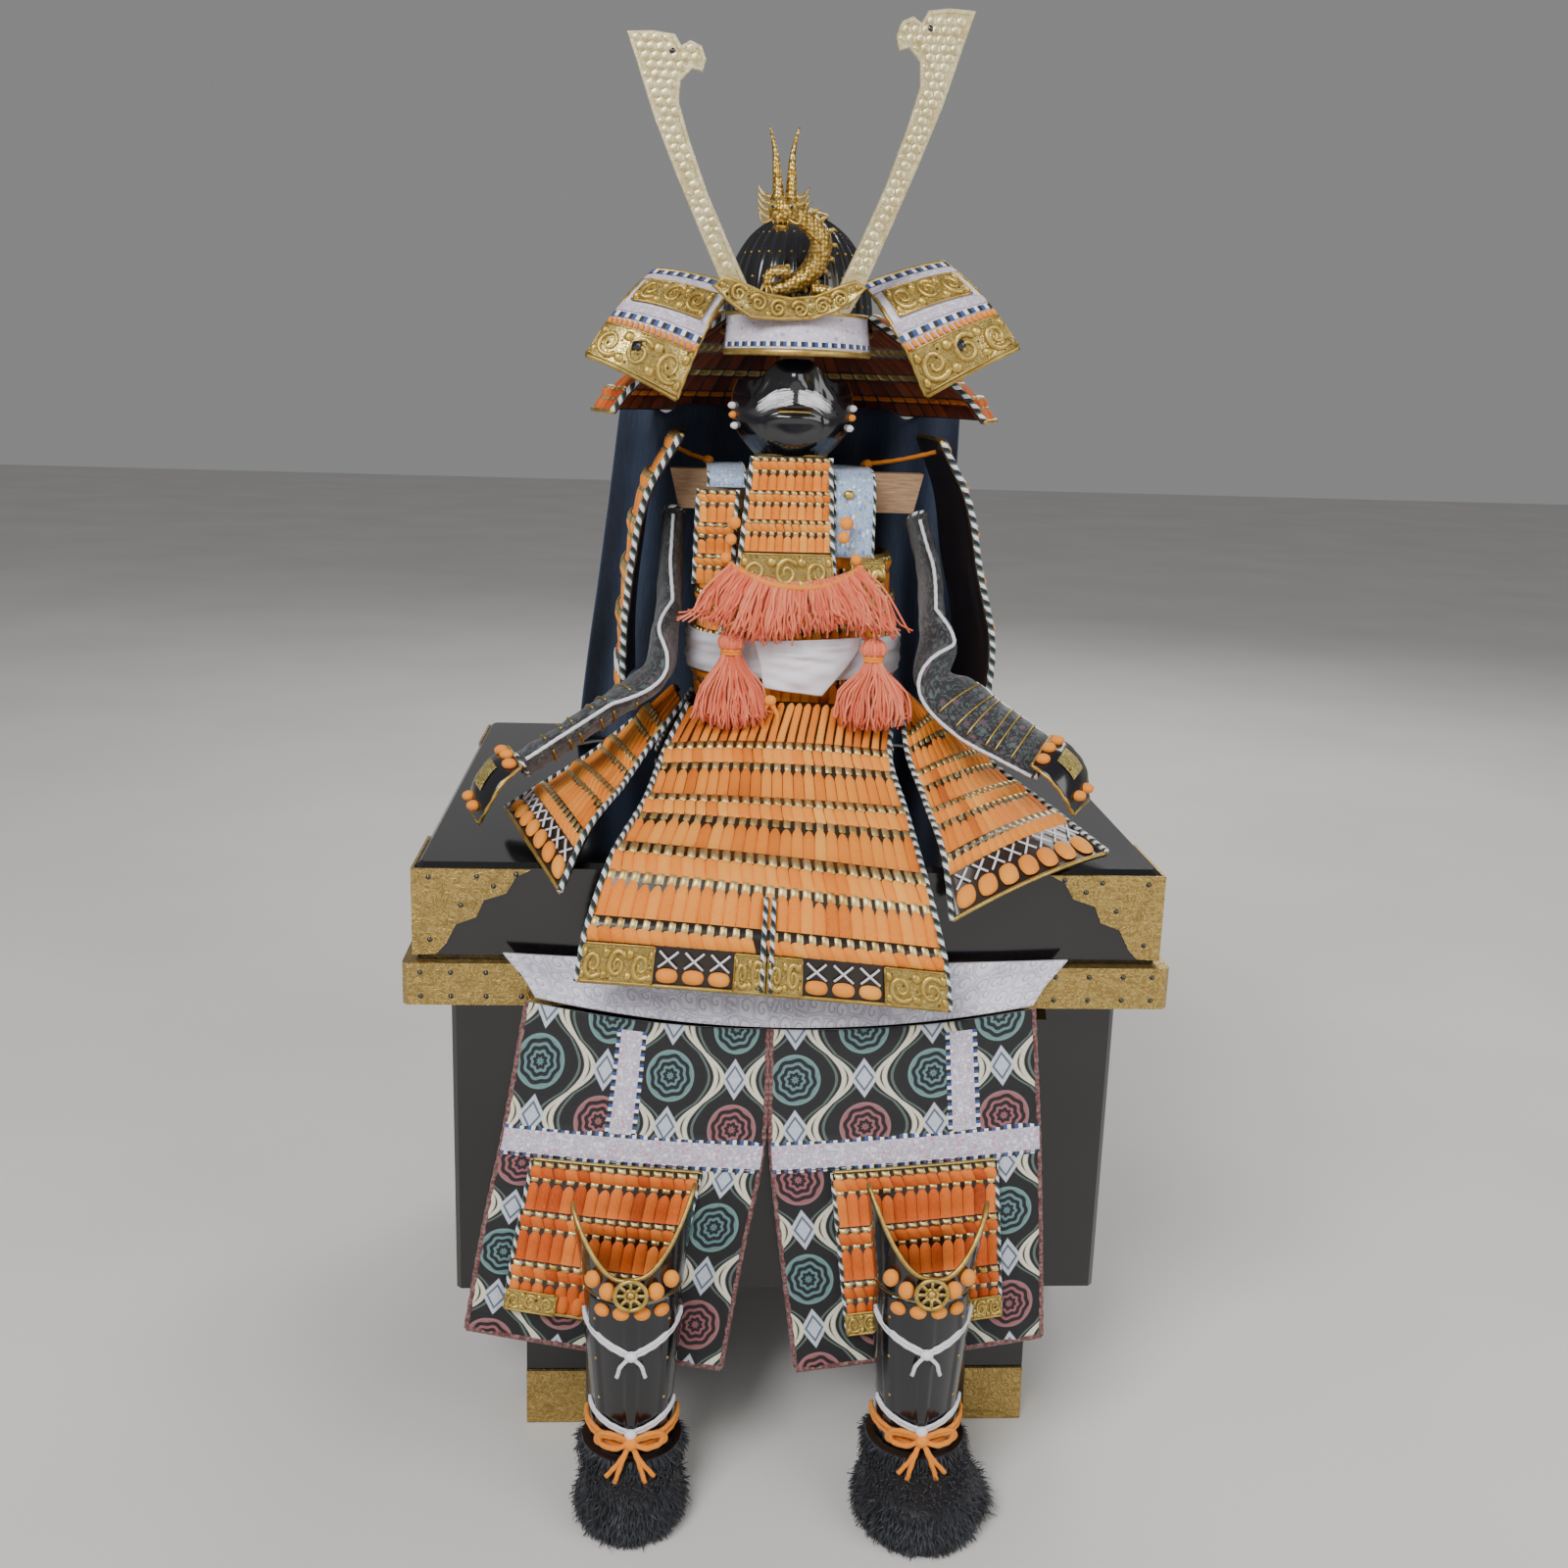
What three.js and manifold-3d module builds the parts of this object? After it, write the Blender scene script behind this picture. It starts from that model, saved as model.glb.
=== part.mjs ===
// Miniature samurai armour set, seated on its own six-legged armour chest.
// Millimetres, +Z up, the viewer looks along +Y. While the pieces are made, Y is 0 at the front face
// of the chest's lid; the whole set is centred on the origin at the end.
import * as THREE from "three";
import { mergeVertices } from "three/addons/utils/BufferGeometryUtils.js";
import Module from "manifold-3d";

const wasm = await Module();
wasm.setup();

// Driving sizes
const gap = 0.3;
const chest = {
  lidHalf: 150, lidDepth: 271, lidTop: 254, lidHeight: 39.8, wall: 6, edge: 2,
  ledgeOut: 5.3, ledgeHeight: 17.6, bodyInset: 11.6, bodyFoot: 60,
};
const leg = { width: 25.5, inset: 43, top: 190, capTop: 24, out: 5.7, under: 12 };
const cornerPlate = { reach: 46, thick: 1.2 };
const lame = { head: 2.8, bump: 3.2, band: 2.1, foot: 0.9, leadTop: 1.6, leadFoot: 1.2, lump: 0.7 };
const centre = { torsoX: 4.5, bodyY: 112, helmetX: 2, helmetY: 110 };
const cloth = 1.4;
const plate = 1.6;

const DEG = Math.PI / 180;
const V = (x, y, z) => new THREE.Vector3(x, y, z);
const mix = THREE.MathUtils.lerp;
const clamp01 = (t) => Math.min(Math.max(t, 0), 1);
const spread = (count) => Array.from({ length: count + 1 }, (_, i) => i / count);
const hill = (t, at, width) => Math.exp(-(((t - at) / width) ** 2));

// Colours
const finish = (color, roughness, metalness = 0) =>
  new THREE.MeshStandardMaterial({ color, roughness, metalness });
const looks = {
  lacquer: finish("#15130f", 0.25),
  gold: finish("#c9a24a", 0.35, 0.8),
  paleGold: finish("#e3d49a", 0.4, 0.6),
  orange: finish("#d9762f", 0.8),
  black: finish("#0f0e0d", 0.35),
  leather: finish("#cfc6d4", 0.7),
  navy: finish("#22304a", 0.9),
  brocade: finish("#4a4038", 0.8),
  blueBrocade: finish("#b9c8dc", 0.8),
  white: finish("#e9e6ec", 0.85),
  salmon: finish("#d8705a", 0.9),
  wood: finish("#a88464", 0.7),
  fur: finish("#15161c", 0.95),
};

const model = new THREE.Group();
const add = (name, geometry, material) => {
  const mesh = new THREE.Mesh(geometry, material);
  mesh.name = name;
  model.add(mesh);
};

// Closed-mesh tools

class Body {
  constructor() {
    this.points = [];
    this.faces = [];
  }
  point(p) {
    this.points.push(p.x, p.y, p.z);
    return this.points.length / 3 - 1;
  }
  grid(points) {
    return points.map((row) => row.map((p) => this.point(p)));
  }
  // Rows of indices skinned so that the face looks along down × right
  skin(rows, flip = false) {
    for (let r = 0; r + 1 < rows.length; r++) {
      for (let c = 0; c + 1 < rows[r].length; c++) {
        const [a, b, d, e] = [rows[r][c], rows[r + 1][c], rows[r + 1][c + 1], rows[r][c + 1]];
        this.faces.push(...(flip ? [a, d, b, a, e, d] : [a, b, d, a, d, e]));
      }
    }
  }
  // Strip between two edges that may have different numbers of points
  zip(outer, inner) {
    let i = 0;
    let j = 0;
    while (i + 1 < outer.length || j + 1 < inner.length) {
      const nextOuter = (i + 1) / (outer.length - 1);
      const nextInner = (j + 1) / (inner.length - 1);
      if (j + 1 >= inner.length || (i + 1 < outer.length && nextOuter <= nextInner)) {
        this.faces.push(outer[i + 1], outer[i], inner[j]);
        i++;
      } else {
        this.faces.push(inner[j], inner[j + 1], outer[i]);
        j++;
      }
    }
  }
  cap(ring, flip = false) {
    const middle = V(0, 0, 0);
    for (const i of ring) middle.add(V(...this.points.slice(3 * i, 3 * i + 3)));
    const hub = this.point(middle.divideScalar(ring.length));
    ring.forEach((a, i) => {
      const b = ring[(i + 1) % ring.length];
      this.faces.push(...(flip ? [hub, b, a] : [hub, a, b]));
    });
  }
  volume() {
    let sum = 0;
    for (let i = 0; i < this.faces.length; i += 3) {
      const [a, b, c] = this.faces.slice(i, i + 3).map((at) => V(...this.points.slice(3 * at, 3 * at + 3)));
      sum += a.dot(b.cross(c)) / 6;
    }
    return sum;
  }
  geometry() {
    if (this.volume() < 0) {
      for (let i = 0; i < this.faces.length; i += 3) {
        [this.faces[i + 1], this.faces[i + 2]] = [this.faces[i + 2], this.faces[i + 1]];
      }
    }
    const made = new THREE.BufferGeometry();
    made.setAttribute("position", new THREE.Float32BufferAttribute(this.points, 3));
    made.setIndex(this.faces);
    return made;
  }
}

// Value of a list at t from 0 to 1, on a smooth curve through every entry
function smooth(values, t) {
  const last = values.length - 1;
  const at = clamp01(t) * last;
  const i = Math.min(Math.floor(at), last - 1);
  const f = at - i;
  const [b, c] = [values[i], values[i + 1]];
  const a = i > 0 ? values[i - 1] : 2 * b - c;
  const d = i + 2 <= last ? values[i + 2] : 2 * c - b;
  return b + 0.5 * f * (c - a + f * (2 * a - 5 * b + 4 * c - d + f * (3 * (b - c) + d - a)));
}
const column = (table, key, t) => smooth(table.map((row) => row[key]), t);

// Surface from a table of left and right edge points, bowed out between them
function sheetSurface(table, out) {
  const bowed = V(...out).normalize();
  return (u, v) => {
    const side = (axis) => mix(column(table, "l" + axis, v), column(table, "r" + axis, v), u);
    const bow = 4 * u * (1 - u) * column(table, "bow", v);
    return V(side("x"), side("y"), side("z")).addScaledVector(bowed, bow);
  };
}

// Surface round a vertical axis from a table of levels. Angles run from the front towards +X.
function ringSurface(cx, cy, levels, from, to, rise = () => 0) {
  return (u, v) => {
    const angle = mix(from, to, u) * DEG;
    return V(
      cx + column(levels, "rx", v) * Math.sin(angle),
      cy - column(levels, "ry", v) * Math.cos(angle),
      column(levels, "z", v) + rise(angle) * (1 - v),
    );
  };
}

function normalAt(surface, u, v) {
  const e = 1e-3;
  const [u0, u1] = [Math.max(u - e, 0), Math.min(u + e, 1)];
  const [v0, v1] = [Math.max(v - e, 0), Math.min(v + e, 1)];
  const right = surface(u1, v).sub(surface(u0, v));
  const down = surface(u, v1).sub(surface(u, v0));
  return down.cross(right).normalize();
}

const offsetGrid = (surface, us, vs, height) =>
  vs.map((v) => us.map((u) => surface(u, v).addScaledVector(normalAt(surface, u, v), height(u, v))));

// Closed wall between a grid of outer points and a grid of inner ones
function wallBetween(outerPoints, innerPoints) {
  const body = new Body();
  const outer = body.grid(outerPoints);
  const inner = body.grid(innerPoints);
  body.skin(outer);
  body.skin(inner, true);
  const left = (rows) => rows.map((row) => row[0]);
  const right = (rows) => rows.map((row) => row[row.length - 1]).reverse();
  body.zip(left(outer), left(inner));
  body.zip(outer[outer.length - 1], inner[inner.length - 1]);
  body.zip(right(outer), right(inner));
  body.zip([...outer[0]].reverse(), [...inner[0]].reverse());
  return body.geometry();
}
const flush = () => 0;

// Open wall: outer points stand at the given height over a plain inside
const sheetWall = (surface, { us, vs, height, innerUs = us, innerVs = vs }) =>
  wallBetween(offsetGrid(surface, us, vs, height), offsetGrid(surface, innerUs, innerVs, flush));

// Closed rings of points skinned in turn. The ends are capped, or joined to each other.
function loft(rings, joined = false) {
  const body = new Body();
  const rows = body.grid(rings).map((row) => [...row, row[0]]);
  body.skin(joined ? [...rows, rows[0]] : rows);
  if (!joined) {
    body.cap(rows[0].slice(0, -1));
    body.cap(rows[rows.length - 1].slice(0, -1), true);
  }
  return body.geometry();
}

// Wall that goes all the way round, open at both ends
function tubeWall(surface, { columns, outerVs, innerVs, height }) {
  const us = spread(columns).slice(0, -1);
  const outer = offsetGrid(surface, us, outerVs, height);
  const inner = offsetGrid(surface, us, innerVs, flush).reverse();
  return loft([...outer, ...inner], true);
}

const toSolid = (geometry) => {
  const bare = new THREE.BufferGeometry();
  bare.setAttribute("position", geometry.getAttribute("position"));
  if (geometry.index) bare.setIndex(geometry.index);
  const merged = mergeVertices(bare, 1e-4);
  return new wasm.Manifold(new wasm.Mesh({
    numProp: 3,
    vertProperties: new Float32Array(merged.getAttribute("position").array),
    triVerts: new Uint32Array(merged.index.array),
  }));
};
function join(geometries) {
  const mesh = geometries.map(toSolid).reduce((whole, next) => whole.add(next)).getMesh();
  const made = new THREE.BufferGeometry();
  made.setAttribute("position", new THREE.Float32BufferAttribute(mesh.vertProperties, 3));
  made.setIndex(Array.from(mesh.triVerts));
  return made;
}

const block = ([x0, x1], [y0, y1], [z0, z1]) =>
  new THREE.BoxGeometry(x1 - x0, y1 - y0, z1 - z0).translate((x0 + x1) / 2, (y0 + y1) / 2, (z0 + z1) / 2);
const egg = (at, radii, sides = 7) =>
  new THREE.SphereGeometry(1, sides, Math.round(sides * 0.6)).scale(...radii).translate(...at);

// Round or flat-sided rod along a smooth line of points
function rod(points, radius, sides = 6, steps = 8) {
  const circle = new THREE.Shape(spread(sides).slice(0, -1).map((t) =>
    new THREE.Vector2(radius * Math.cos(2 * Math.PI * t), radius * Math.sin(2 * Math.PI * t))));
  const path = new THREE.CatmullRomCurve3(points.map((p) => V(...p)), false, "catmullrom");
  return new THREE.ExtrudeGeometry(circle, { steps, extrudePath: path, bevelEnabled: false });
}
// Tapering rod whose cross-sections stay level
function strand(points, radii, sides = 3) {
  return loft(points.map(([x, y, z], i) => spread(sides).slice(0, -1).map((t) =>
    V(x + radii[i] * Math.cos(2 * Math.PI * t), y + radii[i] * Math.sin(2 * Math.PI * t), z))));
}

// The armour chest

const bodyHalf = chest.lidHalf - chest.bodyInset;
const lidFoot = chest.lidTop - chest.lidHeight;
const ledgeTop = lidFoot - gap;
const ledgeFoot = ledgeTop - chest.ledgeHeight;
const chestMiddle = chest.lidDepth / 2;

// Level rectangle with cut corners, grown or shrunk from the lid's outline
function outline(grow, z, cut = chest.edge) {
  const [x, y0, y1] = [chest.lidHalf + grow, -grow, chest.lidDepth + grow];
  return [
    V(-x + cut, y0, z), V(x - cut, y0, z), V(x, y0 + cut, z), V(x, y1 - cut, z),
    V(x - cut, y1, z), V(-x + cut, y1, z), V(-x, y1 - cut, z), V(-x, y0 + cut, z),
  ];
}

function chestLid() {
  const inner = -chest.wall;
  return loft([
    outline(inner, chest.lidTop - chest.wall), outline(inner, lidFoot), outline(0, lidFoot),
    outline(0, chest.lidTop - chest.edge), outline(-chest.edge, chest.lidTop),
  ]);
}

function chestBody() {
  const out = -chest.bodyInset;
  const inner = out - chest.wall;
  return loft([
    outline(inner, chest.bodyFoot + chest.wall), outline(inner, ledgeTop), outline(chest.ledgeOut, ledgeTop),
    outline(chest.ledgeOut, ledgeFoot), outline(out, ledgeFoot), outline(out, chest.bodyFoot),
  ]);
}

// Leg outline, out from the face that it is fixed to and up from the floor
const legOutline = [
  { out: -leg.under, up: 0 }, { out: leg.out + 2.3, up: 0 }, { out: leg.out + 1, up: leg.capTop },
  { out: leg.out - 0.2, up: leg.capTop }, { out: leg.out - 1.2, up: chest.bodyFoot },
  { out: leg.out, up: 120 }, { out: leg.out, up: leg.top - 3 }, { out: 3, up: leg.top },
  { out: gap, up: leg.top }, { out: gap, up: chest.bodyFoot - gap },
  { out: -leg.under, up: chest.bodyFoot - gap }, { out: -leg.under + 1.2, up: leg.capTop },
];

function chestLeg({ x, y, face }) {
  const shape = new THREE.Shape(legOutline.map((p) => new THREE.Vector2(p.out, p.up)));
  const made = new THREE.ExtrudeGeometry(shape, { depth: leg.width, bevelEnabled: false });
  made.translate(0, 0, -leg.width / 2);
  const outward = V(Math.sin(face * DEG), -Math.cos(face * DEG), 0);
  const along = outward.clone().cross(V(0, 0, 1));
  made.applyMatrix4(new THREE.Matrix4().makeBasis(outward, V(0, 0, 1), along));
  return made.translate(x, y, 0);
}

// Lower edge of a lid corner plate: height left at each distance from the corner
const plateEdge = [
  { far: 0, tall: 38 }, { far: 8, tall: 37.5 }, { far: 12, tall: 33 }, { far: 16, tall: 25 },
  { far: 24, tall: 22 }, { far: 27, tall: 15 }, { far: 36, tall: 12 }, { far: 40, tall: 5 },
  { far: cornerPlate.reach, tall: 2 },
];

function cornerPlateWall(sx, sy) {
  const corner = V(sx * chest.lidHalf, sy < 0 ? 0 : chest.lidDepth, 0);
  const steps = [...plateEdge].reverse().map((p) => ({ ...p, side: true })).concat(plateEdge.slice(1));
  const at = ({ far, tall, side }, out, z) => {
    const [dx, dy] = side ? [0, far] : [far, 0];
    const onCorner = far === 0;
    const x = corner.x - sx * dx + sx * (side || onCorner ? out : 0);
    const y = corner.y - sy * dy + sy * (!side || onCorner ? out : 0);
    return V(x, y, z === "top" ? chest.lidTop - chest.edge : chest.lidTop - tall);
  };
  const body = new Body();
  const layer = (out) => body.grid(["top", "foot"].map((z) => steps.map((s) => at(s, out, z))));
  const [outer, inner] = [layer(gap + cornerPlate.thick), layer(gap)];
  body.skin(outer);
  body.skin(inner, true);
  body.zip([outer[0][0], outer[1][0]], [inner[0][0], inner[1][0]]);
  body.zip(outer[1], inner[1]);
  const end = steps.length - 1;
  body.zip([outer[1][end], outer[0][end]], [inner[1][end], inner[0][end]]);
  body.zip([...outer[0]].reverse(), [...inner[0]].reverse());
  return body.geometry();
}

add("chest_lid", chestLid(), looks.lacquer);
add("chest_body", chestBody(), looks.lacquer);
const legX = bodyHalf - leg.inset;
const [bodyFront, bodyBack] = [chest.bodyInset, chest.lidDepth - chest.bodyInset];
const legs = [
  { name: "leg_front_left", x: -legX, y: bodyFront, face: 0 },
  { name: "leg_front_right", x: legX, y: bodyFront, face: 0 },
  { name: "leg_side_right", x: bodyHalf, y: chestMiddle, face: 90 },
  { name: "leg_back_right", x: legX, y: bodyBack, face: 180 },
  { name: "leg_back_left", x: -legX, y: bodyBack, face: 180 },
  { name: "leg_side_left", x: -bodyHalf, y: chestMiddle, face: 270 },
];
for (const each of legs) add(each.name, chestLeg(each), looks.lacquer);
for (const [end, sy] of [["front", -1], ["back", 1]]) {
  add(`corner_plate_${end}_left`, cornerPlateWall(-1, sy), looks.gold);
  add(`corner_plate_${end}_right`, cornerPlateWall(1, sy), looks.gold);
}

// The wooden stand inside, and the cape behind

const stand = { x: [-4, 10], y: [112, 126], baseTop: 262, head: 502.8, armZ: [428, 440], armFront: 75 };
const crossbar = { x: [-52, 59], y: [100, 111.7], z: [387, 404], taper: 4 };

function standPost() {
  const foot = chest.lidTop + gap;
  return join([
    block([-34, 40], [92, 146], [foot, stand.baseTop]),
    block(stand.x, stand.y, [stand.baseTop - 1, stand.head]),
    block(stand.x, [stand.armFront, stand.y[0] + 1], stand.armZ),
  ]);
}
function standCrossbar() {
  const { x: [x0, x1], z: [z0, z1], taper } = crossbar;
  const shape = new THREE.Shape([[x0, z1], [x0 + taper, z0], [x1 - taper, z0], [x1, z1]]
    .map(([x, z]) => new THREE.Vector2(x, z)));
  const depth = crossbar.y[1] - crossbar.y[0];
  const made = new THREE.ExtrudeGeometry(shape, { depth, bevelEnabled: false });
  return made.rotateX(Math.PI / 2).translate(0, crossbar.y[1], 0);
}
add("stand_post", standPost(), looks.wood);
add("stand_crossbar", standCrossbar(), looks.wood);

const capeFolds = 7;
const capeTable = [
  { lx: 84, ly: 166, lz: 424, rx: -76, ry: 166, rz: 424, bow: -6 },
  { lx: 86, ly: 180, lz: 382, rx: -82, ry: 180, rz: 382, bow: -1 },
  { lx: 90, ly: 193, lz: 338, rx: -88, ry: 193, rz: 338, bow: 0 },
  { lx: 94, ly: 208, lz: 296, rx: -94, ry: 208, rz: 296, bow: 0 },
  { lx: 98, ly: 222, lz: 254.6, rx: -99, ry: 222, rz: 254.6, bow: 0 },
];
const capeFold = (u, v) => (1.2 + 3.2 * v) * Math.sin(2 * Math.PI * (capeFolds * u + 0.35 * Math.sin(5 * u)));
const capeBase = sheetSurface(capeTable, [0, 1, 0]);
const capeSurface = (u, v) => capeBase(u, v).add(V(0, capeFold(u, v), 0));
const capeForm = { us: spread(4 * capeFolds), vs: spread(5), height: () => cloth };
add("cape", sheetWall(capeSurface, capeForm), looks.navy);

// Laced scale plates: each row steps out at its head, swells over the knots and falls back to its foot

const lameProfile = [
  { at: 0, high: lame.head }, { at: 0.16, high: lame.bump }, { at: 0.3, high: lame.band },
  { at: 0.97, high: lame.foot },
];
// Lines down a laced wall, with its depth at each. Rows start at the given heads; bare cords lead down
// to the first one.
function lacedLines(heads) {
  const lead = heads[0];
  const lines = lead > 0 ? [{ v: 0, high: lame.leadTop }, { v: lead * 0.97, high: lame.leadFoot }] : [];
  heads.forEach((head, i) => {
    const foot = heads[i + 1] ?? 1;
    for (const p of lameProfile) lines.push({ v: mix(head, foot, p.at), high: p.high });
  });
  lines.push({ v: 1, high: lame.foot + 0.4 });
  return lines;
}
const evenHeads = (count) => spread(count).slice(0, -1);
// The last row may swell into a number of round lumps
function lacedWall(surface, { heads, columns, innerRows = 2 * heads.length, lumps = 0 }) {
  const lines = lacedLines(heads);
  const lastRow = lines.length - 1 - lameProfile.length;
  const wave = (u) => lame.lump * Math.max(0, Math.sin(2 * Math.PI * lumps * u));
  const swell = (u, line) => (line >= lastRow ? wave(u) : 0);
  const outer = lines.map(({ v, high }, line) => spread(columns).map((u) =>
    surface(u, v).addScaledVector(normalAt(surface, u, v), high + swell(u, line))));
  const innerColumns = spread(Math.ceil(columns / 1.5));
  return wallBetween(outer, offsetGrid(surface, innerColumns, spread(innerRows), flush));
}

// The body armour

const torsoLevels = [
  { z: 368, rx: 39, ry: 35.5 },
  { z: 346, rx: 41.5, ry: 37 },
  { z: 324, rx: 42.5, ry: 37.5 },
  { z: 302, rx: 42.5, ry: 37 },
];
// The front and back stand higher than the sides under the arms
const torsoRise = (angle) => 30 * THREE.MathUtils.smoothstep(Math.abs(Math.cos(angle)), 0.6, 0.92);
const torso = { from: -48, to: 228, sidePlate: [-131, -49] };
const torsoRing = (from, to) => ringSurface(centre.torsoX, centre.bodyY, torsoLevels, from, to, torsoRise);
const bodyForm = { heads: evenHeads(4), innerRows: 4 };
add("torso", lacedWall(torsoRing(torso.from, torso.to), { ...bodyForm, columns: 20 }), looks.orange);
add("side_plate", lacedWall(torsoRing(...torso.sidePlate), { ...bodyForm, columns: 7 }), looks.orange);

const throatTable = [
  { lx: -17, ly: 74.5, lz: 411, rx: 15, ry: 74.5, rz: 411, bow: 1.5 },
  { lx: -19, ly: 72, lz: 392, rx: 15.6, ry: 72, rz: 392, bow: 2 },
  { lx: -21, ly: 68.5, lz: 374, rx: 16.4, ry: 68.5, rz: 374, bow: 2 },
  { lx: -23.5, ly: 66.5, lz: 355, rx: 18.5, ry: 66.5, rz: 355, bow: 2 },
];
const throatSurface = sheetSurface(throatTable, [0, -1, 0.1]);
add("throat_guard", lacedWall(throatSurface, { ...bodyForm, columns: 6 }), looks.orange);

const breastLaced = [
  { lx: -39, ly: 78, lz: 397, rx: -23.5, ry: 75, rz: 397, bow: 1 },
  { lx: -40, ly: 77, lz: 357, rx: -25, ry: 71.5, rz: 357, bow: 1 },
];
const breastGilt = [
  { lx: 25, ly: 72, lz: 369.4, rx: 40, ry: 76, rz: 369.4, bow: 1 },
  { lx: 25, ly: 72, lz: 341, rx: 40, ry: 76, rz: 341, bow: 1 },
];
const breastForm = { heads: evenHeads(3), columns: 3 };
add("breast_plate_left", lacedWall(sheetSurface(breastLaced, [0, -1, 0]), breastForm), looks.orange);
add("breast_plate_right", sheetWall(sheetSurface(breastGilt, [0, -1, 0]),
  { us: spread(3), vs: spread(2), height: () => 2 }), looks.gold);

// Shoulder straps run from the chest over the crossbar to the back
const strapPath = [
  { y: 72.9, z: 370 }, { y: 73.5, z: 394 }, { y: 80, z: 403 }, { y: 97, z: 404.5 }, { y: 115, z: 404.5 },
  { y: 132, z: 404 }, { y: 144.6, z: 402.4 }, { y: 150.2, z: 394 }, { y: 150.4, z: 376 },
];
function strap(x0, x1, path) {
  const table = path.map(({ y, z }) => ({ lx: x0, ly: y, lz: z, rx: x1, ry: y, rz: z, bow: 0 })).reverse();
  return sheetWall(sheetSurface(table, [0, -1, 0]), { us: [0, 1], vs: spread(14), height: () => cloth });
}
// Cord that ties a shoulder guard to its strap
const guardTie = (x0, x1) => rod([[x0, 118, 406.6], [mix(x0, x1, 0.5), 118, 409], [x1, 118, 413]], 1.1, 5, 4);
const shortStrap = [{ y: 74.4, z: 397.9 }, { y: 76.6, z: 402.6 }, ...strapPath.slice(3)];
add("strap_left", join([strap(-36, -20, shortStrap), guardTie(-34, -51.2)]), looks.blueBrocade);
add("strap_right", join([strap(17.5, 35, strapPath), guardTie(33, 66.5)]), looks.blueBrocade);

// Sash round the waist, with soft folds round it, and a cloth that hangs in front
const beltLevels = [334, 326, 317].map((z) => ({ z, rx: 46.6, ry: 41.6 }));
const beltSurface = ringSurface(centre.torsoX, centre.bodyY, beltLevels, 0, 360);
add("belt", tubeWall(beltSurface, {
  columns: 20, outerVs: [0, 0.25, 0.5, 0.75, 1], innerVs: [0, 1],
  height: (u, v) => 1.6 + 0.7 * Math.abs(Math.sin(2 * Math.PI * v)),
}), looks.white);

const drapeTable = [
  { lx: -15, ly: 70.8, lz: 334, rx: 31, ry: 73, rz: 336, bow: 4.6 },
  { lx: -12, ly: 69.4, lz: 325, rx: 28, ry: 72, rz: 328, bow: 4.2 },
  { lx: -10, ly: 68.6, lz: 314, rx: 14, ry: 68.6, rz: 311, bow: 2.5 },
];
const drapeFold = (u, v) => 0.8 * Math.sin(2 * Math.PI * (2.2 * v + 0.9 * u)) * Math.sin(Math.PI * u);
add("belt_drape", sheetWall(sheetSurface(drapeTable, [0, -1, 0]),
  { us: spread(8), vs: spread(5), height: (u, v) => 2 + drapeFold(u, v) }), looks.white);

// The skirt: four laced panels that spread from the waist over the lid

const skirtFront = [
  { lx: -42, ly: 77, lz: 303, rx: 46, ry: 77, rz: 302, bow: 8 },
  { lx: -52, ly: 58, lz: 286, rx: 43.5, ry: 58, rz: 284, bow: 7 },
  { lx: -60, ly: 26, lz: 272, rx: 48, ry: 26, rz: 267, bow: 3 },
  { lx: -72.5, ly: -11, lz: 258, rx: 53, ry: -13, rz: 245, bow: 3 },
  { lx: -81, ly: -25, lz: 235, rx: 58.5, ry: -25, rz: 223, bow: 3 },
  { lx: -84.5, ly: -28, lz: 216, rx: 61, ry: -28, rz: 204.5, bow: 3 },
];
const skirtRight = [
  { lx: 49.5, ly: 74, lz: 302, rx: 53, ry: 118, rz: 302, bow: 6 },
  { lx: 51, ly: 55, lz: 287, rx: 79, ry: 98, rz: 287, bow: 5 },
  { lx: 55, ly: 28, lz: 274, rx: 96, ry: 78, rz: 274, bow: 3 },
  { lx: 58, ly: -2, lz: 262, rx: 113, ry: 58, rz: 264, bow: 3 },
  { lx: 62, ly: -16, lz: 237, rx: 129, ry: 10, rz: 257, bow: 5 },
];
const skirtLeft = [
  { lx: -46, ly: 122, lz: 302, rx: -44.5, ry: 80, rz: 303, bow: 6 },
  { lx: -66, ly: 110, lz: 288, rx: -58, ry: 60, rz: 288, bow: 5 },
  { lx: -84, ly: 94, lz: 276, rx: -68, ry: 36, rz: 277, bow: 3 },
  { lx: -101, ly: 76, lz: 268, rx: -80, ry: 2, rz: 268, bow: 4 },
  { lx: -119, ly: 55, lz: 260, rx: -91, ry: -16, rz: 246.5, bow: 7 },
];
const skirtBack = [
  { lx: 48, ly: 139, lz: 297, rx: -40, ry: 139, rz: 297, bow: 15 },
  { lx: 53, ly: 158, lz: 284, rx: -46, ry: 158, rz: 284, bow: 9 },
  { lx: 58, ly: 177, lz: 271, rx: -52, ry: 177, rz: 271, bow: 5 },
  { lx: 63, ly: 196, lz: 254.7, rx: -58, ry: 196, rz: 254.7, bow: 2 },
];
// Where the rows of each skirt start, as shares of its length
const frontHeads = [0.17, 0.375, 0.545, 0.75];
const sideHeads = [0.14, 0.36, 0.57, 0.78];
const backHeads = [0.18, 0.39, 0.59, 0.8];
const skirts = [
  { name: "skirt_front", table: skirtFront, out: [0, -1, 0.6], heads: frontHeads, columns: 9 },
  { name: "skirt_right", table: skirtRight, out: [0.5, -0.5, 1], heads: sideHeads, columns: 7 },
  { name: "skirt_left", table: skirtLeft, out: [-0.5, -0.5, 1], heads: sideHeads, columns: 7 },
  { name: "skirt_back", table: skirtBack, out: [0, 1, 0.25], heads: backHeads, columns: 7 },
];
for (const { name, table, out, ...form } of skirts) {
  add(name, lacedWall(sheetSurface(table, out), { ...form, innerRows: 8, lumps: 4 }), looks.orange);
}

// The large shoulder guards

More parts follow.
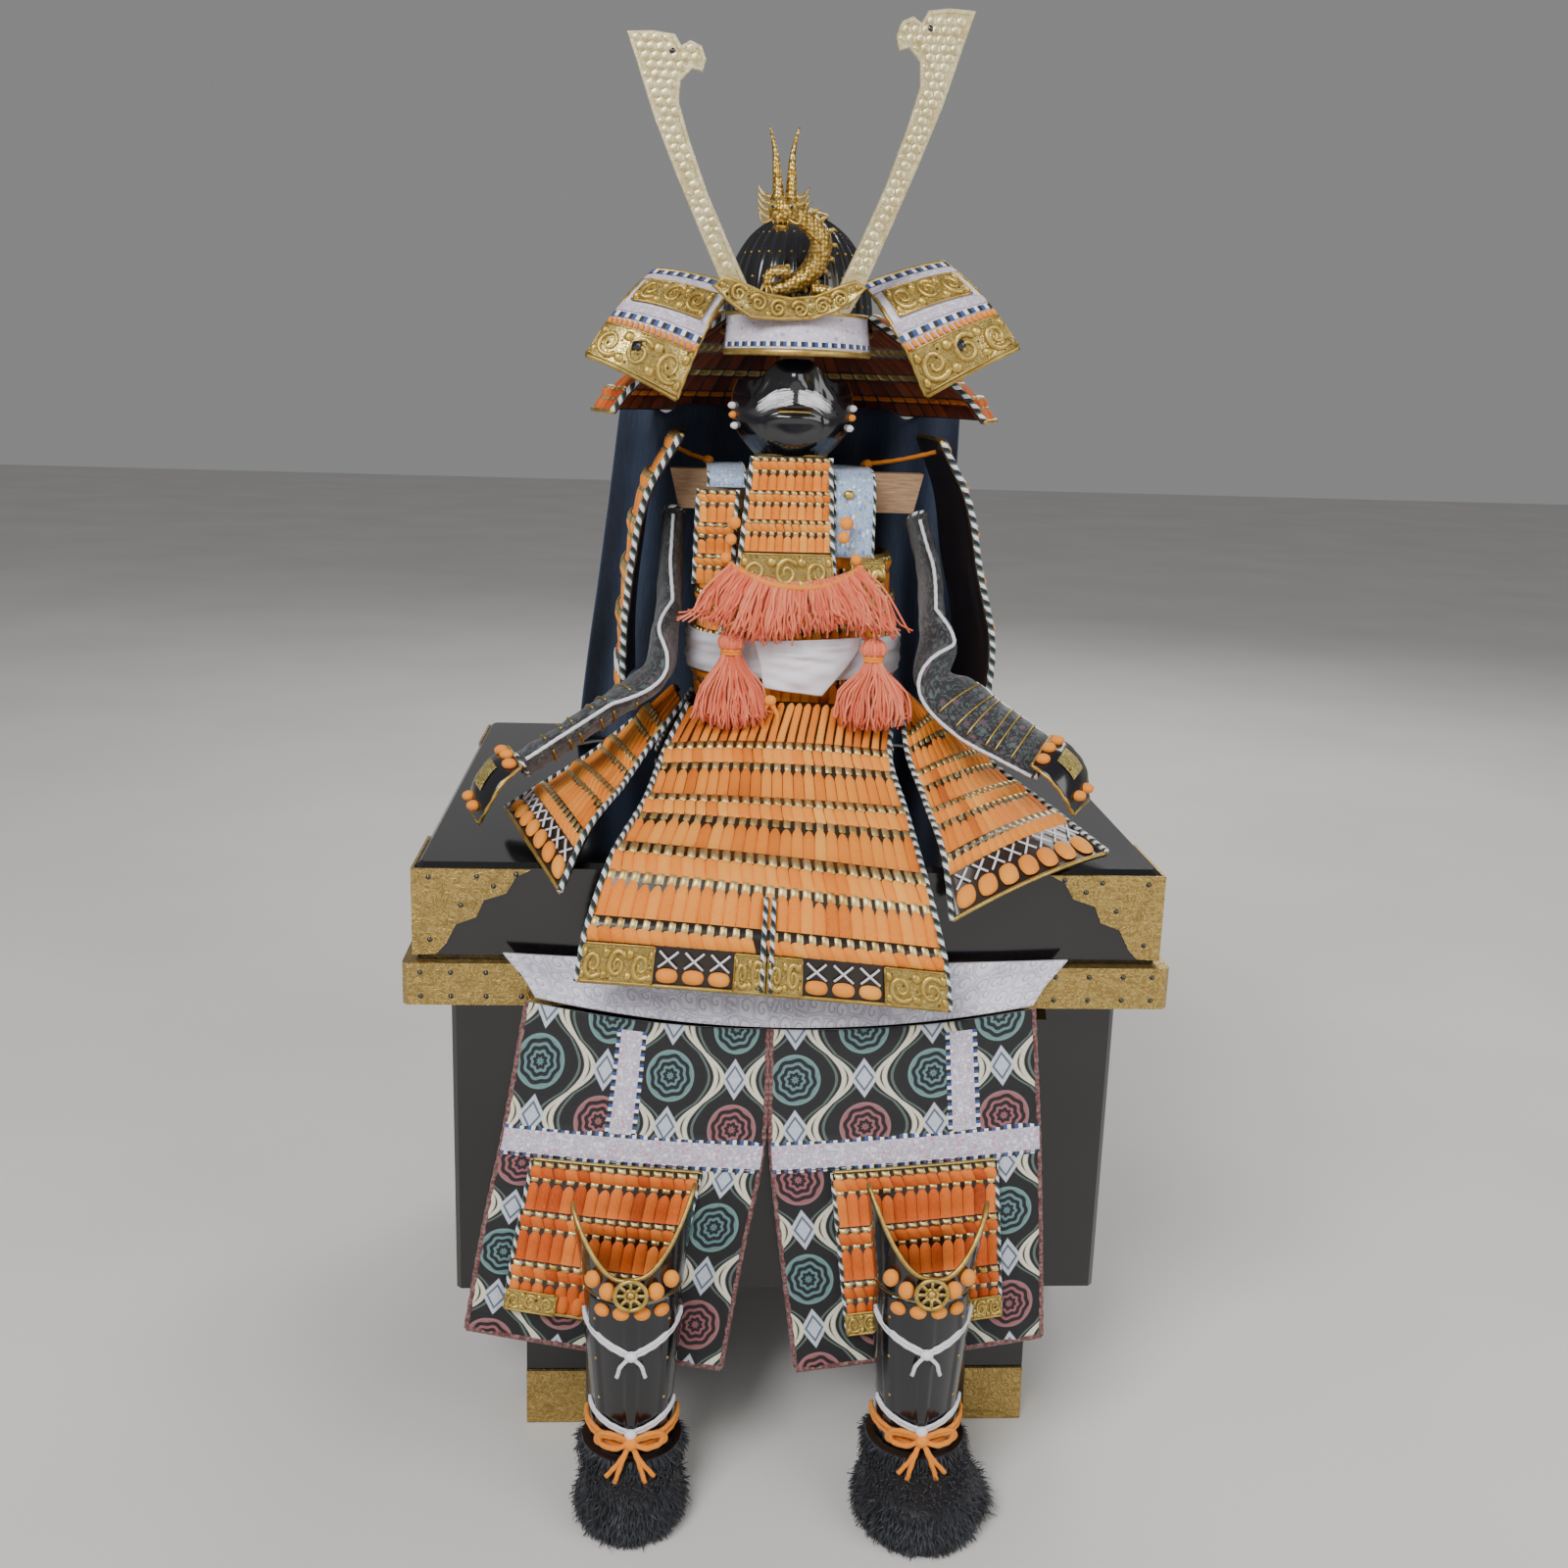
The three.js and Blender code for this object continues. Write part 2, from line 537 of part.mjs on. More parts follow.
const shoulderLeft = [
  { lx: -46, ly: 154, lz: 418, rx: -46, ry: 80, rz: 418, bow: 3 },
  { lx: -60, ly: 157, lz: 393, rx: -60, ry: 77, rz: 393, bow: 4 },
  { lx: -65, ly: 159, lz: 364, rx: -66, ry: 75, rz: 364, bow: 4 },
  { lx: -68, ly: 160, lz: 334, rx: -69, ry: 75, rz: 334, bow: 4 },
  { lx: -68, ly: 160, lz: 305, rx: -69, ry: 75, rz: 305, bow: 4 },
];
const shoulderRight = [
  { lx: 62, ly: 80, lz: 418, rx: 62, ry: 154, rz: 418, bow: 3 },
  { lx: 74, ly: 77, lz: 393, rx: 72, ry: 157, rz: 393, bow: 4 },
  { lx: 80, ly: 75, lz: 364, rx: 77, ry: 159, rz: 364, bow: 4 },
  { lx: 87, ly: 75, lz: 334, rx: 84, ry: 160, rz: 334, bow: 4 },
  { lx: 86, ly: 75, lz: 305, rx: 83, ry: 160, rz: 305, bow: 4 },
];
const guardForm = { heads: evenHeads(6), columns: 5, innerRows: 6, lumps: 3 };
add("shoulder_guard_left", lacedWall(sheetSurface(shoulderLeft, [-1, 0, 0]), guardForm), looks.orange);
add("shoulder_guard_right", lacedWall(sheetSurface(shoulderRight, [1, 0, 0]), guardForm), looks.orange);

// The armoured sleeves: flat empty tubes, bent at the elbow

const sleeveLeft = [
  { x: -50.5, y: 112, z: 383.6, wide: 14, thick: 3.6, ax: 0, ay: 1, az: 0 },
  { x: -51.5, y: 106, z: 362, wide: 15, thick: 3.8, ax: 0, ay: 1, az: 0.1 },
  { x: -52.5, y: 89, z: 339, wide: 14, thick: 4.2, ax: 0, ay: 1, az: 0.3 },
  { x: -57, y: 67, z: 320, wide: 12, thick: 4.4, ax: 0.3, ay: 1, az: 0.4 },
  { x: -77, y: 55, z: 306, wide: 12, thick: 4.4, ax: 0.4, ay: 1, az: 0.1 },
  { x: -97, y: 48, z: 293, wide: 11, thick: 4.2, ax: 0.4, ay: 1, az: 0 },
  { x: -112, y: 43, z: 284, wide: 10, thick: 4.2, ax: 0.4, ay: 1, az: 0 },
];
const sleeveRight = [
  { x: 58, y: 112, z: 383.8, wide: 14, thick: 3.6, ax: 0, ay: -1, az: 0 },
  { x: 64, y: 106, z: 362, wide: 15, thick: 3.8, ax: 0, ay: -1, az: -0.1 },
  { x: 65, y: 92, z: 338, wide: 14, thick: 4.2, ax: 0, ay: -1, az: -0.3 },
  { x: 66, y: 72, z: 319, wide: 13, thick: 4.4, ax: 0.2, ay: -1, az: -0.6 },
  { x: 79, y: 57, z: 306, wide: 12, thick: 4.4, ax: -0.3, ay: -1, az: -0.9 },
  { x: 95, y: 48, z: 297, wide: 11, thick: 4.2, ax: -0.3, ay: -1, az: -0.9 },
  { x: 109, y: 43, z: 289, wide: 10, thick: 4.2, ax: -0.3, ay: -1, az: -0.8 },
];
function sleeveSurface(table) {
  const at = (v) => V(column(table, "x", v), column(table, "y", v), column(table, "z", v));
  return (u, v) => {
    const e = 1e-3;
    const along = at(Math.min(v + e, 1)).sub(at(Math.max(v - e, 0))).normalize();
    const wide = V(column(table, "ax", v), column(table, "ay", v), column(table, "az", v));
    wide.addScaledVector(along, -wide.dot(along)).normalize();
    const thick = wide.clone().cross(along);
    const angle = 2 * Math.PI * u;
    return at(v)
      .addScaledVector(wide, column(table, "wide", v) * Math.cos(angle))
      .addScaledVector(thick, column(table, "thick", v) * Math.sin(angle));
  };
}
const sleeveForm = { columns: 10, outerVs: spread(10), innerVs: spread(7), height: () => cloth };
add("sleeve_left", tubeWall(sleeveSurface(sleeveLeft), sleeveForm), looks.brocade);
add("sleeve_right", tubeWall(sleeveSurface(sleeveRight), sleeveForm), looks.brocade);

const handLeft = [
  { lx: -117.8, ly: 51.2, lz: 288.9, rx: -110.6, ry: 31.2, rz: 285.3, bow: 1 },
  { lx: -125, ly: 48, lz: 284, rx: -117.5, ry: 25, rz: 280, bow: 3 },
  { lx: -130.5, ly: 43, lz: 276, rx: -123, ry: 23.5, rz: 270.5, bow: 3 },
  { lx: -132, ly: 38, lz: 267, rx: -127, ry: 27, rz: 263, bow: 1 },
];
const handRight = [
  { lx: 100.3, ly: 30.4, lz: 289.6, rx: 111.3, ry: 47.4, rz: 298.6, bow: 1 },
  { lx: 106.3, ly: 24.4, lz: 285.6, rx: 118.3, ry: 44.4, rz: 294.6, bow: 3 },
  { lx: 112.3, ly: 22.4, lz: 278.6, rx: 124.3, ry: 40.4, rz: 286.6, bow: 3 },
  { lx: 117.3, ly: 25.4, lz: 270.6, rx: 125.3, ry: 34.4, rz: 274.6, bow: 1 },
];
const handForm = { us: spread(5), vs: spread(5), height: () => plate };
add("hand_guard_left", sheetWall(sheetSurface(handLeft, [-0.5, -0.3, 1]), handForm), looks.black);
add("hand_guard_right", sheetWall(sheetSurface(handRight, [0.5, -0.3, 1]), handForm), looks.black);

// The helmet

const bowlLevels = [
  { z: 509.5, rx: 3, ry: 3 }, { z: 507, rx: 11, ry: 12.5 }, { z: 500, rx: 20, ry: 23 },
  { z: 489, rx: 26.5, ry: 30.5 }, { z: 476, rx: 29.5, ry: 34 }, { z: 462, rx: 30.5, ry: 35 },
];
const bowlRibs = 16;
const bowlSurface = ringSurface(centre.helmetX, centre.helmetY, bowlLevels, 0, 360);
add("helmet_bowl", tubeWall(bowlSurface, {
  columns: 2 * bowlRibs, outerVs: spread(6), innerVs: spread(3),
  height: (u, v) => 1.2 + (Math.round(u * 2 * bowlRibs) % 2 ? 0 : 0.9 * Math.min(1, 5 * v)),
}), looks.black);

const visorLevels = [
  { z: 469, rx: 33.4, ry: 37.9 }, { z: 464.5, rx: 33.6, ry: 43 },
  { z: 459.5, rx: 34, ry: 48 }, { z: 453.5, rx: 34.5, ry: 51.5 },
];
const visorSurface = ringSurface(centre.helmetX - 1.5, centre.helmetY, visorLevels, -58, 58);
add("visor", sheetWall(visorSurface, { us: spread(11), vs: spread(3), height: () => plate }), looks.leather);

const neckLevels = [
  { z: 468, rx: 32.8, ry: 37.4 }, { z: 457, rx: 50, ry: 49 }, { z: 446, rx: 66, ry: 60 },
  { z: 436, rx: 79, ry: 68 }, { z: 427, rx: 87, ry: 73 },
];
const neckSurface = ringSurface(centre.helmetX, centre.helmetY, neckLevels, 62, 298);
add("neck_guard", lacedWall(neckSurface, { ...bodyForm, columns: 20 }), looks.orange);

const turnLeft = [
  { lx: -59, ly: 90, lz: 485, rx: -25.8, ry: 94, rz: 480, bow: 3 },
  { lx: -68.5, ly: 80, lz: 475, rx: -35, ry: 76, rz: 468, bow: 4 },
  { lx: -78, ly: 73, lz: 462, rx: -43, ry: 70, rz: 452, bow: 5 },
  { lx: -86, ly: 70, lz: 450, rx: -50, ry: 68, rz: 434, bow: 5 },
];
const turnRight = [
  { lx: 29.3, ly: 94, lz: 482, rx: 61, ry: 90, rz: 492, bow: 3 },
  { lx: 36, ly: 76, lz: 471, rx: 72, ry: 80, rz: 482, bow: 4 },
  { lx: 46, ly: 70, lz: 455, rx: 82, ry: 73, rz: 470, bow: 5 },
  { lx: 54, ly: 68, lz: 438, rx: 91, ry: 70, rz: 458, bow: 5 },
];
const turnForm = { us: spread(7), vs: spread(7), height: (u, v) => plate + 0.9 * hill(v, 0.62, 0.05) };
add("turn_back_left", sheetWall(sheetSurface(turnLeft, [-0.2, -1, 0.35]), turnForm), looks.leather);
add("turn_back_right", sheetWall(sheetSurface(turnRight, [0.2, -1, 0.35]), turnForm), looks.leather);

// Flat horns with a beaked inner tip, held behind a forked base plate
const horn = { front: 64.9, thick: 1.5, baseFront: 61.6, baseThick: 3 };
const hornOutline = [
  [-26, 470], [-31, 478], [-40, 497], [-51, 521], [-60, 542], [-66.5, 561], [-71, 573.5], [-60, 574],
  [-52, 573], [-49.5, 569], [-46, 571], [-41.5, 569], [-39.5, 564], [-41, 559.5], [-45, 560.5], [-49.5, 556],
  [-50, 548], [-46, 535], [-38, 514], [-28, 493], [-20.5, 478], [-17, 470],
];
function flatPlate(points, front, thick) {
  const shape = new THREE.Shape(points.map(([x, z]) => new THREE.Vector2(x, z)));
  const made = new THREE.ExtrudeGeometry(shape, { depth: thick, bevelEnabled: false });
  return made.rotateX(Math.PI / 2).translate(0, front + thick, 0);
}
// The right horn is the left one turned over and leaned out a little more
const rightHornPoint = ([x, z]) => [-x - 5.5 + (z - 470) * 0.005, z + (z - 470) * 0.12];
add("horn_left", flatPlate(hornOutline, horn.front, horn.thick), looks.paleGold);
add("horn_right", flatPlate(hornOutline.map(rightHornPoint), horn.front, horn.thick), looks.paleGold);
const baseOutline = [
  [-6, 466.2], [6, 467], [14, 470], [22, 475], [27, 480], [22, 483], [14, 480], [6, 476.5], [-4, 475.5],
  [-14, 477], [-24, 481], [-31, 483], [-36, 479], [-29, 472.5], [-20, 466.5],
];
add("crest_base", join([
  flatPlate(baseOutline, horn.baseFront, horn.baseThick),
  block([-9, 1], [horn.baseFront + 1, 66], [465.7, 470]),
]), looks.gold);

// Crouched dragon between the horns
add("crest_dragon", join([
  egg([-3, 71.4, 481], [10, 3.6, 7.5]), egg([4, 71, 489], [8, 4.6, 9]), egg([6, 68, 498], [7, 5, 7]),
  egg([-1, 64, 504], [7.5, 5.5, 5.5]), egg([-8, 59, 508], [6.5, 6, 7]),
  egg([-10, 54.5, 503.5], [4.4, 4.6, 3.4]),
  strand([[-8, 60, 510], [-11.5, 60.5, 523], [-14, 61, 538]], [2.6, 2, 0.5], 5),
  strand([[-4.5, 60, 510], [-3.5, 60.5, 524], [-2.5, 61, 540]], [2.6, 2, 0.5], 5),
]), looks.gold);

// Half mask in a plain, calm form: nose ridge, moustache ridge, mouth groove and round chin

const maskLevels = [
  { z: 451, rx: 22.5, ry: 20 }, { z: 443, rx: 24.5, ry: 21 }, { z: 434, rx: 24.5, ry: 21.5 },
  { z: 424, rx: 22.5, ry: 21.5 }, { z: 412.5, rx: 14.5, ry: 17 },
];
const maskCut = (angle) => -9 * THREE.MathUtils.smoothstep(Math.abs(angle), 0.2, 0.75);
const maskSurface = ringSurface(-0.5, 92.5, maskLevels, -78, 78, maskCut);
function maskRelief(u, v) {
  const across = Math.abs(u - 0.5);
  const nose = 4.2 * hill(across, 0, 0.075) * hill(v, 0.24, 0.2);
  const moustache = 1.5 * hill(v, 0.47, 0.07) * hill(across, 0.1, 0.13);
  const mouth = -0.8 * hill(v, 0.6, 0.05) * hill(across, 0, 0.14);
  const chin = 1.8 * hill(v, 0.86, 0.12) * hill(across, 0, 0.15);
  return 1.8 + nose + moustache + mouth + chin;
}
add("face_mask", sheetWall(maskSurface, {
  us: spread(14), vs: spread(11), innerUs: spread(8), innerVs: spread(5), height: maskRelief,
}), looks.black);

// Silk tassels

// Head, hanging cord and strands of one tassel
function tassel({ x, y, top, foot, strands, reach, cordX }) {
  const head = egg([x, y, top], [4.6, 4, 4], 7);
  const cord = rod([[x, y, top], [mix(x, cordX, 0.6), 67.6, 345], [cordX, 73.1, 352]], 1.1, 4, 4);
  const rows = strands.map(([dx, dy]) => strand([
    [x + dx * 2.6, y + dy * 2, top],
    [x + dx * reach * 0.8, y - 2.4 + dy * 3.4, mix(top, foot, 0.5)],
    [x + dx * reach, y - 4.6 + dy * 3.4, foot],
  ], [0.9, 1.25, 0.9]));
  return join([head, cord, ...rows]);
}
// Strands fan out in two rows, the back row between those in front
const fan = (count) => [
  ...spread(count - 1).map((t) => [2 * t - 1, -1]),
  ...spread(count - 2).map((t) => [(2 * t - 1) * (1 - 1 / count), 0.6]),
];
const tassels = [
  { name: "tassel_left", x: -25, y: 63.6, top: 334, foot: 300, reach: 13, cordX: -12 },
  { name: "tassel_right", x: 36, y: 63.6, top: 332, foot: 300, reach: 14, cordX: 18 },
];
for (const { name, ...form } of tassels) add(name, tassel({ ...form, strands: fan(6) }), looks.salmon);

function tasselFringe() {
  const count = 13;
  const bar = rod([[-27, 64, 367], [-8, 61.6, 359], [14, 61.6, 359], [30, 64, 367]], 1.5, 4, 8);
  const rows = spread(count - 1).map((t) => {
    const side = 2 * t - 1;
    const x = mix(-25, 28, t);
    const root = 359.6 + 6.6 * side * side;
    return strand([
      [x, 62 + 1.6 * side * side, root], [x + 9 * side, 59, root - 11],
      [x + 15 * side, 58.6, 341 + 3 * Math.cos(9 * t)],
    ], [1, 1.35, 0.9]);
  });
  return join([bar, ...rows]);
}
add("tassel_fringe", tasselFringe(), looks.salmon);

// The thigh guard: a white band and two cloth panels with laced plates sewn on

const bandTable = [
  { lx: -115, ly: -6, lz: 219, rx: 112, ry: -6, rz: 218, bow: 0 },
  { lx: -108, ly: -6.6, lz: 210, rx: 105, ry: -6.6, rz: 208.5, bow: 0 },
  { lx: -102, ly: -12, lz: 202, rx: 98, ry: -12, rz: 200, bow: 0 },
];
const sag = (u, depth) => V(0, 0, -4 * u * (1 - u) * depth);
const bandBase = sheetSurface(bandTable, [0, -1, 0]);
const bandSurface = (u, v) => bandBase(u, v).add(sag(u, 3 + 8 * v));
const bandForm = { us: spread(14), vs: spread(2), height: () => cloth };
add("thigh_band", sheetWall(bandSurface, bandForm), looks.white);

const panelTops = (u) => bandSurface(u, 1).z - gap;
const thighPanels = {
  left: {
    top: [0.015, 0.478],
    rows: [
      { lx: -105, ly: -12.4, lz: 0, rx: -9.2, ry: -12.4, rz: 0, bow: 1 },
      { lx: -113, ly: -22, lz: 152, rx: -10.5, ry: -22, rz: 144, bow: 2 },
      { lx: -121, ly: -30, lz: 112, rx: -18.5, ry: -30, rz: 99, bow: 2 },
      { lx: -128, ly: -36, lz: 71, rx: -26, ry: -36, rz: 52, bow: 1 },
    ],
  },
  right: {
    top: [0.482, 0.985],
    rows: [
      { lx: -7.6, ly: -12.4, lz: 0, rx: 98, ry: -12.4, rz: 0, bow: 1 },
      { lx: -7, ly: -22, lz: 144, rx: 101, ry: -22, rz: 153, bow: 2 },
      { lx: -1.5, ly: -30, lz: 98, rx: 103, ry: -30, rz: 110, bow: 2 },
      { lx: 5, ly: -36, lz: 51, rx: 105, ry: -36, rz: 66, bow: 1 },
    ],
  },
};
function thighSurface({ top, rows }) {
  const edge = (u) => panelTops(mix(top[0], top[1], u));
  const table = rows.map((row, i) => (i ? row : { ...row, lz: edge(0), rz: edge(1) }));
  const base = sheetSurface(table, [0, -1, 0]);
  return (u, v) => {
    const p = base(u, v);
    p.z += (edge(u) - mix(edge(0), edge(1), u)) * Math.max(0, 1 - 3 * v);
    return p;
  };
}
const seamBand = (v) => 0.7 * THREE.MathUtils.smoothstep(0.05 - Math.abs(v - 0.37), 0, 0.012);
// Where the laced block lies on each panel
const blockPlace = {
  left: { u0: 0.13, u1: 0.77, v0: 0.42, v1: 0.9 },
  right: { u0: 0.22, u1: 0.83, v0: 0.42, v1: 0.9 },
};
for (const side of ["left", "right"]) {
  const panel = thighSurface(thighPanels[side]);
  add(`thigh_panel_${side}`, sheetWall(panel, {
    us: spread(6), vs: [0, 0.12, 0.24, 0.322, 0.335, 0.405, 0.418, 0.55, 0.7, 0.85, 1],
    innerVs: spread(8), height: (u, v) => cloth + seamBand(v),
  }), looks.brocade);
  const { u0, u1, v0, v1 } = blockPlace[side];
  const lift = cloth + gap + 0.2;
  const blockSurface = (u, v) => {
    const [pu, pv] = [mix(u0, u1, u), mix(v0, v1, v)];
    return panel(pu, pv).addScaledVector(normalAt(panel, pu, pv), lift);
  };
  add(`thigh_plates_${side}`, lacedWall(blockSurface, { heads: evenHeads(3), columns: 5 }), looks.orange);
}

// Shin guards with a knee crescent, each standing in a fur shoe

const lower = {
  left: { x: -61.5, wing: 1, shoe: { half: 21, front: -78, back: -25, height: 27 } },
  right: { x: 54, wing: -1, shoe: { half: 25, front: -86, back: -25, height: 27 } },
};
const shinLevels = [
  { z: 96, rx: 17.5, ry: 17 }, { z: 80, rx: 18, ry: 17.5 }, { z: 62, rx: 16.5, ry: 16 },
  { z: 44, rx: 15, ry: 14.5 }, { z: 27.5, rx: 15, ry: 14.5 },
];
const legY = -42.2;
const kneeSurface = (x, wing) => {
  const wings = (a) => 27 * THREE.MathUtils.smoothstep(Math.abs(a / DEG), 6, 84) + 4 * wing * Math.sin(a);
  const levels = [{ z: 107, rx: 23, ry: 19.5 }, { z: 96.5, rx: 18.2, ry: 17.6 }];
  return ringSurface(x, legY, levels, -84, 84, wings);
};
function shoe(x, { half, front, back, height }) {
  const [cy, ry] = [(front + back) / 2, (back - front) / 2];
  const ring = (grow, z, lean = 0) => spread(14).slice(0, -1).map((t) => {
    const a = 2 * Math.PI * t;
    return V(x + half * grow * Math.sin(a), mix(cy, legY, lean) - ry * grow * Math.cos(a), z);
  });
  const leg = (r, z) => spread(14).slice(0, -1).map((t) => {
    const a = 2 * Math.PI * t;
    return V(x + r * Math.sin(a), legY - r * Math.cos(a), z);
  });
  return loft([
    ring(0.9, 0), ring(1, 4), ring(0.98, 10), ring(0.86, 17), leg(20.5, 22), leg(20, height),
    leg(18.4, height), leg(14.2, height - 0.4), leg(13.2, 12), leg(11, 8),
  ]);
}
function ankleBow(x) {
  const [y, z] = [legY - 17.5, 34.6];
  const loop = (s) => rod([[x, y - 1, z], [x + s * 6, y - 2.4, z + 3.4], [x + s * 13, y + 0.4, z + 2.4],
    [x + s * 12.6, y + 0.2, z - 0.6], [x + s * 6, y - 2.4, z - 1.2], [x, y - 1, z]], 1.3, 4, 8);
  const tailPath = (s) => [[x, y - 1, z], [x + s * 4, y - 4, z - 6], [x + s * 9, y - 5.4, z - 12]];
  const tail = (s) => rod(tailPath(s), 1.2, 4, 4);
  return join([egg([x, y - 1.6, z], [2.8, 2.4, 2.6], 6), loop(1), loop(-1), tail(1), tail(-1)]);
}
for (const side of ["left", "right"]) {
  const { x, wing, shoe: form } = lower[side];
  const shinSurface = ringSurface(x, legY, shinLevels, -100, 100);
  add(`shin_guard_${side}`, sheetWall(shinSurface, {
    us: spread(12), vs: spread(6), innerVs: spread(4),
    height: (u) => plate + (Math.abs(Math.abs(u - 0.5) - 0.25) < 0.05 ? 0.8 : 0),
  }), looks.black);
  add(`knee_guard_${side}`, sheetWall(kneeSurface(x, wing), {
    us: spread(12), vs: spread(3), height: () => plate,
  }), looks.black);
  add(`shoe_${side}`, shoe(x, form), looks.fur);
  add(`ankle_bow_${side}`, ankleBow(x), looks.orange);
}

// The whole set, centred in depth on the origin
const box = new THREE.Box3().setFromObject(model);
model.position.y = -(box.min.y + box.max.y) / 2;

const samuraiArmour = new THREE.Group();
samuraiArmour.add(model);
export default samuraiArmour;
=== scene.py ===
"""Samurai armour on an armour chest: lacing, cloth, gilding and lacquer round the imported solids.

Tables are in millimetres, with Y counted from the front face of the chest's lid.
Left and right are the viewer's.
"""

import math

import bpy
import numpy as np
from mathutils import Matrix, Vector


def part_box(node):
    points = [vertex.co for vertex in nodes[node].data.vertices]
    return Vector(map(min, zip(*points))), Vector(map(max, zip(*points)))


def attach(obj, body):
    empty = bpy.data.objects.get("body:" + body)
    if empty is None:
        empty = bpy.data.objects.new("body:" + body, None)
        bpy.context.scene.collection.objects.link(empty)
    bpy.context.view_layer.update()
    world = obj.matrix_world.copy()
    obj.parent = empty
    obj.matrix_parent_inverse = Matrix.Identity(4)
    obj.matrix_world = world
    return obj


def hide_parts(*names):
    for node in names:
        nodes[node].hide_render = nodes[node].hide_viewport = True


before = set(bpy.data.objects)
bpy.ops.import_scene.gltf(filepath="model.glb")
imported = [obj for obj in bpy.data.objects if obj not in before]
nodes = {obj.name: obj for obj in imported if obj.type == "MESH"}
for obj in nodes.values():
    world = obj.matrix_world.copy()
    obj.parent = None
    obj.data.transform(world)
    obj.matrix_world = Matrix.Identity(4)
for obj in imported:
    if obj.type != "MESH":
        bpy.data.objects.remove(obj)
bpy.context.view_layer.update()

MM = 0.001
LID_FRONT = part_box("chest_lid")[0].y
TAU = 2 * math.pi
rng = np.random.default_rng(11)


def to_frame(points):
    """Millimetres counted from the lid's front face, as metres in the shared frame."""
    return np.asarray(points, float) * MM + (0, LID_FRONT, 0)


# Camera at the photograph's viewing angle

PHOTO = {"focal_px": 1718.5, "size_px": 1600, "yaw": 3.682, "pitch": 13.877, "roll": 1.723}
EYE = (-46.3, -644.8, 447.7)
SENSOR = 36


def make_camera():
    yaw, pitch, roll = (math.radians(PHOTO[k]) for k in ("yaw", "pitch", "roll"))
    ahead = Vector((math.sin(yaw) * math.cos(pitch), math.cos(yaw) * math.cos(pitch), -math.sin(pitch)))
    level = Vector((math.cos(yaw), -math.sin(yaw), 0))
    upright = level.cross(ahead)
    right = math.cos(roll) * level + math.sin(roll) * upright
    up = -math.sin(roll) * level + math.cos(roll) * upright
    data = bpy.data.cameras.new("camera")
    data.sensor_width = SENSOR
    data.lens = SENSOR * PHOTO["focal_px"] / PHOTO["size_px"]
    data.clip_start = 0.02
    camera = bpy.data.objects.new("camera", data)
    bpy.context.scene.collection.objects.link(camera)
    turn = Matrix((right, up, -ahead)).transposed()
    camera.matrix_world = Matrix.Translation(to_frame(EYE)) @ turn.to_4x4()
    bpy.context.scene.camera = camera


# Surfaces worked out from short tables

def table(names, *rows):
    """Named columns from rows of numbers."""
    return dict(zip(names.split(), np.array(rows, float).T))


EDGES = "lx ly lz rx ry rz bow"
LEVELS = "z rx ry"


def mix(a, b, t):
    return a + (b - a) * t


def smooth(values, t):
    """Value of a list at t from 0 to 1, on a smooth curve through every entry."""
    t = np.clip(t, 0, 1)
    last = len(values) - 1
    at = t * last
    i = np.minimum(np.asarray(at).astype(int), last - 1)
    f = at - i
    b, c = values[i], values[i + 1]
    a = np.where(i > 0, values[np.maximum(i - 1, 0)], 2 * b - c)
    d = np.where(i + 2 <= last, values[np.minimum(i + 2, last)], 2 * c - b)
    return b + 0.5 * f * (c - a + f * (2 * a - 5 * b + 4 * c - d + f * (3 * (b - c) + d - a)))


def smoothstep(x, low, high):
    t = np.clip((x - low) / (high - low), 0, 1)
    return t * t * (3 - 2 * t)


def hill(t, at, width):
    return np.exp(-(((t - at) / width) ** 2))


def stack(x, y, z):
    return np.stack(np.broadcast_arrays(x, y, z), -1).astype(float)


def sheet_surface(edges, out):
    """Surface between a left and a right edge, bowed out between them."""
    bowed = np.array(out, float) / np.linalg.norm(out)

    def at(u, v):
        side = [mix(smooth(edges["l" + k], v), smooth(edges["r" + k], v), u) for k in "xyz"]
        bow = 4 * u * (1 - u) * smooth(edges["bow"], v)
        return stack(*side) + bow[..., None] * bowed

    return at


def ring_surface(cx, cy, levels, start=0, end=360, rise=lambda angle: 0 * angle):
    """Surface round a vertical axis. Angles run from the front towards +X."""

    def at(u, v):
        angle = np.radians(mix(start, end, u))
        z = smooth(levels["z"], v) + rise(angle) * (1 - v)
        return stack(cx + smooth(levels["rx"], v) * np.sin(angle),
                     cy - smooth(levels["ry"], v) * np.cos(angle), z)

    return at


def normals(surface, u, v, e=1e-3):
    u, v = np.broadcast_arrays(np.asarray(u, float), np.asarray(v, float))
    across = surface(np.minimum(u + e, 1), v) - surface(np.maximum(u - e, 0), v)
    down = surface(u, np.minimum(v + e, 1)) - surface(u, np.maximum(v - e, 0))
    n = np.cross(down, across)
    return n / np.maximum(np.linalg.norm(n, axis=-1, keepdims=True), 1e-9)


def raised(surface, u, v, height):
    u, v, height = np.broadcast_arrays(np.asarray(u, float), np.asarray(v, float), height)
    return surface(u, v) + normals(surface, u, v) * height[..., None]


def spot(surface, u, v, height):
    return raised(surface, np.array(u), np.array(v), np.array(height))


def spread(count, low=0.0, high=1.0):
    return np.linspace(low, high, count + 1)


def grid_of(us, vs):
    return np.meshgrid(us, vs)


# Mesh pieces

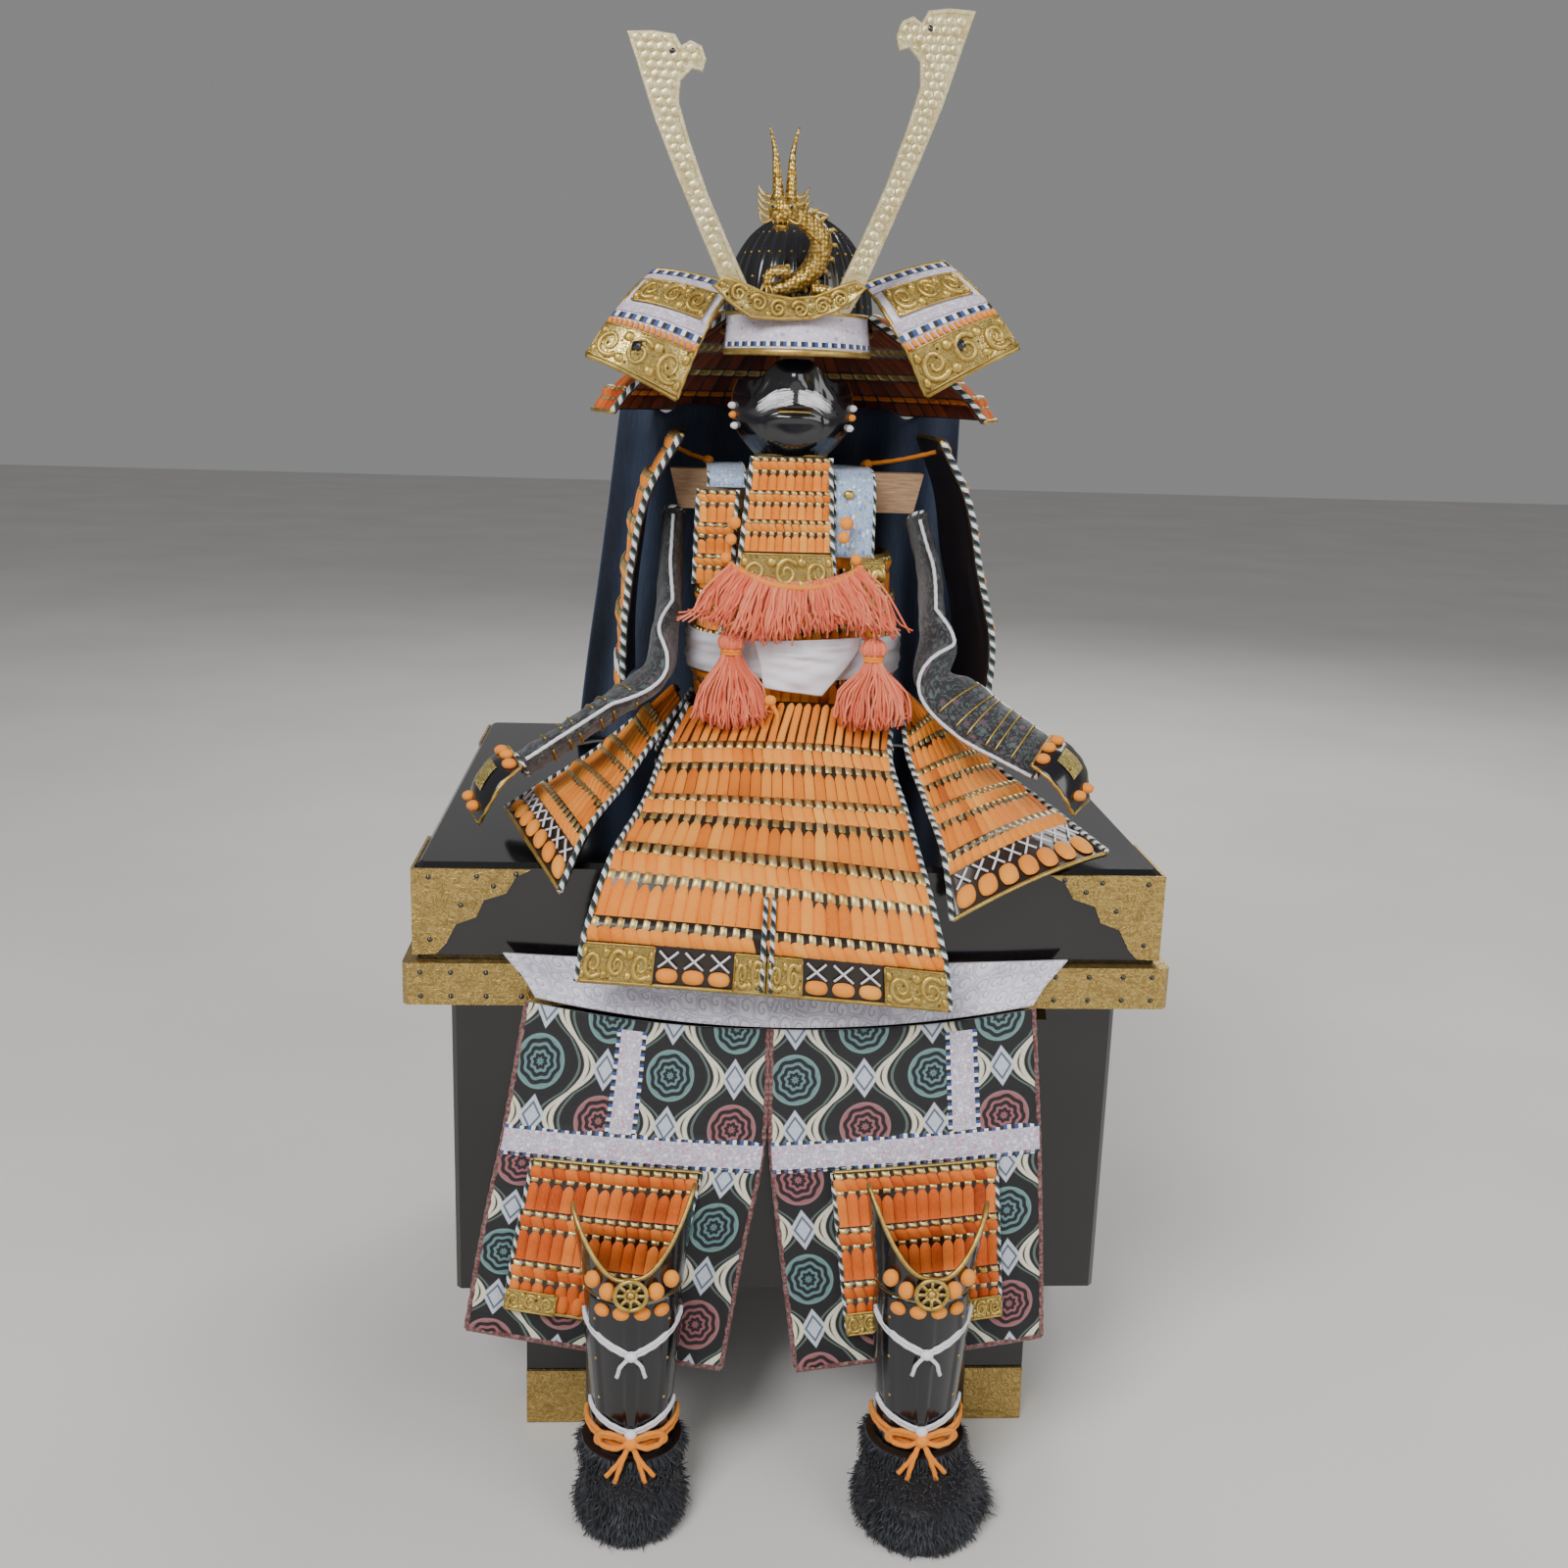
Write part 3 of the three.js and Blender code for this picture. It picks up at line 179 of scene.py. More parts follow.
class Piece:
    """Collects grids of points, in millimetres, into one mesh with several materials."""

    def __init__(self, name, *looks):
        self.name, self.looks = name, looks
        self.points, self.faces, self.slots, self.uvs, self.tones_and_light = [], [], [], [], []
        self.count = 0

    def add_points(self, points, tone_and_light):
        flat = points.reshape(-1, 3)
        self.points.append(flat)
        self.tones_and_light.append(np.broadcast_to(tone_and_light, points.shape[:-1]).reshape(-1).astype(float))
        self.count += len(flat)

    def grid(self, points, look=0, uv=None, tone_and_light=0.5, wrap=False, flip=False):
        """Rows of points skinned with quads. flip turns them over, wrap joins the last column to the first."""
        rows, cols = points.shape[:2]
        at = np.arange(rows * cols).reshape(rows, cols) + self.count
        if wrap:
            at = np.concatenate([at, at[:, :1]], 1)
        if uv is None:
            uv = np.stack(np.meshgrid(np.linspace(0, 1, at.shape[1]), np.linspace(0, 1, rows)), -1)
        quads = np.stack([at[:-1, :-1], at[1:, :-1], at[1:, 1:], at[:-1, 1:]], -1).reshape(-1, 4)
        corners = np.stack([uv[:-1, :-1], uv[1:, :-1], uv[1:, 1:], uv[:-1, 1:]], 2).reshape(-1, 4, 2)
        if flip:
            quads, corners = quads[:, ::-1], corners[:, ::-1]
        self.faces += quads.tolist()
        self.uvs.append(corners.reshape(-1, 2))
        self.slots += [look] * len(quads)
        self.add_points(points, tone_and_light)
        return at

    def cap(self, ring, look=0, flip=False):
        """Closes a ring of point numbers with one face."""
        order = list(ring)[::-1] if flip else list(ring)
        self.faces.append([int(i) for i in order])
        self.uvs.append(np.zeros((len(order), 2)))
        self.slots.append(look)

    def strip(self, first, second, look=0):
        """Quads between two rows of point numbers of the same length."""
        quads = np.stack([first[:-1], second[:-1], second[1:], first[1:]], -1)
        self.faces += quads.tolist()
        self.uvs.append(np.zeros((quads.size, 2)))
        self.slots += [look] * len(quads)

    def build(self, slot, replaces=(), sharp=None):
        mesh = bpy.data.meshes.new(self.name)
        mesh.from_pydata(to_frame(np.concatenate(self.points)).tolist(), [], self.faces)
        mesh.uv_layers.new(name="pattern").data.foreach_set(
            "uv", np.concatenate(self.uvs).ravel().astype(np.float32))
        # Per-point value that shifts the colour ramps: random tone from piece to piece, and a painted
        # highlight where raised knots are given a higher value.
        mesh.attributes.new("tone_and_light", "FLOAT", "POINT").data.foreach_set(
            "value", np.concatenate(self.tones_and_light).astype(np.float32))
        for look in self.looks:
            mesh.materials.append(look)
        mesh.polygons.foreach_set("material_index", np.array(self.slots, np.int32))
        mesh.polygons.foreach_set("use_smooth", np.ones(len(self.faces), bool))
        if sharp:
            mesh.set_sharp_from_angle(angle=math.radians(sharp))
        mesh.update()
        made = bpy.data.objects.new(self.name, mesh)
        bpy.context.scene.collection.objects.link(made)
        if replaces:
            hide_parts(*replaces)
        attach(made, "root")
        return made


def wall(piece, surface, us, vs, outer, inner=0.0, look=0, back=None, size=(1, 1), tone_and_light=0.5, wrap=False):
    """Closed wall between two heights over a surface, with rims. size scales the pattern in mm."""
    back = look if back is None else back
    u, v = grid_of(us, vs)
    uv = np.stack([u * size[0], v * size[1]], -1)
    if wrap:
        u, v = u[:, :-1], v[:, :-1]
    height = outer(u, v) if callable(outer) else np.full(u.shape, float(outer))
    depth = inner(u, v) if callable(inner) else np.full(u.shape, float(inner))
    front = piece.grid(raised(surface, u, v, height), look, uv, tone_and_light, wrap=wrap)
    rear = piece.grid(raised(surface, u, v, depth), back, uv, tone_and_light, wrap=wrap, flip=True)
    piece.strip(rear[0], front[0], look)
    piece.strip(front[-1], rear[-1], look)
    if not wrap:
        piece.strip(front[:, 0], rear[:, 0], look)
        piece.strip(rear[:, -1], front[:, -1], look)


def frames_along(path):
    """Unit directions along a path and two across it that turn as little as they can."""
    along = np.gradient(path, axis=0)
    along /= np.maximum(np.linalg.norm(along, axis=1, keepdims=True), 1e-9)
    first = np.cross(along[0], (0, 0, 1))
    if np.linalg.norm(first) < 0.2:
        first = np.cross(along[0], (0, 1, 0))
    side = [first / np.linalg.norm(first)]
    for t in along[1:]:
        s = side[-1] - t * np.dot(side[-1], t)
        side.append(s / np.linalg.norm(s))
    side = np.array(side)
    return along, side, np.cross(along, side)


def tube(piece, path, radius, look=0, tone_and_light=0.5, sides=8, lobes=0, twist=0.0, flat=1.0, closed=False,
         across=None):
    """Round, flattened or twisted cord along a path. across fixes the direction of its width."""
    path = np.asarray(path, float)
    along, side, other = frames_along(path)
    if across is not None:
        side = np.broadcast_to(np.asarray(across, float), path.shape)
        side = side - along * (side * along).sum(1, keepdims=True)
        side /= np.linalg.norm(side, axis=1, keepdims=True)
        other = np.cross(along, side)
    gone = np.concatenate([[0], np.cumsum(np.linalg.norm(np.diff(path, axis=0), axis=1))])
    angle = np.linspace(0, TAU, sides, endpoint=False)
    size = np.broadcast_to(radius, (len(path),))[:, None]
    if lobes:
        size = size * (0.88 + 0.12 * np.cos(lobes * angle[None] - twist * gone[:, None]))
    else:
        size = np.broadcast_to(size, (len(path), sides))
    points = (path[:, None] + side[:, None] * (size * np.cos(angle))[..., None]
              + other[:, None] * (size * np.sin(angle) * flat)[..., None])
    uv = np.stack(np.broadcast_arrays(gone[:, None], np.linspace(0, 1, sides + 1)[None]), -1)
    rows = piece.grid(points, look, uv, tone_and_light, wrap=True)
    if not closed:
        piece.cap(rows[0][:-1], look, flip=False)
        piece.cap(rows[-1][:-1], look, flip=True)


def curve_through(points, steps):
    points = np.asarray(points, float)
    t = np.linspace(0, 1, steps + 1)
    return np.stack([smooth(points[:, k], t) for k in range(points.shape[1])], -1)


def egg(piece, at, radii, look=0, tone_and_light=0.5, sides=12, rows=8, turn=None):
    """Rounded lump. turn is a 3 by 3 matrix that tips it."""
    lat = np.linspace(0.02, math.pi - 0.02, rows)
    lon = np.linspace(0, TAU, sides, endpoint=False)
    a, b = np.meshgrid(lon, lat)
    points = np.stack([np.sin(b) * np.cos(a), np.sin(b) * np.sin(a), np.cos(b)], -1) * radii
    if turn is not None:
        points = points @ np.asarray(turn).T
    made = piece.grid(points + at, look, None, tone_and_light, wrap=True)
    piece.cap(made[0][:-1], look, flip=True)
    piece.cap(made[-1][:-1], look, flip=False)


def pad(piece, surface, u, v, base, rise, look, tone_and_light=0.5, cells=(5, 4), skew=0.0, arch=0.0, power=(2.4, 2.4),
        sink=0.25, oval=False):
    """Rounded pad that stands on a surface between two u and two v values, domed both ways."""
    s = (1 - np.cos(np.linspace(0, math.pi, cells[0] + 1))) / 2
    t = (1 - np.cos(np.linspace(0, math.pi, cells[1] + 1))) / 2
    s, t = np.meshgrid(s, t)
    dome = (1 - np.abs(2 * s - 1) ** power[0]) ** (1 / power[0])
    dome = dome * (1 - np.abs(2 * t - 1) ** power[1]) ** (1 / power[1])
    if oval:
        a, b = 2 * s - 1, 2 * t - 1
        a, b = a * np.sqrt(1 - 0.42 * b * b), b * np.sqrt(1 - 0.42 * a * a)
        s, t = (a + 1) / 2, (b + 1) / 2
    lift = arch * (2 * s - 1) ** 2 * (1 - t)
    at_u = mix(u[0], u[1], s) + skew * (t - 0.5)
    at_v = mix(v[0], v[1], t) + lift * (v[1] - v[0])
    height = (base(at_v) if callable(base) else base) - sink + (rise + sink) * dome
    points = raised(surface, np.clip(at_u, 0, 1), np.clip(at_v, 0, 1), height)
    piece.grid(points, look, np.stack([s, t], -1), tone_and_light)


# Materials

def hexed(text):
    """A colour as written for screens, as the linear values that shaders use."""
    parts = [int(text[i:i + 2], 16) / 255 for i in (1, 3, 5)]
    return tuple(c / 12.92 if c <= 0.04045 else ((c + 0.055) / 1.055) ** 2.4 for c in parts) + (1.0,)


class Field:
    """A number or colour that varies over a surface, with arithmetic."""

    def __init__(self, paint, socket):
        self.paint, self.socket = paint, socket

    def math(self, operation, *values):
        node = self.paint.node("ShaderNodeMath", operation=operation)
        for socket, value in zip(node.inputs, (self, *values)):
            self.paint.feed(socket, value)
        return Field(self.paint, node.outputs[0])

    def __add__(self, other): return self.math("ADD", other)
    def __radd__(self, other): return self.math("ADD", other)
    def __sub__(self, other): return self.math("SUBTRACT", other)
    def __rsub__(self, other): return (self * -1) + other
    def __mul__(self, other): return self.math("MULTIPLY", other)
    def __rmul__(self, other): return self.math("MULTIPLY", other)
    def __truediv__(self, other): return self.math("DIVIDE", other)
    def __lt__(self, other): return self.math("LESS_THAN", other)
    def __gt__(self, other): return self.math("GREATER_THAN", other)
    def __mod__(self, other): return self.math("FLOORED_MODULO", other)
    def __pow__(self, other): return self.math("POWER", other)
    def sin(self): return self.math("SINE")
    def cos(self): return self.math("COSINE")
    def abs(self): return self.math("ABSOLUTE")
    def floor(self): return self.math("FLOOR")
    def round(self): return self.math("ROUND")
    def frac(self): return self.math("FRACT")
    def sqrt(self): return self.math("SQRT")
    def least(self, other): return self.math("MINIMUM", other)
    def most(self, other): return self.math("MAXIMUM", other)
    def angle(self, other): return self.math("ARCTAN2", other)

    def step(self, low, high):
        node = self.paint.node("ShaderNodeMapRange", interpolation_type="SMOOTHSTEP")
        for name, value in (("Value", self), ("From Min", low), ("From Max", high)):
            self.paint.feed(node.inputs[name], value)
        return Field(self.paint, node.outputs[0])

    def near(self, at, width, soft=0.35):
        """1 within a width of a value, falling to 0 outside."""
        return 1 - (self - at).abs().step(width * (1 - soft), width * (1 + soft))


class Paint:
    """One procedural material."""

    def __init__(self, name):
        self.material = bpy.data.materials.new(name)
        self.material.use_nodes = True
        self.tree = self.material.node_tree
        self.shader = self.tree.nodes["Principled BSDF"]

    def node(self, kind, **settings):
        made = self.tree.nodes.new(kind)
        for key, value in settings.items():
            setattr(made, key, value)
        return made

    def feed(self, socket, value):
        if isinstance(value, Field):
            self.tree.links.new(value.socket, socket)
        else:
            socket.default_value = value

    def uv(self):
        split = self.node("ShaderNodeSeparateXYZ")
        self.tree.links.new(self.node("ShaderNodeUVMap", uv_map="pattern").outputs[0], split.inputs[0])
        return Field(self, split.outputs[0]), Field(self, split.outputs[1])

    def place(self):
        """Position in the frame, in millimetres, as three numbers."""
        scale = self.node("ShaderNodeVectorMath", operation="SCALE")
        self.tree.links.new(self.node("ShaderNodeTexCoord").outputs["Object"], scale.inputs[0])
        scale.inputs["Scale"].default_value = 1000
        split = self.node("ShaderNodeSeparateXYZ")
        self.tree.links.new(scale.outputs[0], split.inputs[0])
        return tuple(Field(self, split.outputs[k]) for k in range(3))

    # Per-point value: random tone, and a painted highlight on raised knots.
    def tone_and_light(self):
        return Field(self, self.node("ShaderNodeAttribute", attribute_name="tone_and_light").outputs["Fac"])

    def vector(self, x, y, z=0.0):
        made = self.node("ShaderNodeCombineXYZ")
        for socket, value in zip(made.inputs, (x, y, z)):
            self.feed(socket, value)
        return Field(self, made.outputs[0])

    def noise(self, vector, scale=1.0, detail=3, rough=0.55, warp=0.0):
        made = self.node("ShaderNodeTexNoise")
        for key, value in (("Vector", vector), ("Scale", scale), ("Detail", detail), ("Roughness", rough),
                           ("Distortion", warp)):
            self.feed(made.inputs[key], value)
        return Field(self, made.outputs["Fac"])

    def cells(self, vector, scale=1.0, feature="F1", jitter=1.0):
        made = self.node("ShaderNodeTexVoronoi", feature=feature)
        for key, value in (("Vector", vector), ("Scale", scale), ("Randomness", jitter)):
            self.feed(made.inputs[key], value)
        return made

    def blend(self, mask, first, second):
        made = self.node("ShaderNodeMix", data_type="RGBA")
        self.feed(made.inputs[0], mask)
        self.feed(made.inputs[6], hexed(first) if isinstance(first, str) else first)
        self.feed(made.inputs[7], hexed(second) if isinstance(second, str) else second)
        return Field(self, made.outputs[2])

    def ramp(self, value, *stops):
        made = self.node("ShaderNodeValToRGB")
        ramp = made.color_ramp
        while len(ramp.elements) < len(stops):
            ramp.elements.new(0.5)
        for element, (at, color) in zip(ramp.elements, stops):
            element.position, element.color = at, hexed(color)
        self.feed(made.inputs[0], value)
        return Field(self, made.outputs[0])

    def finish(self, color, rough=0.5, metal=0.0, bump=None, depth=0.3, **sockets):
        """Sets the shader. bump is a height field and depth its reach in mm."""
        values = {"Base Color": hexed(color) if isinstance(color, str) else color, "Roughness": rough,
                  "Metallic": metal, **sockets}
        for name, value in values.items():
            self.feed(self.shader.inputs[name], value)
        if bump is not None:
            made = self.node("ShaderNodeBump")
            made.inputs["Distance"].default_value = depth * MM
            made.inputs["Strength"].default_value = 1.0
            self.feed(made.inputs["Height"], bump)
            self.tree.links.new(made.outputs[0], self.shader.inputs["Normal"])
        return self.material


def silk_cord(name, dark, mid, light, sheen=0.35):
    """Braided silk: fine fibres along the cord, every cord a little different in tone, and a painted highlight
    that makes the raised knots lighter.
    """
    p = Paint(name)
    s, t = p.uv()
    x, y, z = p.place()
    fibre = p.noise(p.vector(x * 3.1, y * 3.1, z * 0.35), 1.3, 3, 0.6)
    braid = ((s * 5 + t * 9) * TAU).sin() * 0.25 + 0.5
    blotch = p.noise(p.vector(x, y, z), 0.05, 2)
    # The per-point value adds random tone and the painted highlight on the raised knots.
    value = fibre * 0.5 + p.tone_and_light() * 0.42 + blotch * 0.25 + braid * 0.08 - 0.12
    color = p.ramp(value, (0.12, dark), (0.45, mid), (0.82, light))
    return p.finish(color, 0.72, 0.0, fibre * 0.6 + braid * 0.4, 0.22,
                    **{"Sheen Weight": sheen, "Sheen Roughness": 0.4, "Specular IOR Level": 0.35})


def gilt(name, dark, light, rough=0.32, grain=0.9, depth=0.12, metal=0.92):
    """Thin gold over a worked ground, darker in its hollows and worn in spots."""
    p = Paint(name)
    at = p.vector(*p.place())
    wear = p.noise(at, 0.16, 4, 0.6)
    fine = p.noise(at, grain, 3, 0.6)
    color = p.ramp(wear * 0.7 + fine * 0.45 + p.tone_and_light() * 0.3 - 0.2, (0.25, dark), (0.75, light))
    return p.finish(color, (fine * 0.25 + rough).least(0.9), metal, fine, depth)


def gilt_relief(name, dark, light, scale=0.34, depth=0.9):
    """Chased scrollwork with dark piercings."""
    p = Paint(name)
    x, y, z = p.place()
    at = p.vector(x, y, z)
    swirl = p.noise(at, scale, 2, 0.5, 2.6)
    vine = (swirl * 26).sin() * 0.5 + 0.5
    pits = Field(p, p.cells(at, scale * 1.15).outputs["Distance"]).step(0.12, 0.3)
    height = vine.step(0.1, 0.8) * 0.7 + pits * 0.6
    color = p.ramp(height * 0.75 + p.tone_and_light() * 0.2, (0.05, "#1c1206"), (0.34, dark), (0.8, light))
    rough = 0.62 - height * 0.3
    return p.finish(color, rough, 0.88, height, depth)


def lacquer(name, color, other, rough=0.16, coat=0.6, speck=0.3):
    """Polished lacquer with faint dust and a slow change of tone."""
    p = Paint(name)
    at = p.vector(*p.place())
    cloud = p.noise(at, 0.012, 3)
    dust = p.noise(at, 1.1, 2, 0.7).step(0.62, 0.75)
    shade = p.blend(cloud.step(0.3, 0.7), color, other)
    return p.finish(p.blend(dust * 0.08 * speck, shade, "#8a8780"), dust * 0.15 + rough + cloud * 0.08, 0.0,
                    p.noise(at, 0.05, 2), 0.05, **{"Coat Weight": coat, "Coat Roughness": 0.08})


def chest_lacquer(name, gold_zone):
    """Chest lacquer with gilt metal where gold_zone, a function of the position, is 1."""
    p = Paint(name)
    x, y, z = p.place()
    at = p.vector(x, y, z)
    cloud = p.noise(at, 0.01, 3)
    brushed = p.noise(p.vector(x * 0.3, y * 0.3, z * 2.2), 0.5, 3)
    gold_mask = gold_zone(p, x, y, z)
    scroll = (p.noise(at, 0.22, 2, 0.5, 1.8) * 30).sin() * 0.5 + 0.5
    gold = p.ramp(brushed * 0.5 + scroll * 0.3 + 0.1, (0.2, "#8a6a2c"), (0.7, "#c9ab62"))
    dark = p.blend(cloud.step(0.3, 0.7), "#0b0a0b", "#161215")
    dust = p.noise(at, 0.9, 2, 0.7).step(0.64, 0.76)
    dark = p.blend(dust * 0.05, dark, "#777570")
    rough = gold_mask * 0.22 + 0.14 + dust * 0.1
    return p.finish(p.blend(gold_mask, dark, gold), rough, gold_mask * 0.9, scroll * gold_mask + cloud * 0.2,
                    0.12, **{"Coat Weight": 0.5, "Coat Roughness": 0.1})


def woven(x, y, pitch=0.55):
    """Height of a plain weave."""
    over = (x / pitch * math.pi).sin() * (y / pitch * math.pi).sin()
    return over * 0.5 + 0.5


def navy_twill():
    p = Paint("navy_twill")
    s, t = p.uv()
    twill = ((s + t) / 0.8 * TAU).sin() * 0.5 + 0.5
    slub = p.noise(p.vector(s * 0.9, t * 0.08), 1.0, 4, 0.6)
    fade = p.noise(p.vector(s, t), 0.03, 3)
    color = p.ramp(slub * 0.55 + fade * 0.4 + twill * 0.12 - 0.05, (0.2, "#141d2d"), (0.55, "#2a3a55"),
                   (0.85, "#4a5f80"))
    return p.finish(color, 0.9, 0.0, twill * 0.5 + slub * 0.7, 0.25,
                    **{"Sheen Weight": 0.25, "Sheen Roughness": 0.5})


def white_silk():
    p = Paint("white_silk")
    x, y, z = p.place()
    at = p.vector(x, y, z)
    crepe = p.noise(p.vector(x * 1.8, y * 1.8, z * 1.8), 1.0, 3, 0.65)
    cloud = p.noise(at, 0.06, 2)
    color = p.ramp(cloud * 0.6 + crepe * 0.3 + 0.05, (0.2, "#c9c6d2"), (0.6, "#eceaf1"), (0.9, "#faf9fc"))
    return p.finish(color, 0.6, 0.0, crepe, 0.12, **{"Sheen Weight": 0.4, "Sheen Roughness": 0.3})


def swirl_cloth():
    """White ground with fine curling tendrils."""
    p = Paint("swirl_cloth")
    s, t = p.uv()
    at = p.vector(s, t)
    cell = p.cells(at, 0.16, jitter=0.55)
    centre = p.node("ShaderNodeSeparateXYZ")
    p.tree.links.new(cell.outputs["Position"], centre.inputs[0])
    dx, dy = s - Field(p, centre.outputs[0]), t - Field(p, centre.outputs[1])
    reach = (dx * dx + dy * dy).sqrt()
    coil = (reach * 2.6 - dy.angle(dx)).sin()
    line = coil.near(0.86, 0.2) * (1 - reach.step(2.4, 3.4))
    edge = Field(p, p.cells(at, 0.16, "DISTANCE_TO_EDGE", 0.55).outputs["Distance"]).near(0.06, 0.035)
    ink = line.most(edge * 0.8)
    weave = woven(s, t, 0.6)
    ground = p.ramp(p.noise(at, 0.05, 2) + weave * 0.1 - 0.05, (0.3, "#d9d4e2"), (0.7, "#f3f0f8"))
    return p.finish(p.blend(ink * 0.55, ground, "#7a7492"), 0.75, 0.0, weave + ink * 0.4, 0.1,
                    **{"Sheen Weight": 0.2})


def check_color(p, along, pitch=2.2):
    """Squares of blue, white and black along a piping."""
    square = (along / pitch) % 3
    return p.blend(square > 2, p.blend(square > 1, "#2b4a86", "#f0eef2"), "#101018")


def flecked(p, s, t, ground, first, second, scale=0.55):
    """Close brocade figure in two colours on a ground."""
    flower = p.cells(p.vector(s, t), scale, jitter=0.6)
    near = Field(p, flower.outputs["Distance"])
    hue = p.node("ShaderNodeSeparateColor")
    p.tree.links.new(flower.outputs["Color"], hue.inputs[0])
    pick = Field(p, hue.outputs[0])
    vine = (p.noise(p.vector(s, t), scale * 0.9, 1, 0.5, 1.5) * 22).sin().near(0.8, 0.3)
    color = p.blend(vine * 0.7, ground, second)
    return p.blend(1 - near.step(0.22, 0.4), color, p.blend(pick.step(0.45, 0.55), first, second))


def lavender_brocade():
    """Pale lavender and rose band with checked piping at both edges. v runs across the band from 0 to 1."""
    p = Paint("lavender_brocade")
    s, t = p.uv()
    color = flecked(p, s, t * 14, "#b9aec2", "#d88fa4", "#ece8ef", 0.42)
    piping = 1 - (t - 0.5).abs().near(0.0, 0.36, 0.03)
    color = p.blend(piping, color, check_color(p, s, 1.5))
    weave = woven(s, t * 14, 0.5)
    return p.finish(color, 0.6, 0.0, weave * 0.5 + piping * 0.8, 0.18, **{"Sheen Weight": 0.25})


def thigh_brocade():
    """Black ground with wavy bands of cream and green, roundels in the wide places and pale diamonds."""
    p = Paint("thigh_brocade")
    s, t = p.uv()
    pitch, period, swing = 27.0, 44.0, 0.26
    column = s / pitch + 0.15
    phase = t / period * TAU
    line = column.round()
    side = 1 - (line.abs() % 2) * 2
    off = column - line - phase.cos() * side * swing
    body = phase.cos().abs()
    cream = (off.abs() - body * 0.05).near(0.0, 0.035)
    green = (off.abs() - body * 0.075).near(0.085, 0.02)
    cell = column.floor()
    odd = cell.abs() % 2
    across = (column - cell - 0.5) * pitch
    row = t / period + (1 - odd) * 0.5
    down = (row - row.round()) * period
    reach = (across * across + down * down * 0.8).sqrt()
    petals = across.angle(down) * 8
    rings = (reach * 2.3 + petals.sin() * 0.8).sin()
    roundel = 1 - reach.step(9.2, 9.8)
    flip = (row.round() + cell).abs() % 2
    thread = p.blend(flip, "#8c3440", "#3d6470")
    pale = p.blend(flip, "#94686a", "#6b8f8a")
    gem_row = row + 0.5
    gem_down = ((gem_row - gem_row.round()) * period).abs()
    gem = 1 - (gem_down * 0.62 + across.abs()).step(5.2, 5.8)
    gem_line = (gem_down * 0.62 + across.abs()).near(3.4, 0.5)
    color = p.blend(green * 0.8, "#0b0b10", "#5f7068")
    color = p.blend(roundel * rings.step(-0.1, 0.3), color, thread)
    color = p.blend(roundel * rings.near(0.75, 0.22), color, pale)
    color = p.blend(reach.near(9.5, 0.45), color, pale)
    color = p.blend(gem, color, p.blend(gem_line, "#c3cad6", "#5d6676"))
    color = p.blend(cream, color, "#ddd9c2")
    weave = woven(s, t, 0.45)
    thread_noise = p.noise(p.vector(s * 2.4, t * 0.6), 1.0, 2)
    color = p.blend(thread_noise.step(0.52, 0.75) * 0.35, color, "#15151c")
    return p.finish(color, 0.55, 0.0, weave * 0.6 + cream * 0.5 + roundel * rings * 0.3, 0.22,
                    **{"Sheen Weight": 0.3, "Sheen Roughness": 0.35})


def strap_brocade():
    """Pale blue brocade with white flowers and gold hearts."""
    p = Paint("strap_brocade")
    s, t = p.uv()
    color = flecked(p, s, t, "#a9bfdc", "#eef2f8", "#6f8fc0", 0.5)
    gold = Field(p, p.cells(p.vector(s, t), 0.24, jitter=0.5).outputs["Distance"]).near(0.0, 0.16)
    color = p.blend(gold * 0.8, color, "#cdb66a")
    return p.finish(color, 0.6, 0.0, woven(s, t, 0.45), 0.15, **{"Sheen Weight": 0.25})


def sleeve_brocade():
    """Dark silk with purple-brown and grey-green flowers."""
    p = Paint("sleeve_brocade")
    s, t = p.uv()
    color = flecked(p, s, t, "#14141c", "#59404c", "#4d5a58", 0.26)
    color = p.blend(p.noise(p.vector(s, t), 0.8, 2).step(0.6, 0.7) * 0.3, color, "#8d8492")
    return p.finish(color, 0.62, 0.0, woven(s, t, 0.5), 0.2, **{"Sheen Weight": 0.3})


def braid_edge():
    """Edge cord braided in black, white and green."""
    p = Paint("braid_edge")
    s, t = p.uv()
    turn = (s / 5.2 + t).frac()
    color = p.blend(turn > 0.42, "#e8e8ec", p.blend(turn > 0.84, "#14161c", "#3f6a58"))
    strand = (turn * TAU * 3).sin() * 0.5 + 0.5
    return p.finish(color, 0.7, 0.0, strand, 0.3, **{"Sheen Weight": 0.3})


def printed_leather():
    """Pale lavender leather with small grey figures."""
    p = Paint("printed_leather")
    s, t = p.uv()
    color = flecked(p, s, t, "#d4cbdc", "#b0a2bd", "#e9e4ee", 0.3)
    grain = p.noise(p.vector(s, t), 2.4, 3)
    return p.finish(color, 0.55, 0.0, grain, 0.08, **{"Specular IOR Level": 0.45})


def gilt_scales():
    """Bright gold with small overlapping scales."""
    p = Paint("dragon_gold")
    at = p.vector(*p.place())
    cell = Field(p, p.cells(at, 0.62, jitter=0.55).outputs["Distance"])
    wear = p.noise(at, 0.2, 3)
    color = p.ramp(1 - cell * 0.9 + wear * 0.2 - 0.15, (0.15, "#4a330e"), (0.45, "#b08a3a"),
                   (0.85, "#f1dc98"))
    return p.finish(color, 0.3 + cell * 0.2, 0.92, 1 - cell, 0.5)


def wood():
    p = Paint("pale_wood")
    x, y, z = p.place()
    grain = p.noise(p.vector(x * 0.12, y * 1.4, z * 1.1), 1.0, 4, 0.6, 0.6)
    color = p.ramp(grain, (0.3, "#8d6a4c"), (0.6, "#b3906d"), (0.85, "#c9a986"))
    return p.finish(color, 0.65, 0.0, grain, 0.15)


def hair(name, dark, light, rough=0.55):
    p = Paint(name)
    color = p.ramp(p.tone_and_light(), (0.1, dark), (0.9, light))
    return p.finish(color, rough, 0.0, None, **{"Sheen Weight": 0.2})


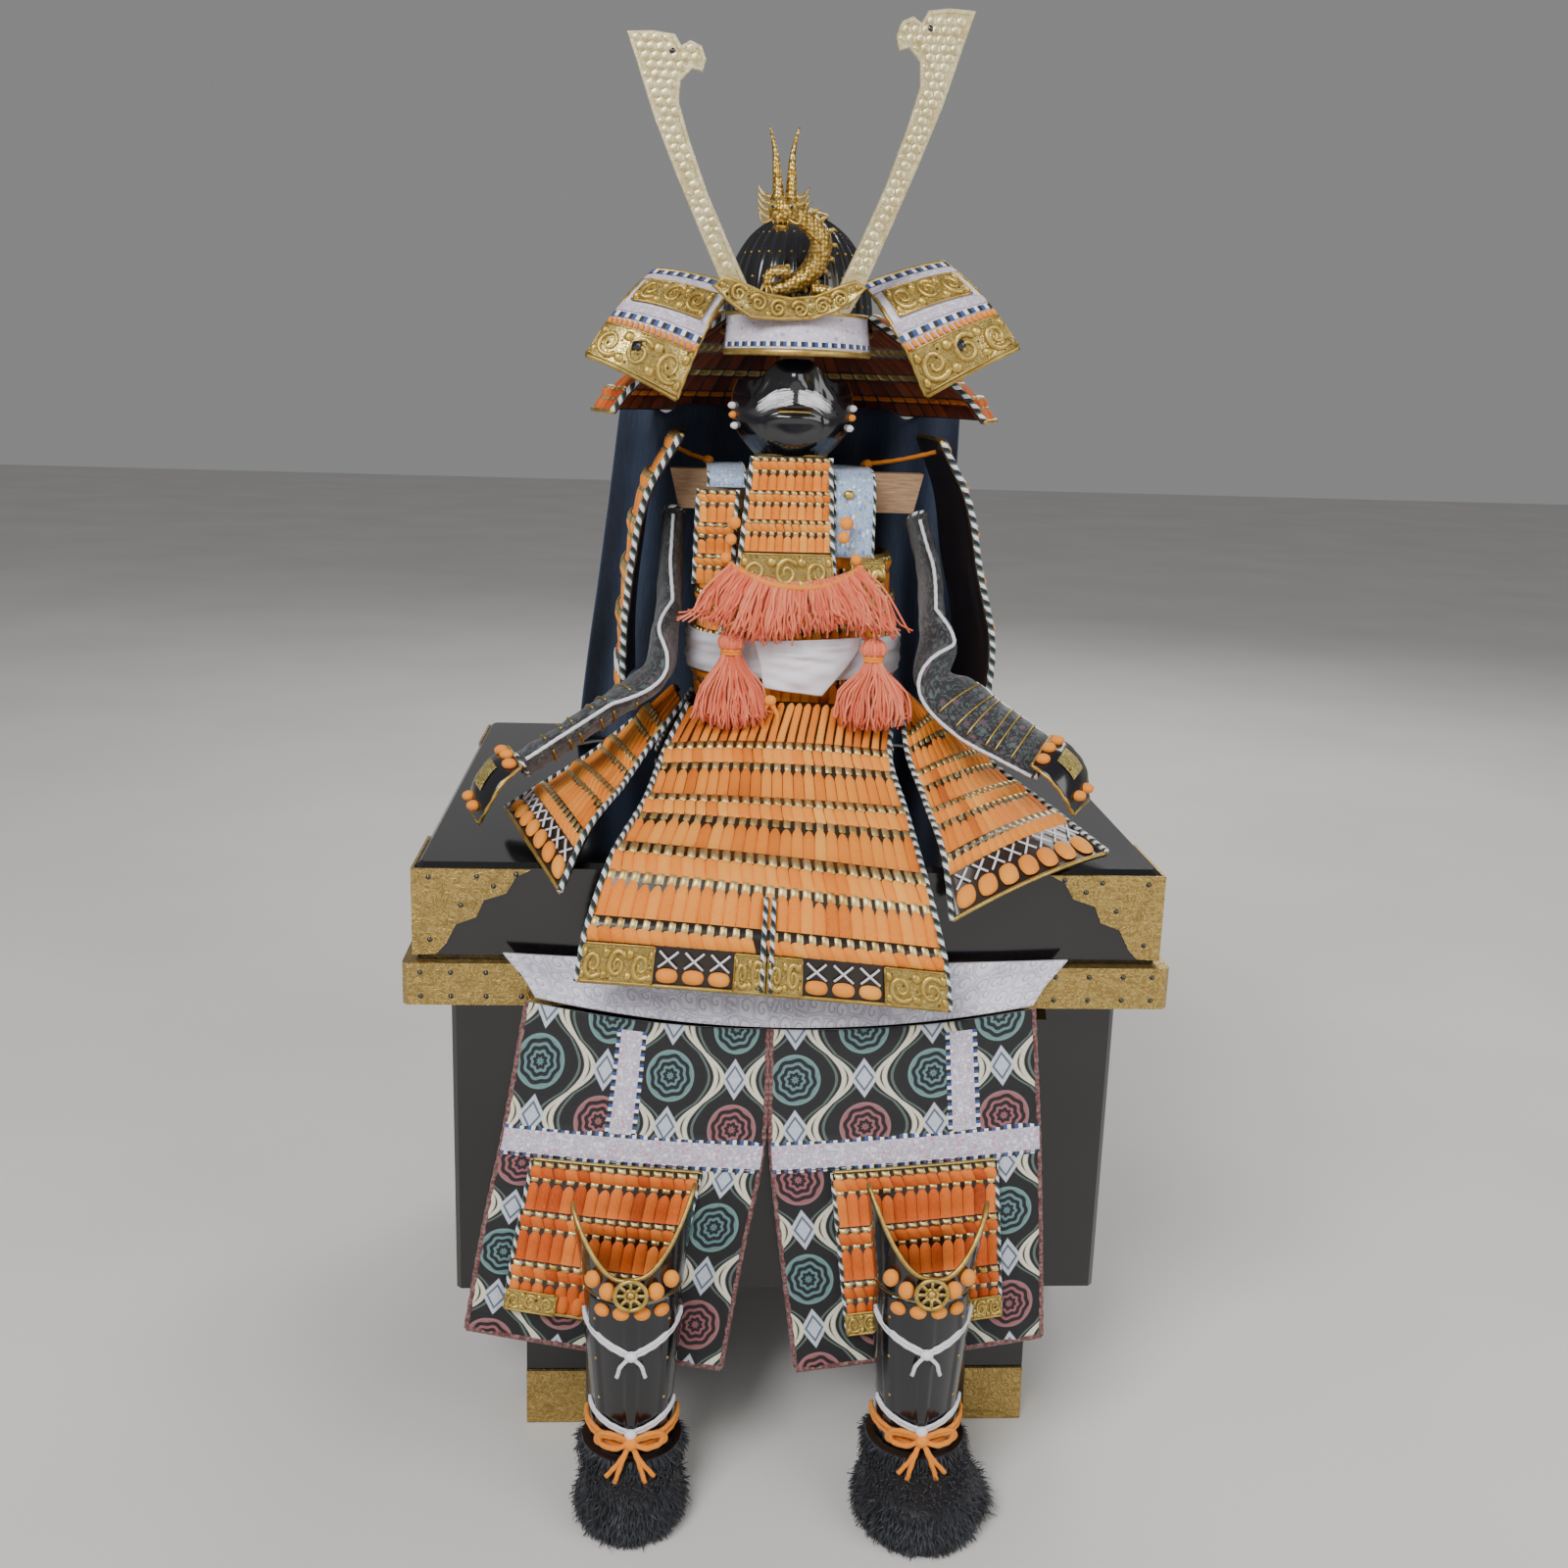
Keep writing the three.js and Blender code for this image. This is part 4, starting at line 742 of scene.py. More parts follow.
def mask_lacquer():
    p = Paint("mask_lacquer")
    at = p.vector(*p.place())
    smear = p.noise(at, 0.08, 3)
    return p.finish(p.blend(smear.step(0.35, 0.7), "#08080b", "#15151c"), smear * 0.1 + 0.14, 0.0,
                    p.noise(at, 0.25, 2), 0.06, **{"Coat Weight": 0.7, "Coat Roughness": 0.06})


MAROON = silk_cord("maroon_silk", "#2c0f0a", "#6e2c16", "#9a4a26", 0.05)
ORANGE = silk_cord("orange_silk", "#a0400a", "#ee8420", "#ffb24a", 0.08)
DEEP = silk_cord("deep_orange_silk", "#74240a", "#d45a14", "#f58b34", 0.08)
SALMON = silk_cord("salmon_silk", "#b03a20", "#f0704e", "#ffa07c", 0.15)
WHITE_CORD = silk_cord("white_cord", "#8d8a96", "#e4e2ea", "#ffffff", 0.3)
GILT = gilt("gilt_scale", "#b38b3c", "#f0dca0")
RIM = gilt("gilt_rim", "#8c6a2a", "#dcc070")
RELIEF = gilt_relief("gilt_relief", "#8d6d28", "#e6d083")
PLATE = lacquer("scale_lacquer", "#1d130d", "#33210f", 0.3, 0.3)
BLACK = lacquer("black_lacquer", "#0b0b0f", "#17171d")
INNER = lacquer("inner_lacquer", "#241813", "#38271c", 0.4, 0.2)
NAVY = navy_twill()
SILK = white_silk()
SWIRL = swirl_cloth()
LAVENDER = lavender_brocade()
BROCADE = thigh_brocade()
STRAP = strap_brocade()
SLEEVE = sleeve_brocade()
BRAID = braid_edge()
LEATHER = printed_leather()
HORN_FACE = gilt("horn_face", "#bda362", "#efe3b6", 0.3)
HORN_RIM = gilt("horn_rim", "#cdb675", "#fbf2cf", 0.28)
DRAGON = gilt_scales()
WOOD = wood()
FUR = hair("fur", "#08090d", "#2c303c", 0.6)
WHITE_HAIR = hair("white_hair", "#b9bcc8", "#ffffff")
MASK = mask_lacquer()


def bound_edge(name, color, other):
    p = Paint(name)
    s, t = p.uv()
    mottle = p.noise(p.vector(s, t * 4), 0.7, 3)
    return p.finish(p.blend(mottle.step(0.4, 0.65), color, other), 0.7, 0.0, mottle, 0.2,
                    **{"Sheen Weight": 0.2})


BINDING = bound_edge("red_brown_binding", "#5b2c2c", "#8c6a66")


# The chest and stand keep their solids, with bevelled edges

def dress(name, material, bevel):
    node = nodes[name]
    node.data.materials.clear()
    node.data.materials.append(material)
    made = node.modifiers.new("edge", "BEVEL")
    made.width, made.segments, made.limit_method = bevel * MM, 3, "ANGLE"
    made.angle_limit = math.radians(25)
    made.harden_normals = False


def rivets(piece, places, radius, look):
    """Domed nails. Each place is a point and the direction it faces."""
    for at, facing in places:
        facing = np.asarray(facing, float)
        tangent = np.cross(facing, (0, 0, 1))
        across = np.cross(facing, tangent)
        turn = np.stack([tangent, across, facing], 1)
        egg(piece, np.asarray(at, float), (radius, radius, radius * 0.6), look, 0.4, 10, 6, turn)


CHEST = {"half": 150.0, "depth": 271.0, "top": 254.0, "ledge_out": 5.3, "ledge_foot": 196.3, "cap_top": 24.0,
         "plate_out": 1.5}
OUT_OF_REACH = 10000


def chest():
    plain = chest_lacquer("lid_lacquer", lambda p, x, y, z: (z - OUT_OF_REACH).step(0, 1))
    lid_edge = CHEST["ledge_foot"] - 0.2

    def on_ledge(p, x, y, z):
        return (z - lid_edge).step(0, 0.2)

    def on_cap(p, x, y, z):
        return 1 - (z - CHEST["cap_top"]).step(-0.1, 0.1)

    dress("chest_lid", plain, 0.8)
    dress("chest_body", chest_lacquer("body_lacquer", on_ledge), 0.6)
    foot_lacquer = chest_lacquer("foot_lacquer", on_cap)
    for name in nodes:
        if name.startswith("leg_"):
            dress(name, foot_lacquer, 0.7)
    plate_gold = chest_lacquer("plate_gold", lambda p, x, y, z: (z + OUT_OF_REACH).step(0, 1))
    for name in nodes:
        if name.startswith("corner_plate"):
            dress(name, plate_gold, 0.25)
    nails = Piece("chest_rivets", BLACK)
    out, half, depth = CHEST["plate_out"], CHEST["half"], CHEST["depth"]
    spots = [(5.5, 5.5), (5.5, 31.5), (18, 17), (24.5, 5), (31, 9), (40, 4)]
    places = []
    for sx in (-1, 1):
        for sy, y in ((-1, 0.0), (1, depth)):
            for far, drop in spots:
                places.append(((sx * (half - far), y + sy * out, CHEST["top"] - drop), (0, sy, 0)))
                places.append(((sx * (half + out), y - sy * far, CHEST["top"] - drop), (sx, 0, 0)))
    ledge = half + CHEST["ledge_out"]
    for sx in (-1, 1):
        for x in (148, 136, 122, 108):
            for z in (200.0, 210.0):
                places.append(((sx * x, -CHEST["ledge_out"], z), (0, -1, 0)))
        for y in (8, 22, 250, 264):
            for z in (200.0, 210.0):
                places.append(((sx * ledge, y, z), (sx, 0, 0)))
    rivets(nails, places, 1.1, 0)
    nails.build("gilt")


def stand():
    for name in ("stand_post", "stand_crossbar"):
        dress(name, WOOD, 0.8)


# Laced scales

ROW_AT, ROW_HIGH = (0, 0.16, 0.3, 0.97), (2.8, 3.2, 2.1, 0.9)
TOP_HIGH = 1.6


def row_height(starts):
    """Height of the plates' face over the inside, at any v: a step out at each row's head."""
    starts = np.asarray(starts, float)

    def at(v):
        i = np.clip(np.searchsorted(starts, v, side="right") - 1, 0, len(starts) - 2)
        t = np.clip((v - starts[i]) / (starts[i + 1] - starts[i]), 0, 1)
        high = np.interp(t, ROW_AT, ROW_HIGH)
        return np.where(v < starts[0], TOP_HIGH, high)

    return at


def laced(piece, surface, starts, counts, looks, lead=0.0, bare=None, style="long", slant=0.35, rise=1.0):
    """Rows of scales: gilt heads, knotted bumps, gilt bars and a band of flat cords.

    looks holds gilt, cord, plate and inside. bare is a row without scales. lead is how far a top row of cords
    reaches down.
    """
    gold, cord, plate, inside = looks
    base = row_height(starts)
    vs = [0.0]
    for v0, v1 in zip(starts[:-1], starts[1:]):
        vs += [v0 - 1e-4] if v0 > 0.01 else []
        vs += [mix(v0, v1, t) for t in (1e-3, 0.16, 0.3, 0.6, 0.97)]
    vs = np.array(sorted(set(vs + [1.0])))
    wall(piece, surface, spread(max(counts)), vs, lambda u, v: base(v), 0.0, plate, inside)
    parts = {
        "long": {"head": (-0.02, 0.17), "bump": (0.13, 0.40), "bar": (0.36, 0.52), "band": (0.47, 1.02)},
        "thigh": {"head": (-0.03, 0.13), "bump": (0.1, 0.36), "bar": (0.34, 0.44), "band": (0.4, 1.02)},
    }[style]
    for row, (v0, v1) in enumerate(zip(starts[:-1], starts[1:])):
        if row == bare:
            continue
        count = counts[row]
        for k in range(count):
            middle = (k + 0.5) / count
            half = 0.5 / count
            tone_and_light = 0.5 + 0.22 * rng.standard_normal()
            at = {name: (mix(v0, v1, a), min(mix(v0, v1, b), 1.0)) for name, (a, b) in parts.items()}
            pad(piece, surface, (middle - 0.74 * half, middle + 0.74 * half), at["head"], base, 0.95 * rise,
                gold, tone_and_light, (5, 4), 0.3 * half, 0.25)
            pad(piece, surface, (middle - 0.7 * half, middle + 0.7 * half), at["bar"], base, 0.75 * rise,
                gold, tone_and_light, (4, 3))
            wide = half * (1.06 + 0.06 * rng.standard_normal())
            # The knotted bumps get a higher per-point value than the band below them: a painted highlight on
            # the raised cords, over the random tone.
            pad(piece, surface, (middle - wide, middle + wide), at["bump"], base, 1.25 * rise, cord,
                tone_and_light + 0.12, (6, 5), slant * 2 * half, 0.12, (2.0, 2.0))
            jitter = 0.03 * rng.standard_normal()
            pad(piece, surface, (middle - half, middle + half),
                (at["band"][0] + jitter * (v1 - v0), at["band"][1]),
                base, 0.85 * rise, cord, tone_and_light, (6, 5), 0.0, 0.22, (2.2, 8.0), 0.15)
    if lead:
        count = counts[0]
        for k in range(count):
            middle = (k + 0.5) / count
            tone_and_light = 0.35 + 0.2 * rng.standard_normal()
            pad(piece, surface, (middle - 0.45 / count, middle + 0.45 / count), (0.0, lead + 0.01), 1.4, 1.0,
                cord, tone_and_light, (5, 6), 0.15 * rng.standard_normal() / count, 0.1, (2.2, 9.0), 0.2)


def side_braid(piece, surface, u, height, look, radius=1.3, v=(0.0, 1.0), steps=60):
    vs = np.linspace(v[0], v[1], steps)
    path = raised(surface, np.full(steps, u), vs,
                  height(vs) if callable(height) else np.full(steps, float(height)))
    tube(piece, path, radius, look, 0.5, 8, 2, 1.0)


def edge_braids(piece, surface, height, look, radius=1.3, steps=60):
    for u in (0.0, 1.0):
        side_braid(piece, surface, u, height, look, radius, steps=steps)


def foot_rim(piece, surface, v, height, look, radius=0.7, u=(0.0, 1.0), steps=40):
    us = np.linspace(u[0], u[1], steps)
    tube(piece, raised(surface, us, np.full(steps, v), np.full(steps, height)), radius, look, 0.5, 6)


def relief_plate(piece, surface, u, v, height, look, rim):
    """Chased gilt plate with a raised border."""
    wall_us, wall_vs = spread(10, *u), spread(5, *v)
    a, b = grid_of(wall_us, wall_vs)
    piece.grid(raised(surface, a, b, np.full(a.shape, height)), look, None, 0.6)
    corners = surface(np.array([u[0], u[1], u[0]]), np.array([v[0], v[0], v[1]]))
    wide, tall = np.linalg.norm(corners[1] - corners[0]), np.linalg.norm(corners[2] - corners[0])
    curls = max(2, round(wide / (tall * 0.72)))
    for k in range(curls):
        cu, cv, sense = mix(u[0], u[1], (k + 0.5) / curls), mix(v[0], v[1], 0.5), 1 - 2 * (k % 2)
        t = np.linspace(0, 1, 22)
        far, angle = 0.4 - 0.32 * t, sense * (0.6 + TAU * 1.5 * t)
        us = cu + far * np.cos(angle) * (u[1] - u[0]) / curls
        vs = cv + far * np.sin(angle) * (v[1] - v[0])
        tube(piece, raised(surface, us, vs, np.full(22, height + 0.2)), tall * (0.085 - 0.045 * t), rim, 0.85,
             6)
    for k in range(curls + 1):
        for side in (0.2, 0.8):
            cu = mix(u[0], u[1], np.clip(k / curls, 0.06 / curls, 1 - 0.06 / curls))
            pad(piece, surface, (max(cu - 0.17 * (u[1] - u[0]) / curls, u[0]),
                                 min(cu + 0.17 * (u[1] - u[0]) / curls, u[1])),
                (mix(v[0], v[1], side - 0.14), mix(v[0], v[1], side + 0.14)), height, tall * 0.09, rim, 0.8,
                (5, 5), oval=True)
    for k in range(2):
        foot_rim(piece, surface, v[k], height, rim, 0.45, u, 14)
        side_braid(piece, surface, u[k], height, rim, 0.45, v, 8)


def cross_stitches(piece, surface, u, v, height, white, count):
    """Open square crosses of white cord on the dark lacquer."""
    for k in range(count):
        middle = mix(u[0], u[1], (k + 0.5) / count)
        half = (u[1] - u[0]) / count * 0.36
        for sign in (-1, 1):
            ends = [(middle - half, v[0] if sign > 0 else v[1]), (middle + half, v[1] if sign > 0 else v[0])]
            us, vs = (np.linspace(ends[0][i], ends[1][i], 5) for i in range(2))
            tube(piece, raised(surface, us, vs, np.full(5, height + 0.3 + 0.25 * sign)), 0.5, white, 0.6, 5)


def big_bumps(piece, surface, u, v, height, look, count, rise=2.0):
    for k in range(count):
        a = mix(u[0], u[1], (k + 0.08) / count)
        b = mix(u[0], u[1], (k + 0.92) / count)
        pad(piece, surface, (a, b), v, height, rise, look, 0.7 + 0.1 * rng.standard_normal(), (8, 8), 0, 0,
            (2.0, 2.0), oval=True)


LACED = (0, 1, 2, 3)


def laced_piece(name, cord=None):
    return Piece(name, GILT, cord or ORANGE, PLATE, INNER, BRAID, RELIEF, RIM, WHITE_CORD, MAROON, ORANGE)


SKIRT_FRONT = table(
    EDGES, (-42, 77, 303, 46, 77, 302, 8), (-52, 58, 286, 43.5, 58, 284, 7), (-60, 26, 272, 48, 26, 267, 3),
    (-72.5, -11, 258, 53, -13, 245, 3), (-81, -25, 235, 58.5, -25, 223, 3),
    (-84.5, -28, 216, 61, -28, 204.5, 3),
)
SKIRT_RIGHT = table(
    EDGES, (49.5, 74, 302, 53, 118, 302, 6), (51, 55, 287, 79, 98, 287, 5), (55, 28, 274, 96, 78, 274, 3),
    (58, -2, 262, 113, 58, 264, 3), (62, -16, 237, 129, 10, 257, 5),
)
SKIRT_LEFT = table(
    EDGES,
    (-46, 122, 302, -44.5, 80, 303, 6), (-66, 110, 288, -58, 60, 288, 5), (-84, 94, 276, -68, 36, 277, 3),
    (-101, 76, 268, -80, 2, 268, 4), (-119, 55, 260, -91, -16, 246.5, 7),
)
SKIRT_BACK = table(
    EDGES,
    (48, 139, 297, -40, 139, 297, 15), (53, 158, 284, -46, 158, 284, 9), (58, 177, 271, -52, 177, 271, 5),
    (63, 196, 254.7, -58, 196, 254.7, 2),
)


def skirt_front():
    surface = sheet_surface(SKIRT_FRONT, (0, -1, 0.6))
    starts = (0.17, 0.375, 0.545, 0.75, 1.0)
    piece = laced_piece("skirt_front_laced")
    split = 0.5

    laced(piece, surface, starts, (23, 25, 27, 29), LACED, lead=0.17, bare=3)
    base = row_height(starts)
    v0, v1 = starts[3], starts[4]
    count = 28
    for k in range(count):
        middle, half = (k + 0.5) / count, 0.5 / count
        if abs(middle - split) < half:
            continue
        tone_and_light = 0.5 + 0.2 * rng.standard_normal()
        pad(piece, surface, (middle - 0.62 * half, middle + 0.62 * half), (v0 - 0.005, v0 + 0.04), base, 0.55,
            0, tone_and_light, (4, 3), 0, 0.25)
        # The knotted bumps get a higher per-point value: a painted highlight on the raised cords.
        pad(piece, surface, (middle - 1.05 * half, middle + 1.05 * half), (v0 + 0.03, v0 + 0.085), base, 1.2,
            1, tone_and_light + 0.1, (6, 4), 0.7 * half, 0.1, (2.0, 2.0))
    zones = ((0.0, 0.2, "gold"), (0.2, 0.41, "dark"), (0.41, 0.5, "gold"), (0.5, 0.6, "gold"),
             (0.6, 0.82, "dark"), (0.82, 1.0, "gold"))
    for a, b, kind in zones:
        if kind == "gold":
            relief_plate(piece, surface, (a + 0.004, b - 0.004), (v0 + 0.09, v1 - 0.005), 3.1, 5, 6)
        else:
            cross_stitches(piece, surface, (a, b), (v0 + 0.1, v0 + 0.165), 2.6, 7, 3)
            big_bumps(piece, surface, (a, b), (v0 + 0.17, v1 - 0.015), 2.2, 1, 3)
    edge_braids(piece, surface, 2.6, 4)
    for sign in (-1, 1):
        side_braid(piece, surface, split + 0.012 * sign, 3.4, 4, 1.1, (0.66, 0.99), 24)
    foot_rim(piece, surface, 1.0, 1.4, 6, 0.9)
    piece.build("lacing", ["skirt_front"])


def side_skirt(name, edges, out, node):
    surface = sheet_surface(edges, out)
    starts = (0.14, 0.36, 0.57, 0.78, 1.0)
    piece = laced_piece(name)
    laced(piece, surface, starts, (12, 13, 15, 16), LACED, lead=0.14, bare=3)
    base = row_height(starts)
    v0 = starts[3]
    count = 16
    for k in range(count):
        middle, half = (k + 0.5) / count, 0.5 / count
        pad(piece, surface, (middle - 0.6 * half, middle + 0.6 * half), (v0 - 0.005, v0 + 0.035), base, 0.55,
            0, 0.5, (4, 3), 0, 0.25)
        # The knotted bumps get a higher per-point value: a painted highlight on the raised cords.
        pad(piece, surface, (middle - 1.05 * half, middle + 1.05 * half), (v0 + 0.025, v0 + 0.075), base, 1.2,
            1, 0.6, (6, 4), 0.7 * half, 0.1, (2.0, 2.0))
    cross_stitches(piece, surface, (0.03, 0.97), (v0 + 0.08, v0 + 0.13), 2.4, 7, 8)
    big_bumps(piece, surface, (0.03, 0.97), (v0 + 0.13, 0.985), 1.9, 1, 7)
    edge_braids(piece, surface, 2.4, 4)
    foot_rim(piece, surface, 1.0, 1.4, 6, 0.9)
    piece.build("lacing", [node])


def skirt_back():
    surface = sheet_surface(SKIRT_BACK, (0, 1, 0.25))
    starts = (0.18, 0.39, 0.59, 0.8, 1.0)
    piece = laced_piece("skirt_back_laced")
    laced(piece, surface, starts, (20, 22, 23, 24), LACED, lead=0.18, bare=3)
    v0 = starts[3]
    cross_stitches(piece, surface, (0.03, 0.97), (v0 + 0.03, v0 + 0.1), 2.6, 7, 12)
    big_bumps(piece, surface, (0.03, 0.97), (v0 + 0.1, 0.985), 1.9, 1, 11, 1.6)
    edge_braids(piece, surface, 2.4, 4)
    foot_rim(piece, surface, 1.0, 1.2, 6, 0.7)
    piece.build("lacing", ["skirt_back"])


CENTRE = {"torso_x": 4.5, "body_y": 112.0, "helmet_x": 2.0, "helmet_y": 110.0}
TORSO = table(LEVELS, (368, 39, 35.5), (346, 41.5, 37), (324, 42.5, 37.5), (302, 42.5, 37))


def torso_rise(angle):
    return 30 * smoothstep(np.abs(np.cos(angle)), 0.6, 0.92)


def even_rows(count, lead=0.0):
    return tuple(mix(lead, 1.0, k / count) for k in range(count + 1))


def body_armour():
    for name, node, start, end, count in (("torso_laced", "torso", -48, 228, 50),
                                          ("side_plate_laced", "side_plate", -131, -49, 14)):
        surface = ring_surface(CENTRE["torso_x"], CENTRE["body_y"], TORSO, start, end, torso_rise)
        piece = laced_piece(name)
        laced(piece, surface, even_rows(4), (count,) * 4, LACED)
        edge_braids(piece, surface, 2.2, 4)
        us = np.linspace(0, 1, 90)
        tube(piece, raised(surface, us, np.zeros(90), np.full(90, 1.6)), 1.5, 6, 0.5, 8)
        piece.build("lacing", [node])


THROAT = table(
    EDGES, (-17, 74.5, 411, 15, 74.5, 411, 1.5), (-19, 72, 392, 15.6, 72, 392, 2),
    (-21, 68.5, 374, 16.4, 68.5, 374, 2), (-23.5, 66.5, 355, 18.5, 66.5, 355, 2),
)
BREAST_LEFT = table(EDGES, (-39, 78, 397, -23.5, 75, 397, 1), (-40, 77, 357, -25, 71.5, 357, 1))
BREAST_RIGHT = table(EDGES, (25, 72, 369.4, 40, 76, 369.4, 1), (25, 72, 341, 40, 76, 341, 1))


def chest_plates():
    surface = sheet_surface(THROAT, (0, -1, 0.1))
    starts = (0.0, 0.24, 0.46, 0.7, 1.0)
    piece = laced_piece("throat_guard_laced")
    laced(piece, surface, starts, (9, 10, 11, 12), LACED, bare=3)
    relief_plate(piece, surface, (0.02, 0.98), (0.72, 0.99), 3.2, 5, 6)
    edge_braids(piece, surface, 2.4, 4, 1.2)
    foot_rim(piece, surface, 1.0, 1.4, 6, 1.0)
    piece.build("lacing", ["throat_guard"])

    surface = sheet_surface(BREAST_LEFT, (0, -1, 0))
    piece = laced_piece("breast_plate_left_laced")
    laced(piece, surface, (0.0, 0.34, 0.67, 1.0), (4, 4, 4), LACED)
    edge_braids(piece, surface, 2.2, 4, 1.1)
    piece.build("lacing", ["breast_plate_left"])

    surface = sheet_surface(BREAST_RIGHT, (0, -1, 0))
    piece = laced_piece("breast_plate_right_gilt")
    wall(piece, surface, spread(8), spread(8), 2.0, 0.0, 5, 3)
    relief_plate(piece, surface, (0.06, 0.94), (0.05, 0.95), 2.3, 5, 6)
    piece.build("gilt", ["breast_plate_right"])


SHOULDER_LEFT = table(
    EDGES,
    (-46, 154, 418, -46, 80, 418, 3), (-60, 157, 393, -60, 77, 393, 4), (-65, 159, 364, -66, 75, 364, 4),
    (-68, 160, 334, -69, 75, 334, 4), (-68, 160, 305, -69, 75, 305, 4),
)
SHOULDER_RIGHT = table(
    EDGES, (62, 80, 418, 62, 154, 418, 3), (74, 77, 393, 72, 157, 393, 4), (80, 75, 364, 77, 159, 364, 4),
    (87, 75, 334, 84, 160, 334, 4), (86, 75, 305, 83, 160, 305, 4),
)


def shoulder_guards():
    for side, edges, out in (("left", SHOULDER_LEFT, (-1, 0, 0)), ("right", SHOULDER_RIGHT, (1, 0, 0))):
        surface = sheet_surface(edges, out)
        starts = even_rows(6)
        piece = laced_piece(f"shoulder_guard_{side}_laced")
        laced(piece, surface, starts, (17,) * 6, LACED, bare=5)
        v0 = starts[5]
        cross_stitches(piece, surface, (0.03, 0.97), (v0 + 0.02, v0 + 0.07), 2.6, 7, 8)
        big_bumps(piece, surface, (0.03, 0.97), (v0 + 0.07, 0.985), 1.9, 1, 8)
        edge_braids(piece, surface, 2.0, 4, 1.5)
        foot_rim(piece, surface, 1.0, 1.4, 6, 1.0)
        foot_rim(piece, surface, 0.0, 1.4, 6, 1.2)
        piece.build("lacing", [f"shoulder_guard_{side}"])


BOWL = table(LEVELS, (509.5, 3, 3), (507, 11, 12.5), (500, 20, 23), (489, 26.5, 30.5), (476, 29.5, 34),
             (462, 30.5, 35))
VISOR = table(LEVELS, (469, 33.4, 37.9), (464.5, 33.6, 43), (459.5, 34, 48), (453.5, 34.5, 51.5))
NECK = table(LEVELS, (468, 32.8, 37.4), (457, 50, 49), (446, 66, 60), (436, 79, 68), (427, 87, 73))
TURN_LEFT = table(
    EDGES,
    (-59, 90, 485, -25.8, 94, 480, 3), (-68.5, 80, 475, -35, 76, 468, 4), (-78, 73, 462, -43, 70, 452, 5),
    (-86, 70, 450, -50, 68, 434, 5),
)
TURN_RIGHT = table(
    EDGES, (29.3, 94, 482, 61, 90, 492, 3), (36, 76, 471, 72, 80, 482, 4), (46, 70, 455, 82, 73, 470, 5),
    (54, 68, 438, 91, 70, 458, 5),
)


def helmet_bowl():
    surface = ring_surface(CENTRE["helmet_x"], CENTRE["helmet_y"], BOWL)
    piece = Piece("helmet_bowl_ribbed", BLACK, RIM, INNER)
    ribs = 32
    us, vs = spread(ribs * 6), spread(26)

    def ribbed(u, v):
        across = np.abs((u * ribs) % 1 - 0.5)
        return 1.3 + 1.0 * smoothstep(0.2 - across, 0, 0.12) * np.minimum(1, 6 * v)

    wall(piece, surface, us, vs, ribbed, 0.0, 0, 2, wrap=True)
    for k in range(ribs):
        for v in (0.36, 0.52, 0.68, 0.84):
            u = k / ribs
            at = spot(surface, u, v, 1.4)
            facing = normals(surface, np.array(u), np.array(v))
            rivets(piece, [(at, facing)], 0.75, 1)
    x, y = CENTRE["helmet_x"], CENTRE["helmet_y"]
    turn = np.linspace(0, TAU, 49)[:-1]
    for z, radius, thick in ((510.6, 11.0, 1.2), (511.6, 8.2, 1.1), (512.6, 5.4, 1.1)):
        path = np.stack([x + radius * np.cos(turn), y + radius * np.sin(turn), np.full(48, z)], -1)
        tube(piece, np.concatenate([path, path[:1]]), thick, 1, 0.5, 8, closed=True)
    lip = np.linspace(0, 1, 90)
    tube(piece, raised(surface, lip, np.full(90, 1.0), np.full(90, 1.6)), 1.2, 1, 0.5, 8, closed=True)
    piece.build("black_plate", ["helmet_bowl"])


def visor():
    surface = ring_surface(CENTRE["helmet_x"] - 1.5, CENTRE["helmet_y"], VISOR, -58, 58)
    piece = Piece("visor_dressed", LEATHER, BLACK, RIM, LAVENDER, BRAID)
    wall(piece, surface, spread(40), spread(14), 1.6, 0.0, 0, 1, (76, 21))
    us = np.linspace(0, 1, 60)
    tube(piece, raised(surface, us, np.full(60, 1.0), np.full(60, 0.8)), 1.5, 2, 0.6, 10)
    a, b = grid_of(spread(60), np.array([0.8, 0.9]))
    band = raised(surface, a, b, np.full(a.shape, 2.0))
    piece.grid(band, 3, np.stack([a * 78, np.where(b > 0.85, 0.12, 0.02)], -1), 0.5)
    tube(piece, raised(surface, us, np.full(60, 0.03), np.full(60, 1.6)), 0.9, 2, 0.5, 8)
    piece.build("leather", ["visor"])


def neck_guard():
    surface = ring_surface(CENTRE["helmet_x"], CENTRE["helmet_y"], NECK, 62, 298)
    piece = laced_piece("neck_guard_laced", DEEP)
    laced(piece, surface, even_rows(4), (38, 42, 46, 50), LACED)

    def inside(u, v):
        return surface(1 - u, v)

    for row in range(4):
        for k in range(44):
            a, b = (k + 0.04) / 44, (k + 0.96) / 44
            pad(piece, inside, (a, b), ((row + 0.3) / 4, min((row + 0.97) / 4, 0.985)), 0.0, 0.7, 8,
                0.5 + 0.25 * rng.standard_normal(), (4, 4), 0, 0.1, (2.2, 6.0), 0.05)
            pad(piece, inside, (a, b), ((row + 0.02) / 4, (row + 0.26) / 4), 0.0, 0.9, 0 if row < 3 else 9,
                0.2, (4, 4), 0, 0, (2, 2), 0.05)
    edge_braids(piece, surface, 2.0, 4, 1.3)
    foot_rim(piece, surface, 1.0, 1.5, 6, 1.1, steps=120)
    piece.build("lacing", ["neck_guard"])


